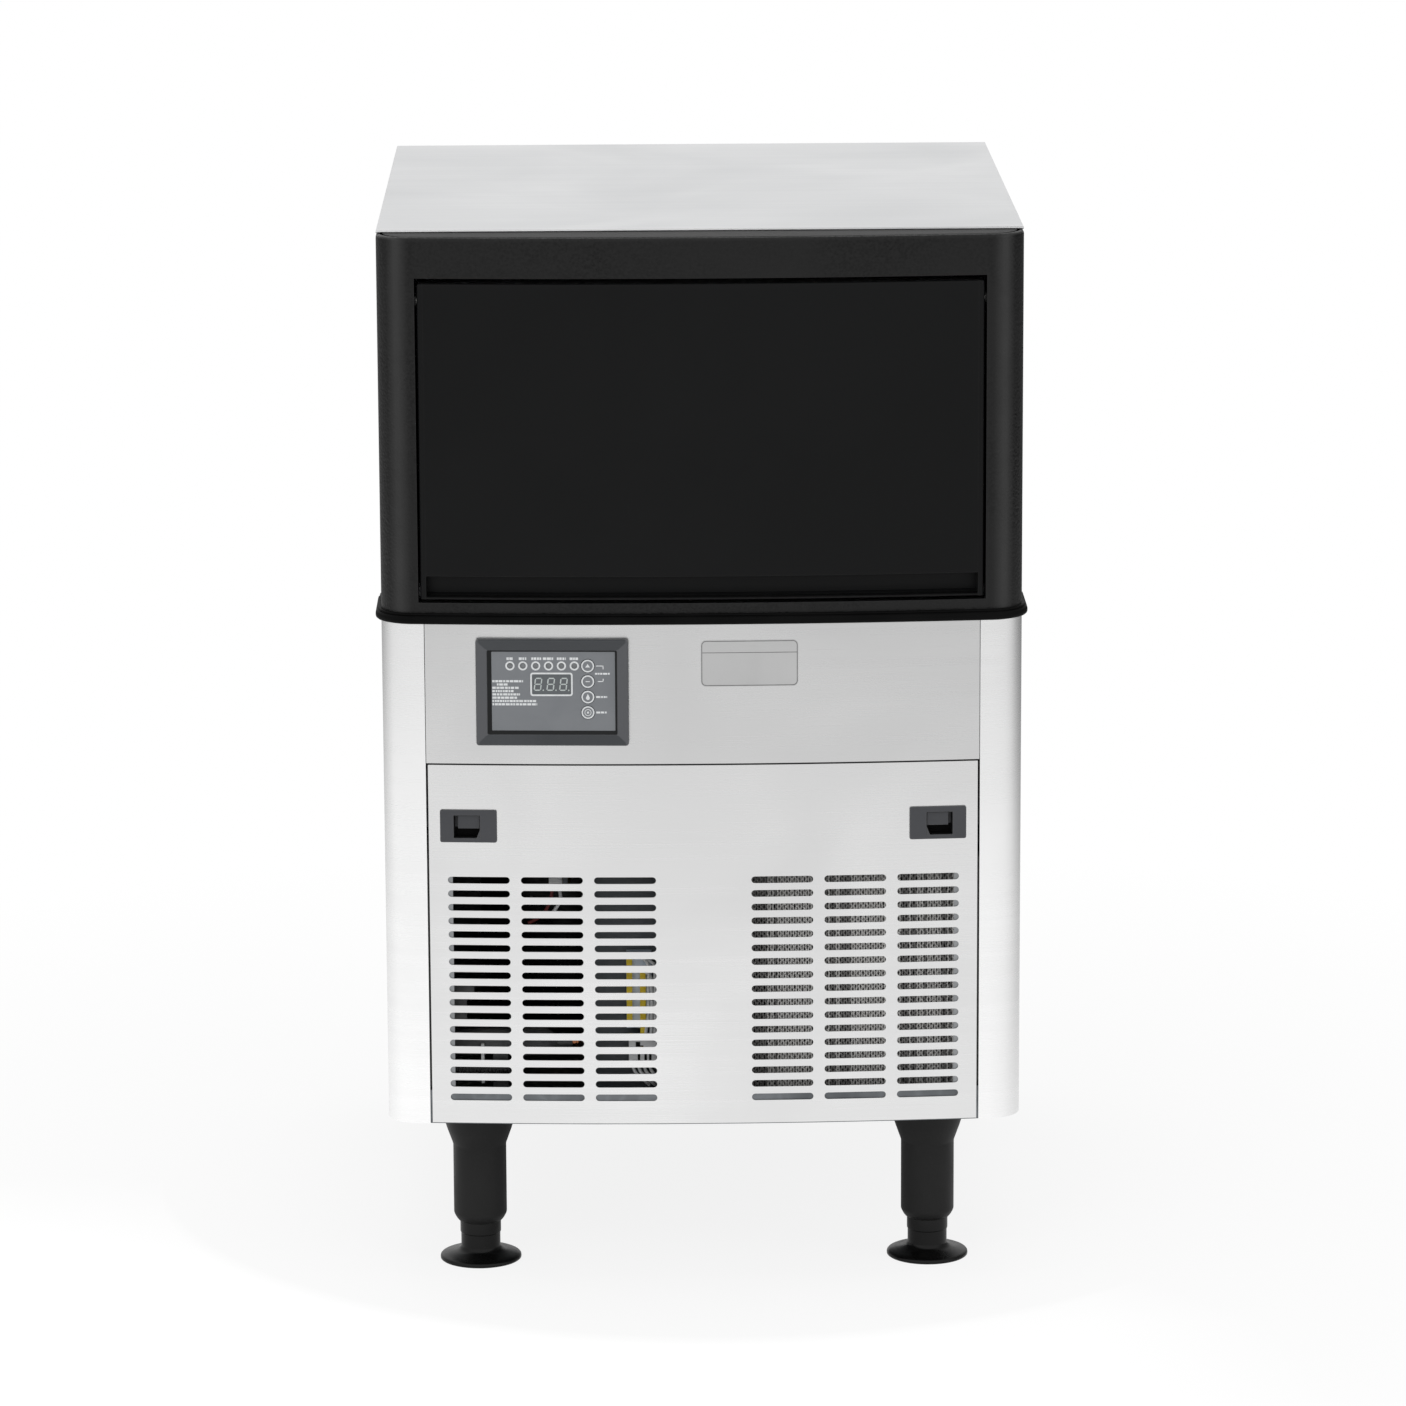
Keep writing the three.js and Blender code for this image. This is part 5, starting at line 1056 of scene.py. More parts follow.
    def service_panel(self) -> None:
        """Bowed panel with its slots and the holes behind the latches."""
        half = self.post_x - 1.7
        (first, highest), (across, down) = self.slot_first, self.slot_pitch
        holes = [
            self.slot(side * (first + column * across), highest - row * down)
            for side in (-1, 1) for column in range(self.slot_columns) for row in range(self.slot_rows)
        ]
        (x0, x1), (low, high) = self.latch_hole
        for side in (-1, 1):
            cx, _, cz = SlideLatch(side).centre()
            ends = sorted((cx + side * x0, cx + side * x1))
            holes.append(rectangle(ends, (cz + low, cz + high)))
        form = Form().plate(rectangle((-half, half), (self.bottom + 1.0, self.panel_top)), holes, SHEET)
        form.build("slotted_panel", PANEL_STEEL, replaces=["service_panel"])

    def rear(self) -> None:
        """Rear panel's finish and the screws round its edge."""
        dress(GALVANISED, "rear_panel")
        form = Form()
        screw_x, span = self.side_screws
        places = [(side * screw_x, z) for side in (-1, 1) for z in spread(*span, 5)]
        places += [(x, z) for z in self.end_screws for x in (-120.0, 0.0, 120.0)]
        head = [(4.2, REAR - 0.4), (4.2, REAR), (3.9, REAR + 0.6), (2.6, REAR + 1.5), (1.2, REAR + 1.7)]
        for x, z in places:
            form.lathe(head, (x, 0.0, z), Axis.Y, 20)
            for a, b in ((2.4, 0.35), (0.35, 2.4)):
                form.box((x - a, x + a), (REAR + 1.2, REAR + 1.75), (z - b, z + b))
        form.build("rear_screws", NICKEL)


@dataclass
class FrontFrame:
    """Moulded front frame and the bead under it."""

    bottom: float = 541.0
    opening: tuple[Flat, Flat] = ((-220.2, 220.2), (549.0, 802.6))
    top: float = 834.0
    rounding: float = 3.0
    wall: float = 2.5
    reach: float = 55.0
    pivot: Point = (0.0, -267.34, 784.5)

    def stations(self) -> list[float]:
        """X of the points on the bowed front."""
        return spread(*self.opening[0], 57)

    def build(self) -> None:
        """Makes the frame and the bead."""
        self.shell()
        self.bead()

    def shell(self) -> None:
        """Frame round the door, with a rounded upper edge, ledge, sill and returns."""
        back = FRONT + self.reach
        (x0, x1), (z0, z1) = self.opening
        rows = [(0.0, self.bottom), (0.0, z0), (0.0, z1), (0.0, self.top - self.rounding)]
        for i in range(1, 7):
            angle = math.pi / 2 * i / 6
            inset = self.rounding * (1 - math.cos(angle))
            rows.append((inset, self.top - self.rounding + self.rounding * math.sin(angle)))
        form = Form()
        lines = [wrap_line(inset, back, self.stations()) for inset, _ in rows]
        inner = [wrap_line(inset + self.wall, back, self.stations()) for inset, _ in rows]
        count, depth = len(lines[0]), len(rows)
        points = [(*lines[j][i], rows[j][1]) for j in range(depth) for i in range(count)]
        points += [(*inner[j][i], rows[j][1]) for j in range(depth) for i in range(count)]
        size = count * depth
        kept = []
        for j in range(depth - 1):
            for i in range(count - 1):
                xs = (lines[0][i][0], lines[0][i + 1][0])
                if j == 1 and min(xs) > x0 - 0.01 and max(xs) < x1 + 0.01 and lines[0][i][1] < FRONT:
                    continue
                kept.append((j * count + i, j * count + i + 1, (j + 1) * count + i + 1, (j + 1) * count + i))
        uses: dict[tuple[int, int], tuple[int, int]] = {}
        for face in kept:
            for a, b in zip(face, face[1:] + face[:1]):
                key = (min(a, b), max(a, b))
                if key in uses:
                    del uses[key]
                else:
                    uses[key] = (a, b)
        faces = kept + [tuple(size + i for i in reversed(face)) for face in kept]
        faces += [(a, b, size + b, size + a) for a, b in uses.values()]
        form.add(points, faces)
        # The top ledge takes the lighter copy of the frame's plastic: painted light from above.
        ledge = wrap_line(self.rounding, FRONT + 3.0, self.stations())
        Form().prism(ledge, (self.top - self.wall, self.top)).build("frame_ledge", LEDGE_LIGHT)
        root = bow_y(x1, self.wall / 2)
        for side in (-1, 1):
            xs = on_side(side, x1, x1 + self.wall)
            form.box(xs, (root, FRONT - 4.0), (z0 - self.wall, z1 + self.wall))
            form.rod(Axis.X, 6.0, (side * (x1 + 1.2), side * (x1 + 10.5)), self.pivot)
            bush = rectangle((3.1, 5.2), (side * (x1 - 1.4), side * x1))
            form.lathe(bush, self.pivot, Axis.X, 28, closed=True)
        sill = [(x, bow_y(x, self.wall / 2)) for x in self.stations()]
        form.prism([*sill, (x1, FRONT - 4.0), (x0, FRONT - 4.0)], (z0 - self.wall, z0))
        form.build("front_frame", FASCIA, replaces=["fascia_frame"])

    def bead(self) -> None:
        """Glossy rounded strip with a fine groove near its top."""
        profile = [
            (2.5, 532.5), (-1.5, 532.5), (-3.2, 532.8), (-4.1, 533.6), (-4.5, 534.8), (-4.5, 536.4),
            (-4.2, 537.6), (-3.5, 538.5), (-2.6, 538.9), (-2.2, 539.3), (-2.6, 539.7), (-2.8, 540.2),
            (-2.4, 540.8), (-1.6, 541.0), (2.5, 541.0),
        ]
        form = Form().wrap(profile, FRONT + self.reach, self.stations())
        form.build("glossy_bead", BEAD, replaces=["trim_bead"], smooth=60.0)


@dataclass
class Door:
    """Top-hung bin door with a finger channel across its foot."""

    half: float = 218.5
    bottom: float = 551.3
    top: float = 798.5
    recess: float = 1.0
    wall: float = 2.5
    end_wall: float = 4.5
    channel: Flat = (553.3, 569.4)
    channel_depth: float = 12.0
    rounding: float = 1.6
    back: float = field(default_factory=lambda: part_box("door_shell")[1].y / MM)

    def front(self, x: float, inset: float) -> float:
        """Y of the door's face at x, moved back by inset."""
        return bow_y(x, self.recess + inset)

    def section(self, x: float, open_foot: bool, drawn: float = 0.0) -> list[Point]:
        """Closed section of the door across its width.

        Args:
            x: Where the section is taken.
            open_foot: Whether the section has the channel and is hollow.
            drawn: How far the section is drawn in, at a rounded end.

        Returns:
            The section's points.
        """
        r = self.rounding
        top, bottom = self.top - drawn, self.bottom + drawn
        line = [(self.back, top)]
        for i in range(6):
            angle = math.pi / 2 * i / 5
            line.append((self.front(x, drawn + r * (1 - math.sin(angle))), top - r * (1 - math.cos(angle))))
        low, high = self.channel
        if open_foot:
            deep = self.channel_depth
            steps = [
                (0.0, high + 1.0), (0.3, high + 0.3), (1.0, high), (deep - 2, high), (deep, high - 2),
                (deep, low + 2), (deep - 2, low), (0.8, low), (0.15, low - 0.5), (0.15, bottom + 0.5),
                (0.8, bottom),
            ]
        else:
            heights = (high + 1.0, high + 0.3, high, high - 0.5, high - 1.0, low + 2, low + 1, low + 0.3)
            steps = [(drawn, max(z, bottom + 0.8)) for z in (*heights, low - 0.5)]
            steps += [(drawn + 0.2, bottom + 0.3), (drawn + 0.8, bottom)]
        line += [(self.front(x, inset), z) for inset, z in steps]
        line.append((self.back, bottom))
        if open_foot:
            sill, lintel = high + self.wall, self.top - self.wall
            inside = self.front(x, self.wall)
            line += [(self.back, sill), (inside, sill), (inside, lintel), (self.back, lintel)]
        return [(x, y, z) for y, z in line]

    def build(self) -> None:
        """Makes the door's shell, its inner panel's gasket and its pins."""
        form = Form()
        inner, r = self.half - self.end_wall, self.rounding
        form.loft([self.section(x, True) for x in spread(-inner, inner, 55)])
        for side in (-1, 1):
            stations = [(inner, 0.0), (self.half - r, 0.0)]
            for i in range(1, 5):
                angle = math.pi / 2 * i / 4
                stations.append((self.half - r * (1 - math.sin(angle)), r * (1 - math.cos(angle))))
            form.loft([self.section(side * x, False, drawn) for x, drawn in stations])
        form.build("bin_door", DOOR, body="door", replaces=["door_shell"])
        dress(LINER, "door_inner_panel")
        low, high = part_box("door_inner_panel")
        y = high.y / MM
        rings = []
        for inset, depth in ((4.0, -0.4), (4.0, 0.0), (12.0, 0.0), (12.0, -0.4)):
            half = ((high.x - low.x) / MM / 2 - inset, (high.z - low.z) / MM / 2 - inset)
            rings.append(rounded_rect(half, 6.0, y + depth, (0.0, (high.z + low.z) / MM / 2)))
        Form().loft(rings, joined=True).build("door_gasket", RUBBER, body="door")
        for side, hand in ((-1, "left"), (1, "right")):
            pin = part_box(f"door_pin_{hand}")
            span = (pin[0].x / MM, pin[1].x / MM)
            centre = (0.0, (pin[0].y + pin[1].y) / MM / 2, (pin[0].z + pin[1].z) / MM / 2)
            rod = Form().rod(Axis.X, 3.0, span, centre)
            rod.build(f"steel_pin_{hand}", NICKEL, replaces=[f"door_pin_{hand}"])


@dataclass
class ControlPanel:
    """Bezel, membrane, display, indicator lamps and keys on the front strip."""

    centre = (-116.85, -34.41 + DATUM_Y, 479.2)
    angle = math.radians(-2.691)
    half: Flat = (59.4, 42.2)
    face: float = -2.0
    print_depth: float = 0.06
    lamp_x: tuple[float, ...] = (-32.7, -22.7, -12.7, -2.7, 7.3, 17.3)
    lamp_z: float = 20.9
    captions: tuple[Flat, ...] = (
        (-32.7, 5.4), (-22.7, 6.2), (-12.2, 7.6), (-3.0, 8.0), (7.3, 7.0), (17.0, 6.6),
    )
    row_start: Flat = (-46.6, 8.7)
    row_pitch: float = 2.62
    row_lengths: tuple[float, ...] = (24.0, 10.5, 20.5, 16.5, 21.5, 19.5, 34.0, 34.8)
    key_x: float = 27.7
    key_z: tuple[float, ...] = (20.9, 8.6, -3.7, -16.0)
    display: Flat = (-0.5, 6.3)
    display_half: Flat = (16.5, 9.3)
    # Widths of the dark inner rim at the left, right, top and bottom: painted shade, widest where the shade
    # falls.
    rim: tuple[float, float, float, float] = (3.4, 1.6, 1.2, 2.8)

    @property
    def ink(self) -> Flat:
        """Depths of the print on the membrane."""
        return (self.face - self.print_depth, self.face)

    def matrix(self) -> Matrix:
        """Place and turn of the panel on the bowed strip."""
        return Matrix.Translation(self.centre) @ Matrix.Rotation(self.angle, 4, "Z")

    def build(self) -> None:
        """Makes the panel."""
        self.bezel()
        self.prints()
        self.digits()
        self.keys()
        dress(MEMBRANE, "control_membrane")
        dress(DISPLAY, "display_window")
        dress(LAMP, "indicator_lights")
        dress(BOARD, "control_board")

    def bezel(self) -> None:
        """Frame with a raised outer ridge, a sloping border and a deep inner wall, inside which a near-black
        rim, widest at the left and bottom, is painted shade.
        """
        section = [
            (0.0, 0.0, 2.2), (0.0, -3.3, 2.2), (0.35, -4.3, 2.0), (1.0, -4.85, 1.8), (1.8, -5.0, 1.6),
            (2.8, -4.85, 1.4), (7.6, -4.15, 0.8), (8.5, -3.9, 0.8), (8.9, -3.4, 0.8), (9.1, -0.3, 0.8),
            (12.5, -0.2, 0.8), (12.5, 13.8, 0.8), (4.2, 13.8, 1.0), (4.2, 0.1, 1.0),
        ]
        rings = [
            rounded_rect((self.half[0] - inset, self.half[1] - inset), radius, y)
            for inset, y, radius in section
        ]
        form = Form().loft(rings, joined=True).turned(self.matrix())
        form.build("panel_bezel", BEZEL, replaces=["control_bezel"], smooth=32.0)
        outer = (self.half[0] - 8.9, self.half[1] - 8.9)
        left, right, top, bottom = self.rim
        inner = (outer[0] - (left + right) / 2, outer[1] - (top + bottom) / 2)
        middle = ((left - right) / 2, (bottom - top) / 2)
        rings = [
            rounded_rect(outer, 0.8, -3.4), rounded_rect(inner, 0.6, -2.1, middle),
            rounded_rect(inner, 0.6, -2.02, middle), rounded_rect(outer, 0.8, -2.02),
        ]
        Form().loft(rings, joined=True).turned(self.matrix()).build("bezel_shade_rim", INNER_RIM_SHADE, smooth=20.0)

    def ring(self, form: Form, outer: float, inner: float, centre: Flat, y: float, sides: int = 32) -> None:
        """Adds a printed ring to a form."""
        x, z = centre
        profile = rectangle((inner, outer), (y - self.print_depth, y))
        form.lathe(profile, (x, 0.0, z), Axis.Y, sides, closed=True)

    def dashes(self, form: Form, start: Flat, length: float, height: float, rng: random.Random) -> None:
        """Adds a row of short printed dashes of uneven length.

        Args:
            form: The form that takes them.
            start: X and Z of the row's left end.
            length: Length of the row.
            height: Height of a dash.
            rng: Source of the uneven lengths.
        """
        x, z = start
        end = x + length
        while x < end - 0.5:
            run = min(rng.uniform(1.2, 3.4), end - x)
            form.box((x, x + run), self.ink, (z - height / 2, z + height / 2))
            x += run + rng.uniform(0.35, 0.6)

    def prints(self) -> None:
        """White marks on the membrane: lamp rings, display outline, lead lines and rows of dashes."""
        rng = random.Random(7)
        form = Form()
        for x in self.lamp_x:
            self.ring(form, 3.6, 2.3, (x, self.lamp_z), self.face)
        for x, width in self.captions:
            self.dashes(form, (x - width / 2, self.lamp_z + 5.7), width, 2.0, rng)
        dx, dz = self.display
        half = self.display_half
        outer = flat_loop(rounded_rect(half, 2.0, 0.0, (dx, dz)))
        inner = flat_loop(rounded_rect((half[0] - 1.3, half[1] - 1.3), 1.0, 0.0, (dx, dz)))
        base, raised = self.face, self.face - 0.35
        frame_line = ((outer, base), (outer, raised), (inner, raised), (inner, base))
        form.loft([[(x, y, z) for x, z in loop] for loop, y in frame_line], joined=True)
        x, z = self.row_start
        for i, length in enumerate(self.row_lengths):
            indent = 3.6 if i == 1 else 0.0
            self.dashes(form, (x + indent, z - i * self.row_pitch), length - indent / 2, 1.7, rng)
        near, far = self.key_x + 6.4, self.key_x + 12.3
        first, second = self.key_z[:2]
        form.box((near, far), self.ink, (first - 0.35, first + 0.35))
        form.box((far - 0.7, far), self.ink, (first - 2.6, first + 0.35))
        form.box((near + 1.4, far), self.ink, (second - 0.35, second + 0.35))
        form.box((far - 0.7, far), self.ink, (second - 0.35, second + 2.2))
        self.dashes(form, (self.key_x + 5.6, (first + second) / 2), 11.5, 1.4, rng)
        for z in self.key_z[2:]:
            self.dashes(form, (near, z), 8.6, 1.5, rng)
        form.turned(self.matrix()).build("panel_marks", PRINT)

    def digits(self) -> None:
        """Three leaning seven-segment figures behind the display's window."""
        form = Form()
        width, height, stroke, lean = 4.9, 9.4, 0.95, 0.12
        y = self.face - 0.05

        def bar(start: Flat, end: Flat, middle: float) -> None:
            """Adds one pointed segment between two points of a figure."""
            a, b = Vector(start), Vector(end)
            along = (b - a).normalized()
            across = Vector((-along.y, along.x)) * stroke / 2
            a, b = a + along * 0.25, b - along * 0.25
            tip = along * stroke / 2
            flat = [a, a + tip + across, b - tip + across, b, b - tip - across, a + tip - across]
            centre = self.display
            placed = [(middle + p.x + lean * p.y, centre[1] + p.y) for p in flat]
            form.loft([[(x, depth, z) for x, z in placed] for depth in (y, y + 0.05)])

        for i in (-1, 0, 1):
            middle = self.display[0] - 0.6 + i * 9.9
            w, h = width / 2, height / 2
            for z in (-h, 0.0, h):
                bar((-w, z), (w, z), middle)
            for x in (-w, w):
                bar((x, -h), (x, 0.0), middle)
                bar((x, 0.0), (x, h), middle)
            form.rod(Axis.Y, 0.6, (y, y + 0.05), (middle + w + 1.6, 0.0, self.display[1] - h), 12)
        form.turned(self.matrix()).build("display_digits", DIGIT)

    def keys(self) -> None:
        """Round keys, each with a printed ring and its own sign."""
        names = ("up", "down", "clean", "select")
        front = self.face - 0.5
        profile = [(4.6, front + 8), (5.2, front + 7.6), (5.3, front + 0.5), (5.1, front + 0.1), (4.7, front)]
        for name, z in zip(names, self.key_z):
            cap = Form().lathe(profile, (self.key_x, 0.0, z), Axis.Y, 40)
            cap.turned(self.matrix()).build(f"{name}_key_cap", MEMBRANE, f"{name}_key", [f"key_{name}"])
            sign = Form()
            self.ring(sign, 5.0, 3.95, (self.key_x, z), front, 40)
            y = (front - self.print_depth, front)
            for outline in self.sign(name):
                sign.loft([[(self.key_x + a, depth, z + b) for a, b in outline] for depth in y])
            if name == "select":
                self.ring(sign, 2.7, 2.15, (self.key_x, z), front, 28)
            sign.turned(self.matrix()).build(f"{name}_key_sign", PRINT, f"{name}_key")

    @staticmethod
    def sign(name: str) -> list[list[Flat]]:
        """Outlines of the sign on a key."""
        if name == "up":
            return [[(-1.9, -1.1), (1.9, -1.1), (0.0, 1.7)]]
        if name == "down":
            return [rectangle((-1.7, 1.7), (-0.35, 0.35))]
        if name == "clean":
            angles = spread(-math.pi * 1.1, 0.1 * math.pi, 12)
            return [[*((1.5 * math.cos(a), -0.8 + 1.5 * math.sin(a)) for a in angles), (0.0, 2.6)]]
        return [rectangle((-0.8, 0.8), (-0.8, 0.8))]


@dataclass
class NoticePlate:
    """Bare foil plate with a rounded border line on the front strip."""

    x: Flat = (-1.5, 74.3)
    z: Flat = (482.9, 519.6)

    def build(self) -> None:
        """Makes the plate and its border."""
        middle = ((self.x[0] + self.x[1]) / 2, (self.z[0] + self.z[1]) / 2)
        half = ((self.x[1] - self.x[0]) / 2, (self.z[1] - self.z[0]) / 2)
        outline = flat_loop(rounded_rect(half, 4.0, 0.0, middle))
        Form().plate(outline, [], 0.35, -0.35).build("foil_plate", FOIL, replaces=["label_plate"])
        form = Form()
        outer = flat_loop(rounded_rect((half[0] - 0.5, half[1] - 0.5), 3.6, 0.0, middle))
        inner = flat_loop(rounded_rect((half[0] - 1.15, half[1] - 1.15), 3.0, 0.0, middle))
        form.plate(outer, [inner], 0.05, -0.39)
        z = self.z[1] - 10.2
        form.plate(rectangle((self.x[0] + 1.0, self.x[1] - 1.0), (z, z + 0.55)), [], 0.05, -0.39)
        form.build("plate_border", FOIL_PRINT)


@dataclass
class SlideLatch:
    """Sprung slide latch near an upper corner of the service panel."""

    side: int
    face: Flat = (22.25, 13.0)
    thickness: float = 1.5
    pocket: tuple[Flat, Flat] = ((-8.9, 11.5), (-9.6, 8.5))
    depth: float = 10.0
    wall: float = 1.5
    travel: float = 7.0
    slit: Flat = (6.2, 8.8)
    lever: Flat = (6.5, 8.5)
    lever_foot: float = -2.2

    def centre(self) -> Point:
        """Middle of the latch on the service panel."""
        return (self.side * 183.42, -30.39 + DATUM_Y, 371.6)

    def matrix(self) -> Matrix:
        """Place and turn of the latch, with X running outward."""
        turn = Matrix.Rotation(self.side * math.radians(4.069), 4, "Z")
        return Matrix.Translation(self.centre()) @ turn @ Matrix.Diagonal((self.side, 1, 1, 1))

    def build(self) -> None:
        """Makes the housing, the painted shade in its pocket and the slider."""
        hand = "left" if self.side < 0 else "right"
        (x0, x1), (z0, z1) = self.pocket
        middle = ((x0 + x1) / 2, (z0 + z1) / 2)
        half = ((x1 - x0) / 2, (z1 - z0) / 2)
        t = self.thickness
        fx, fz = self.face
        rings = [
            rounded_rect((fx, fz), 1.6, 0.0),
            rounded_rect((fx, fz), 1.6, -t + 0.5),
            rounded_rect((fx - 0.2, fz - 0.2), 1.4, -t + 0.15),
            rounded_rect((fx - 0.6, fz - 0.6), 1.2, -t),
            rounded_rect((half[0] + 0.4, half[1] + 0.4), 0.5, -t, middle),
            rounded_rect(half, 0.4, -t + 0.4, middle),
            rounded_rect(half, 0.4, 0.0, middle),
        ]
        form = Form().loft(rings, joined=True)
        deep = x0 - self.travel - t / 2
        w, d = self.wall, self.depth
        form.box((deep - w, deep), (-t / 2, d + w), (z0 - w, z1 + w))
        form.box((deep, x1), (0.0, d + w), (z1, z1 + w))
        form.box((deep, x1), (0.0, d + w), (z0 - w, z0))
        form.box((deep, x1), (d, d + w), (z0, z1))
        form.box((x1, x1 + w), (-t / 2, self.slit[0]), (z0 - w, z1 + w))
        form.box((x1, x1 + w), (self.slit[1], d + w), (z0 - w, z1 + w))
        form.box((x1, x1 + w), self.slit, (z0 - w, -2.5))
        ramp = [(x0, z0), (x0 + 2.6, z0), (x0, z0 + 6.6)]
        form.loft([[(x, y, z) for x, z in ramp] for y in (-t + 0.2, d)])
        form.turned(self.matrix())
        form.build(f"latch_cup_{hand}", LATCH, replaces=[f"latch_housing_{hand}"])
        # Near-black sheets on the pocket's back, floor and outer wall: painted shade in the deep pocket.
        pocket_shade = Form().box((deep + 0.1, x1 - 0.1), (d - 0.4, d - 0.05), (z0 + 0.1, z1 - 0.1))
        pocket_shade.box((x0 + 2.6, x1 - 0.1), (0.2, d - 0.4), (z0 + 0.02, z0 + 0.3))
        pocket_shade.box((x1 - 0.3, x1 - 0.02), (0.2, 6.0), (z0 + 0.3, z1 - 0.1))
        pocket_shade.turned(self.matrix()).build(f"latch_pocket_shade_{hand}", POCKET_SHADE)
        rise = (self.lever_foot, z1 - 0.3)
        slider = Form().box((x0 + 0.3, 8.3), (0.4, 7.2), rise)
        slider.box((x0 + 0.3, 38.0), self.lever, rise)
        slider.turned(self.matrix())
        slider.build(f"latch_thumb_{hand}", THUMB, f"latch_{hand}", [f"latch_slider_{hand}"], bevel=0.5)


@dataclass
class AdjustableLeg:
    """Flared leg sleeve with a levelling foot."""

    corner: str
    sleeve_profile: tuple[Flat, ...] = (
        (16.05, 118.0), (16.05, 32.0), (17.0, 32.0), (17.7, 32.5), (19.2, 34.4), (20.6, 37.0),
        (21.1, 38.4), (21.2, 39.4), (21.2, 94.6), (21.3, 95.6), (21.6, 96.6), (25.2, 106.7), (25.8, 108.4),
        (32.2, 129.0), (32.5, 129.6), (32.5, 130.0), (16.05, 130.0),
    )
    foot_profile: tuple[Flat, ...] = (
        (31.8, 0.0), (32.4, 0.5), (32.5, 1.4), (32.3, 2.6), (31.6, 3.4), (30.0, 4.1), (26.0, 5.0),
        (22.0, 5.9), (19.2, 6.8), (17.4, 7.9), (16.3, 9.4), (15.7, 11.0), (15.7, 21.6), (15.9, 22.0),
        (16.2, 22.2), (16.3, 22.6), (16.3, 31.6), (15.9, 31.98), (15.2, 32.0), (15.2, 80.0),
    )

    def build(self) -> None:
        """Makes the sleeve and the foot."""
        low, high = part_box(f"leg_{self.corner}")
        centre = ((low.x + high.x) / MM / 2, (low.y + high.y) / MM / 2, 0.0)
        corner = self.corner
        sleeve = Form().lathe(self.sleeve_profile, centre, sides=64)
        sleeve.build(f"sleeve_{corner}", LEG, replaces=[f"leg_{corner}"], smooth=50.0)
        foot = Form().lathe(self.foot_profile, centre, sides=64)
        foot.build(f"disc_{corner}", FOOT, f"{corner}_foot", [f"foot_{corner}"], smooth=50.0)


@dataclass
class IceBin:
    """Insulation, liner and the ice-making parts at the back of the bin."""

    def build(self) -> None:
        """Dresses the bin's solids and rounds the visible ones."""
        dress(FOAM, "foam_body")
        dress(LINER, "bin_liner")
        dress(NICKEL, "evaporator")
        dress(CLEAR, "water_curtain")
        dress(WHITE, "water_trough", "float_valve", "float_arm")
        self.spray_tube()
        self.pump()

    def spray_tube(self) -> None:
        """Spray tube over the evaporator, with a row of fine jets along its front."""
        low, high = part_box("spray_tube")
        centre = (0.0, (low.y + high.y) / MM / 2, (low.z + high.z) / MM / 2)
        form = Form().rod(Axis.X, 8.0, (low.x / MM, high.x / MM), centre, 40)
        for x in spread(-138.0, 138.0, 24):
            form.rod(Axis.Y, 1.2, (-8.0, -7.4), (x, centre[1], centre[2]), 10)
        for side in (-1, 1):
            end = side * high.x / MM
            form.rod(Axis.X, 8.0, (end, end - side * 8.0), centre, 40)
        form.build("spray_bar", WHITE, replaces=["spray_tube"])

    def pump(self) -> None:
        """Round pump standing in the trough, with cooling rings and a spout."""
        low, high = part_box("water_pump")
        centre = ((low.x + high.x) / MM / 2, (low.y + high.y) / MM / 2, 0.0)
        z = low.z / MM
        profile = [(18.0, z), (19.6, z + 0.6), (20.0, z + 1.6), (20.0, z + 26.0)]
        for i in range(6):
            base = z + 30.0 + i * 6.0
            profile += [(20.0, base), (18.6, base + 0.8), (18.6, base + 2.4), (20.0, base + 3.2)]
        profile += [(20.0, z + 76.0), (19.0, z + 80.0), (14.0, z + 86.0), (11.0, z + 88.0), (9.0, z + 88.6)]
        profile += [(9.0, z + 103.0), (8.4, z + 103.8), (6.0, z + 104.0)]
        Form().lathe(profile, centre).build("pump_body", WHITE, replaces=["water_pump"])


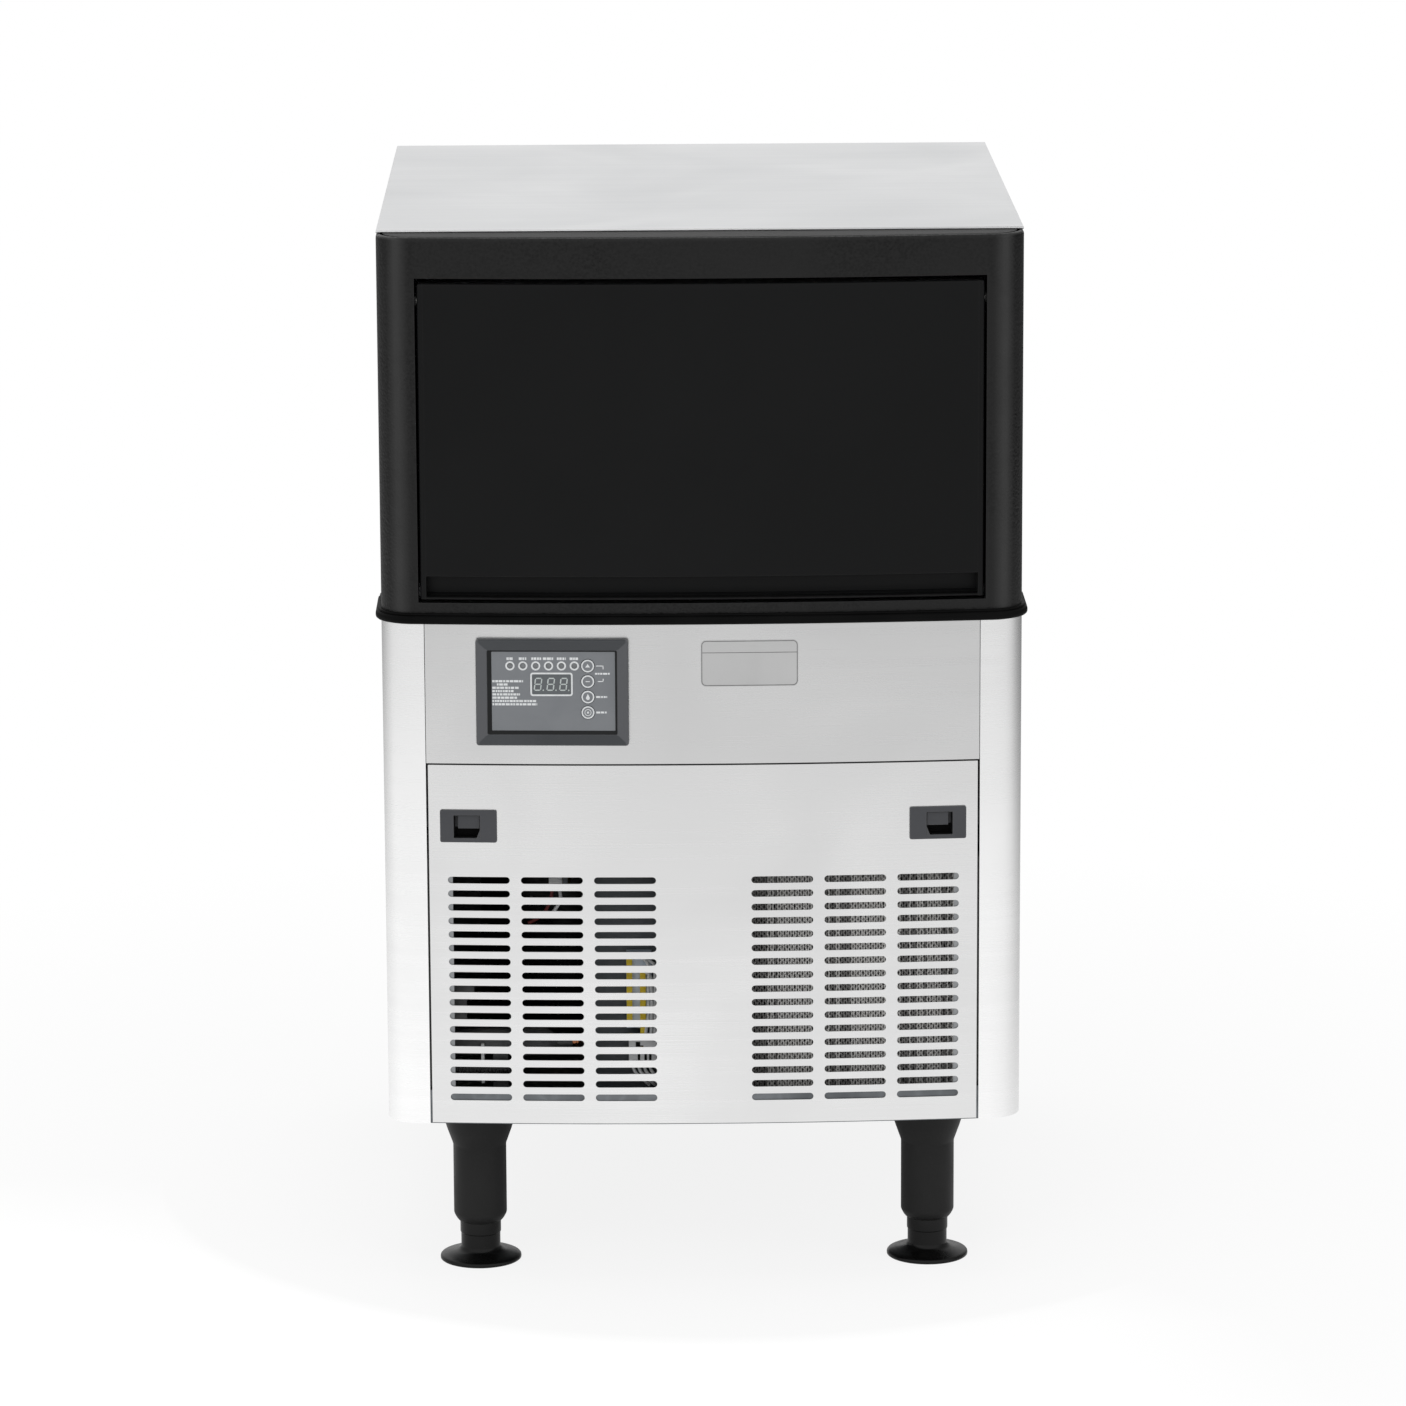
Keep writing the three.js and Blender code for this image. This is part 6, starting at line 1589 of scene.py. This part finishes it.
@dataclass
class CoolingUnit:
    """Condenser, fan, compressor, drier, valve and the pipes between them."""

    fin_pitch: float = 2.0
    fin_thickness: float = 1.3
    fin_wave: float = 0.34
    fin_folds: int = 96
    # Middle, reach and strength of the bands where fins take the darker copy of their finish: painted shade.
    shaded_places: tuple[Point, ...] = (
        (33.0, 30.0, 1.5), (100.0, 22.0, 0.7), (165.0, 12.0, 0.5), (190.0, 10.0, 0.6),
    )
    tube_rows: int = 8
    blades: int = 5
    blade_root: float = 13.0
    blade_length: float = 58.6
    compressor_centre: Point = (-110.0, 81.05, 0.0)
    compressor_feet: Flat = (83.0, 53.0)
    compressor_stubs: tuple[Flat, ...] = ((60.0, -30.0), (-40.0, 40.0))
    drier_z: float = 187.2
    pipe_end: Flat = (180.0, -234.95)

    def build(self) -> None:
        """Makes the unit."""
        self.condenser()
        self.fan()
        self.motor()
        self.compressor()
        self.pipes()
        self.drier()
        self.valve()
        dress(GALVANISED, "fan_shroud")

    def condenser(self) -> None:
        """Wavy fins on copper tubes between two steel end plates; bands of fins and the tubes take a darker
        copy of the fin finish, as painted shade.
        """
        low, high = (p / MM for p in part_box("condenser"))
        plates = Form()
        for x0, x1 in ((low.x, low.x + 3.0), (high.x - 3.0, high.x)):
            plates.box((x0, x1), (low.y, high.y), (low.z, high.z))
        plates.build("condenser_plates", STEEL, replaces=["condenser"], bevel=0.4)
        rng = random.Random(11)
        fins = {FINS: Form(), SHADED_FINS: Form()}
        count = int((high.x - low.x - 6.0) / self.fin_pitch)
        heights = spread(low.z + 3.0, high.z - 3.0, self.fin_folds)
        y0, y1 = low.y + 3.0, high.y - 3.0
        for k in range(count):
            x = low.x + 3.0 + (k + 0.5) * self.fin_pitch
            share = max(top * (1 - abs(x - middle) / reach) for middle, reach, top in self.shaded_places)
            shaded = rng.random() < share
            lean = rng.uniform(-0.3, 0.3)
            rings = []
            for i, z in enumerate(heights):
                shift = self.fin_wave * (1 if (i + k) % 2 else -1) + lean * math.sin(i / 5 + k)
                a, b = x + shift - self.fin_thickness / 2, x + shift + self.fin_thickness / 2
                rings.append([(a, y0, z), (b, y0, z), (b, y1, z), (a, y1, z)])
            fins[SHADED_FINS if shaded else FINS].loft(rings)
        fins[FINS].build("condenser_fins", FINS, smooth=20.0)
        fins[SHADED_FINS].build("condenser_fins_shaded", SHADED_FINS, smooth=20.0)
        tubes = Form()
        for row in range(self.tube_rows):
            z = low.z + (row + 0.5) * (high.z - low.z) / self.tube_rows
            for y in (low.y + 13.0, high.y - 13.0):
                tubes.rod(Axis.X, 4.0, (low.x + 0.5, high.x - 0.5), (0.0, y, z), 14)
        # The tubes take the darker copy of the fin finish: painted shade behind the fins.
        tubes.build("condenser_tubes", SHADED_FINS)
        x, y = self.pipe_end
        stub = Form().rod(Axis.Z, 6.0, (high.z - 5.8, high.z), (x, y, 0.0), 20)
        stub.build("condenser_inlet", COPPER)

    def fan(self) -> None:
        """Hub with five swept and pitched blades."""
        _, high = (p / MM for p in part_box("fan_blade"))
        joint = next(j for j in frame["joints"] if j["name"] == "fan_spin")
        centre = Vector(joint["pos_m"]) / MM
        form = Form()
        section = [
            (-1.0, 0.0), (-0.5, 0.8), (0.0, 1.0), (0.5, 0.8), (1.0, 0.0), (0.5, -0.8), (0.0, -1.0),
            (-0.5, -0.8),
        ]
        for blade in range(self.blades):
            base = 2 * math.pi * blade / self.blades
            rings = []
            for share in spread(0.0, 1.0, 11):
                radius = self.blade_root + share * self.blade_length
                pitch = math.radians(34.0 - 14.0 * share)
                chord = 22.0 + 20.0 * math.sin(math.pi * min(1.0, share * 0.75 + 0.12))
                sweep = base + 0.16 * share * share
                ring = []
                for along, thick in section:
                    run = along * chord / 2 * math.cos(pitch)
                    deep = along * chord / 2 * math.sin(pitch) + thick * 0.8
                    angle = sweep + run / radius
                    x, z = radius * math.cos(angle), radius * math.sin(angle)
                    ring.append((centre.x + x, centre.y + deep, centre.z + z))
                rings.append(ring)
            form.loft(rings)
        hub = [(13.0, -8.0), (15.2, -7.2), (16.0, -5.6), (16.0, 7.4), (15.4, 8.0)]
        form.lathe(hub, tuple(centre), Axis.Y, 40)
        form.rod(Axis.Y, 3.0, (0.0, high.y - centre.y), tuple(centre), 20)
        form.build("fan_wheel", FAN_PLASTIC, "fan", ["fan_blade"])

    def motor(self) -> None:
        """Fan motor can with a groove round it and four arms to the shroud."""
        low, high = (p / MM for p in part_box("fan_motor"))
        x, z = (low.x + high.x) / 2, (low.z + high.z) / 2
        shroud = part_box("fan_shroud")[1].y / MM
        front, back = high.y - 46.0, high.y
        profile = [
            (3.2, front), (34.0, front), (37.0, front + 1.2), (38.0, front + 3.6), (38.0, front + 16.0),
            (37.2, front + 16.6), (37.2, front + 18.4), (38.0, front + 19.0), (38.0, back - 5.0),
            (36.6, back - 2.0), (33.0, back - 0.4), (12.0, back), (3.2, back),
        ]
        form = Form().lathe(profile, (x, 0.0, z), Axis.Y, 56)
        for eighth in (1, 3, 5, 7):
            arm = Form().box((19.0, 84.0), (front, front + 4.0), (-6.0, 6.0))
            arm.box((80.0, 84.0), (shroud + 0.3, front + 4.0), (-6.0, 6.0))
            arm.turned(Matrix.Translation((x, 0.0, z)) @ Matrix.Rotation(eighth * math.pi / 4, 4, "Y"))
            form.add(arm.points, arm.faces)
        form.build("motor_can", BLACK_PAINT, replaces=["fan_motor"], smooth=40.0)

    def compressor(self) -> None:
        """Domed compressor shell with its weld seam, plate, rubber feet, cover and stubs."""
        x, y, _ = self.compressor_centre
        base, height, radius = 145.2, 176.0, 76.0
        shell = (
            (30.0, 0.0), (52.0, 2.5), (66.0, 10.0), (73.0, 20.0), (75.6, 32.0), (75.6, 92.0), (76.0, 93.0),
            (76.0, 99.0), (75.4, 100.0), (74.6, 140.0), (71.0, 155.0), (62.0, 166.0), (46.0, 173.0),
        )
        profile = [(r, base + rise) for r, rise in shell]
        profile += [(20.0, base + height - 0.4), (1.0, base + height)]
        form = Form().lathe(profile, (x, y, 0.0), sides=72)
        form.box((x - 95.0, x + 95.0), (y - 65.0, y + 65.0), (base - 3.0, base + 3.0))
        cover = base + height / 2
        form.box((x - 96.0, x - radius / 2), (y - 22.0, y + 22.0), (cover - 28.0, cover + 28.0))
        form.build("compressor_shell", BLACK_PAINT, replaces=["compressor"], smooth=35.0)
        feet = Form()
        foot = [(12.0, PAN_TOP), (12.0, 133.0), (10.0, 134.6), (10.0, 138.0), (12.0, 139.6), (12.0, 142.2)]
        out_x, out_y = self.compressor_feet
        for sx, sy in ((-1, -1), (-1, 1), (1, -1), (1, 1)):
            feet.lathe(foot, (x + sx * out_x, y + sy * out_y, 0.0), sides=28)
        feet.build("compressor_feet", RUBBER)
        stubs = Form()
        for px, py in self.compressor_stubs:
            stubs.rod(Axis.Z, 6.0, (257.8, 331.2), (x + px, y + py, 0.0), 24)
        stubs.build("compressor_stubs", COPPER)

    def pipes(self) -> None:
        """Discharge, suction and liquid pipes on their routes."""
        x, y, _ = self.compressor_centre
        (ex, ey), z = self.pipe_end, self.drier_z
        dx, dy, run, bend = x + 60.0, y - 30.0, 401.2, 70 / 3
        routes = {
            "discharge_pipe": (4.0, [
                (dx, dy, 331.5), (dx, dy, 331.5 + bend), (dx + bend / 2, dy - bend / 2, run - bend / 2),
                (dx + 2 * bend, dy - 2 * bend, run), (ex - bend, ey + bend, run), (ex, ey, run - bend),
                (ex, ey, 345.5 + bend), (ex, ey, 345.5),
            ]),
            "suction_pipe": (6.0, [
                (x - 40, y + 40, 331.5), (x - 40, y + 40, 361.5), (x - 18, y + 62, 401.7),
                (x - 18, y + 62, 431.7),
            ]),
            "liquid_pipe": (3.0, [
                (-103.7, -243.95, z), (-100.7, -243.95, z), (-97.7, -234.95, z),
                (-97.7, -168.95, 159.2), (-85.3, -159.95, 159.2), (-30.0, -159.95, 159.2),
                (-18.0, -171.95, 159.2), (-15.0, -233.95, 159.2), (20.7, -245.95, 159.2),
                (32.7, -245.95, 159.2),
            ]),
        }
        for name, (radius, route) in routes.items():
            form = Form().tube(smooth_route(route), radius, 18)
            form.build(f"bent_{name}", COPPER, replaces=[name], smooth=50.0)

    def drier(self) -> None:
        """Dark grey filter drier with tapered ends on its saddle, and the parts in front of it."""
        low, high = (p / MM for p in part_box("filter_drier"))
        y, z = (low.y + high.y) / 2, self.drier_z
        x0, x1 = low.x, high.x
        taper = ((3.6, 0.0), (4.0, 0.4), (4.0, 12.0), (5.4, 13.6), (9.0, 17.0), (11.0, 20.5))
        profile = [(r, x0 + run) for r, run in taper] + [(r, x1 - run) for r, run in reversed(taper)]
        Form().lathe(profile, (0.0, y, z), Axis.X, 36).build("drier_shell", DRIER, replaces=["filter_drier"])
        middle = (x0 + x1) / 2
        saddle = Form().box((middle - 6.0, middle + 6.0), (y - 9.0, y + 11.0), (PAN_TOP, z - 2.0))
        saddle.build("drier_saddle", DRIER, bevel=0.5)
        clip = Form().box((-176.2, -173.6), (y - 17.0, y - 12.0), (158.0, 190.0))
        clip.build("drier_clip", WHITE, bevel=0.4)
        switch = Form().box((-206.0, -181.0), (y - 17.0, y - 6.0), (231.0, 238.5))
        switch.box((-206.0, -187.0), (y - 16.0, y - 6.0), (205.0, 231.2))
        switch.build("pressure_switch", DRIER, bevel=0.6)
        sleeve = [(4.0, -206.0)]
        for i in range(20):
            start = -206.0 + i * 3.0
            sleeve += [(5.2, start + 0.3), (5.2, start + 1.4), (4.0, start + 1.7), (4.0, start + 2.9)]
        form = Form().lathe(sleeve, (0.0, y - 17.0, 171.0), Axis.X, 20)
        form.build("wire_sleeve", FAN_PLASTIC, smooth=30.0)

    def valve(self) -> None:
        """Hot gas valve: brass body, square coil and a hanging strap."""
        low, high = (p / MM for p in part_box("hot_gas_valve"))
        x, y = (low.x + high.x) / 2, (low.y + high.y) / 2
        body = Form().rod(Axis.Z, 8.0, (low.z, low.z + 34.0), (x, y, 0.0), 28)
        body.build("valve_body", BRASS, replaces=["hot_gas_valve"])
        coil = Form().box((x - 13.0, x + 13.0), (y - 13.0, y + 13.0), (low.z + 26.0, low.z + 50.0))
        coil.build("valve_coil", WHITE, bevel=1.2)
        plug = Form().box((x - 9.6, x + 1.0), (y - 13.5, y - 8.5), (low.z - 4.0, low.z + 12.0))
        plug.build("valve_plug", WHITE, bevel=0.5)
        clamp = Form().box((x + 1.3, x + 5.4), (y - 13.0, y - 8.5), (low.z - 4.0, low.z + 12.0))
        clamp.build("valve_clamp", GREY_PAINT, bevel=0.4)
        white = [(-1.5, -11.0, low.z - 3.0), (-0.5, -12.0, 303.0), (-4.5, -11.0, 295.0), (-10.0, -8.0, 288.0)]
        red = [(-7.0, -11.0, low.z - 3.0), (-9.0, -10.0, 300.0), (-16.0, -10.0, 289.0), (-26.0, -8.0, 283.0)]
        for name, finish, radius, lead in (("white", WHITE_WIRE, 1.4, white), ("red", RED_WIRE, 1.3, red)):
            route = [(x + right, y + back, z) for right, back, z in lead]
            form = Form().tube(smooth_route(route, 6), radius, 10)
            form.build(f"valve_lead_{name}", finish, smooth=60.0)
        strap = Form().box((x - 7.0, x + 7.0), (y + 10.0, y + 13.0), (low.z + 26.0, high.z))
        strap.build("valve_strap", GALVANISED, bevel=0.4)


@dataclass
class ElectricalUnit:
    """Electrical box, terminal block and the wiring seen through the slots."""

    ways: int = 6

    def build(self) -> None:
        """Makes the unit."""
        dress(GREY_PAINT, "electrical_box")
        self.terminals()
        self.wires()

    def terminals(self) -> None:
        """Pale terminal strip with two rows of yellow screw covers, and a white plug block below it."""
        low, high = (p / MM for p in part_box("terminal_block"))
        pitch = (high.z - low.z) / self.ways
        body = Form().box((low.x, high.x), (low.y + 3.0, high.y), (low.z, high.z - 4.6))
        for i in range(self.ways):
            z = low.z + (i + 0.5) * pitch
            body.box((low.x, high.x), (low.y + 0.4, low.y + 3.4), (z - 0.4, z + 0.4))
        body.build("terminal_strip", PALE_BLUE, replaces=["terminal_block"], bevel=0.2)
        covers = Form()
        for i in range(self.ways):
            z = low.z + i * pitch
            for x in ([low.x + 0.1] if i else []) + ([high.x - 9.3] if i < self.ways - 1 else []):
                covers.box((x, x + 4.5), (low.y, low.y + 3.2), (z - 4.9, z + 4.9))
        covers.build("terminal_covers", YELLOW, bevel=0.3)
        y = low.y - 4.0
        block = Form().box((-59.5, -37.6), (y, y + 7.0), (176.0, 198.0))
        block.box((-58.0, -39.0), (y + 1.0, y + 7.0), (172.0, 176.2))
        block.build("plug_block", WHITE, bevel=0.6)
        # Dark marks on the plug block's face for its socket holes: painted shade in the holes.
        holes = Form().box((-54.0, -50.5), (y - 0.15, y + 0.3), (187.5, 192.5))
        holes.box((-50.6, -48.0), (y - 0.15, y + 0.3), (187.5, 189.6))
        for x in (-52.5, -47.2, -43.6):
            holes.box((x, x + 2.0), (y - 0.15, y + 0.3), (177.6, 183.0))
        holes.build("plug_hole_shade", POCKET_SHADE)

    def wires(self) -> None:
        """Short fixed wires between the terminals and the plug block."""
        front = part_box("terminal_block")[0].y / MM
        routes = [
            [(-53.0, -0.8, 264.0), (-47.0, -2.6, 259.5), (-43.8, -2.8, 255.0), (-43.9, -2.8, 232.0),
             (-43.9, -2.6, 214.0), (-45.5, -1.6, 203.0), (-46.0, -1.2, 197.5)],
            [(-46.0, -0.8, 249.0), (-42.0, -2.4, 245.0), (-41.2, -2.6, 236.0), (-41.2, -2.6, 214.0),
             (-41.6, -1.6, 203.0), (-42.0, -1.2, 197.5)],
            [(-45.8, -0.8, 259.0), (-39.4, -1.2, 255.0), (-38.5, -2.2, 246.0), (-38.5, -2.2, 214.0),
             (-38.7, -1.6, 203.0), (-39.0, -1.2, 197.5)],
        ]
        routes += [
            [(x, -1.0, 173.5), (x + 1.5, -1.4, 168.0), (x + 9.0, -1.2, 160.0), (x + 13.0, 1.0, 156.0)]
            for x in (-56.5, -52.0, -47.5, -43.0)
        ]
        form = Form()
        for route in routes:
            form.tube(smooth_route([(x, front + back, z) for x, back, z in route], 6), 1.25, 10)
        form.build("white_wires", WHITE_WIRE, smooth=60.0)


@dataclass
class RearFittings:
    """Water inlet valve, drain fitting and pipe, and the cord gland."""

    def build(self) -> None:
        """Makes the fittings."""
        self.inlet()
        self.drain()
        self.gland()

    def inlet(self) -> None:
        """Inlet valve with its coil and a ribbed thread outside the rear panel."""
        low, high = (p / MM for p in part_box("water_inlet_valve"))
        x, z = (low.x + high.x) / 2, 202.0
        block = Form().box((x - 20.0, x + 20.0), (low.y, REAR - 1.3), (z - 20.0, z + 20.0))
        block.build("inlet_block", WHITE, replaces=["water_inlet_valve"], bevel=1.5)
        coil = Form().rod(Axis.Z, 14.0, (z + 19.0, high.z), (x, low.y + 20.0, 0.0), 40)
        coil.build("inlet_coil", BLUE_WIRE)
        end = high.y
        outer = [(12.2, REAR - 6.0), (12.2, REAR + 1.0)]
        y = REAR + 1.6
        while y < end - 1.6:
            outer += [(12.2, y), (13.0, y + 0.6), (13.0, y + 0.9), (12.2, y + 1.5)]
            y += 1.8
        outer += [(12.2, end - 0.5), (11.6, end)]
        profile = [*outer, (8.4, end), (8.0, end - 0.4), (8.0, end - 29.0), (8.4, end - 29.4)]
        thread = Form().lathe(profile, (x, 0.0, z), Axis.Y, 40, closed=True)
        thread.build("inlet_thread", WHITE, smooth=30.0)

    def drain(self) -> None:
        """Drain fitting through the rear panel and the pipe that feeds it."""
        low, high = (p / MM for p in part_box("drain_fitting"))
        x, z = (low.x + high.x) / 2, 192.0
        y0, y1 = low.y, high.y
        profile = [
            (7.5, y0 + 0.3), (7.8, y0), (10.6, y0), (11.0, y0 + 0.4), (11.0, REAR - 4.3), (16.4, REAR - 4.3),
            (17.0, REAR - 3.8), (17.0, REAR - 1.8), (16.4, REAR - 1.3), (11.0, REAR - 1.3), (11.0, REAR),
            (16.6, REAR), (17.0, REAR + 0.4), (17.0, REAR + 2.4), (16.4, REAR + 3.0), (11.0, REAR + 3.0),
            (10.8, REAR + 9.0), (11.0, REAR + 9.4), (10.6, REAR + 13.0), (10.9, REAR + 13.4),
            (10.4, y1 - 3.0), (9.6, y1), (7.8, y1), (7.5, y1 - 0.3),
        ]
        spigot = Form().lathe(profile, (x, 0.0, z), Axis.Y, 44, closed=True)
        spigot.build("drain_spigot", WHITE, replaces=["drain_fitting"], smooth=30.0)
        top, inlet_y, bend = 466.7, 161.45, 40.0
        falls = [
            (inlet_y, top), (inlet_y, top - bend), (inlet_y, z + 2 * bend), (inlet_y, z + bend),
            (inlet_y + bend / 3, z + bend / 3), (inlet_y + bend, z), (y0 - 10.0, z), (y0 - 0.3, z),
        ]
        hose = Form().tube(smooth_route([(120.0, *p) for p in falls], 8), 10.0, 28)
        hose.build("drain_hose", WHITE, replaces=["drain_pipe"], smooth=50.0)

    def gland(self) -> None:
        """Cord gland with its hexagonal nut and rounded dome."""
        low, high = (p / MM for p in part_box("cord_gland"))
        centre = ((low.x + high.x) / 2, 0.0, 202.0)
        outer = [
            (4.6, REAR), (11.4, REAR), (12.0, REAR + 0.6), (12.0, REAR + 6.4), (11.4, REAR + 7.0),
            (4.6, REAR + 7.0),
        ]
        nuts = Form().lathe(outer, centre, Axis.Y, 6, closed=True)
        nuts.lathe(rectangle((4.6, 8.0), (low.y, REAR)), centre, Axis.Y, 32, closed=True)
        nuts.lathe(rectangle((8.1, 12.0), (REAR - 5.3, REAR - 1.3)), centre, Axis.Y, 6, closed=True)
        nuts.build("gland_nuts", FAN_PLASTIC, replaces=["cord_gland"], smooth=30.0)
        profile = [
            (4.5, REAR + 7.0), (11.4, REAR + 7.0), (11.4, REAR + 9.0), (11.0, REAR + 12.0),
            (9.8, high.y - 2.0), (8.2, high.y), (5.2, high.y), (4.5, high.y - 0.6),
        ]
        dome = Form().lathe(profile, centre, Axis.Y, 32, closed=True)
        dome.build("gland_dome", FAN_PLASTIC, smooth=30.0)


@dataclass
class Studio:
    """Camera, soft lamps, pale floor and white surroundings."""

    camera_place: Point = (-0.0660, -5.1365, 1.5185)
    camera_turn: Point = (77.802, 0.264, -0.838)
    lens: float = 163.5
    lamp_target: Point = (0.0, 0.0, 0.5)
    floor_size: float = 60.0

    def build(self) -> None:
        """Makes the studio."""
        self.camera()
        self.lamps()
        self.floor()
        self.world()
        bpy.context.scene.view_settings.view_transform = "Standard"

    def camera(self) -> None:
        """Camera at the photograph's angle."""
        data = bpy.data.cameras.new("camera")
        data.lens = self.lens
        data.sensor_width = 36.0
        data.clip_end = 200.0
        camera = bpy.data.objects.new("camera", data)
        camera.location = self.camera_place
        camera.rotation_euler = [math.radians(a) for a in self.camera_turn]
        bpy.context.scene.collection.objects.link(camera)
        bpy.context.scene.camera = camera

    def lamps(self) -> None:
        """Three large soft lamps in front, above and at the side."""
        for name, place, size, power in (
            ("front_lamp", (-1.6, -3.2, 2.3), (2.2, 2.2), 30.0),
            ("side_lamp", (2.8, -1.6, 1.8), (1.8, 1.8), 14.0),
            ("top_lamp", (0.0, 0.4, 3.4), (2.6, 2.6), 30.0),
        ):
            data = bpy.data.lights.new(name, "AREA")
            data.shape = "RECTANGLE"
            data.size, data.size_y = size
            data.energy = power
            lamp = bpy.data.objects.new(name, data)
            lamp.location = place
            lamp.visible_glossy = False
            aim = Vector(self.lamp_target) - Vector(place)
            lamp.rotation_euler = aim.to_track_quat("-Z", "Y").to_euler()
            bpy.context.scene.collection.objects.link(lamp)

    def floor(self) -> None:
        """Pale floor that shows white, keeps the soft shadow and is dimmer in what mirrors it."""
        half = self.floor_size / 2
        mesh = bpy.data.meshes.new("studio_floor")
        mesh.from_pydata([(*p, 0) for p in rectangle((-half, half), (-half, half))], [], [(0, 1, 2, 3)])
        floor = bpy.data.objects.new("studio_floor", mesh)
        bpy.context.scene.collection.objects.link(floor)
        material = bpy.data.materials.new("pale_floor")
        material.use_nodes = True
        tree = material.node_tree
        graph = Graph(tree)
        tree.nodes.remove(tree.nodes["Principled BSDF"])
        matt = graph.node("BsdfDiffuse", {"Color": (0.9, 0.9, 0.9, 1.0)})
        path = graph.node("LightPath")
        direct = path.outputs["Is Camera Ray"]
        place = graph.node("TexCoord").outputs["Object"]
        away = graph.node("VectorMath", {0: place}, operation="LENGTH").outputs["Value"]
        across, along, _ = graph.node("SeparateXYZ", {0: place}).outputs
        # Mirrored, the floor dims with distance, to the right, behind, and in the cabinet's own shade.
        dim = graph.mapped(away, (1.2, 3.6), (1.10, 0.65))
        on_right = graph.maths("MULTIPLY", graph.mapped(across, (0.3, 0.9), (0.0, 1.0)),
                               graph.mapped(along, (-1.2, 1.2), (0.0, 0.36)))
        dim = graph.maths("MULTIPLY", dim, graph.maths("SUBTRACT", 1.0, on_right))
        for place_of, reach, ends in (
            (across, (-0.5, 0.5), (1.0, 0.93)), (along, (-0.4, 1.2), (1.0, 0.66)),
            (along, (1.2, 2.2), (1.0, 0.7)), (away, (0.15, 0.45), (0.3, 1.0)),
        ):
            dim = graph.maths("MULTIPLY", dim, graph.mapped(place_of, reach, ends))
        strength = graph.maths("MAXIMUM", direct, dim)
        glow = graph.node("Emission", {"Color": (1.0, 1.0, 1.0, 1.0), "Strength": strength})
        mirrored = graph.maths("MAXIMUM", path.outputs["Is Glossy Ray"], path.outputs["Is Transmission Ray"])
        open_floor = graph.maths("MULTIPLY", direct, graph.mapped(away, (0.3, 1.2), (0.86, 1.0)))
        share = graph.maths("MAXIMUM", mirrored, open_floor)
        mixed = graph.node("MixShader", {0: share, 1: matt.outputs[0], 2: glow.outputs[0]})
        tree.links.new(mixed.outputs[0], tree.nodes["Material Output"].inputs["Surface"])
        mesh.materials.append(material)

    def world(self) -> None:
        """White surroundings for the camera and for gloss, greyer to the sides and softer as light."""
        world = bpy.data.worlds.new("white_room")
        bpy.context.scene.world = world
        world.use_nodes = True
        tree = world.node_tree
        graph = Graph(tree)
        background = tree.nodes["Background"]
        path = graph.node("LightPath")
        direction = graph.node("TexCoord").outputs["Generated"]
        axes = graph.node("SeparateXYZ", {0: direction}).outputs
        # Gloss sees white in front, and greyer sides and a darker horizon from beside the cabinet on.
        behind = graph.mapped(axes[1], (-0.5, 0.1), (0.0, 1.0))
        right = graph.maths("MULTIPLY", graph.mapped(axes[0], (0.15, 0.6), (0.0, 0.60)), behind)
        left = graph.maths("MULTIPLY", graph.mapped(axes[0], (-0.75, -0.35), (0.30, 0.0)), behind)
        gloss = graph.maths("SUBTRACT", 0.96, graph.maths("ADD", right, left))
        low = graph.maths("MULTIPLY", graph.mapped(axes[2], (0.02, 0.16), (0.5, 0.0)), behind)
        gloss = graph.maths("SUBTRACT", gloss, low)
        light = graph.maths("ADD", graph.maths("MULTIPLY", path.outputs["Is Glossy Ray"], gloss),
                            graph.maths("MULTIPLY", path.outputs["Is Diffuse Ray"], 0.50))
        direct = graph.maths("MAXIMUM", path.outputs["Is Camera Ray"], path.outputs["Is Transmission Ray"])
        tree.links.new(graph.maths("MAXIMUM", direct, light), background.inputs["Strength"])
        background.inputs["Color"].default_value = (1.0, 1.0, 1.0, 1.0)


def main() -> None:
    """Builds the studio and every sub-assembly in order."""
    logging.basicConfig(level=logging.INFO, format="%(message)s")
    parts = [
        Studio(),
        CabinetShell(),
        FrontFrame(),
        Door(),
        ControlPanel(),
        NoticePlate(),
        SlideLatch(-1),
        SlideLatch(1),
        *(AdjustableLeg(corner) for corner in ("front_left", "front_right", "rear_left", "rear_right")),
        IceBin(),
        CoolingUnit(),
        ElectricalUnit(),
        RearFittings(),
    ]
    for part in parts:
        part.build()
        LOG.info("%s is done", type(part).__name__)


if __name__ == "__main__":
    main()
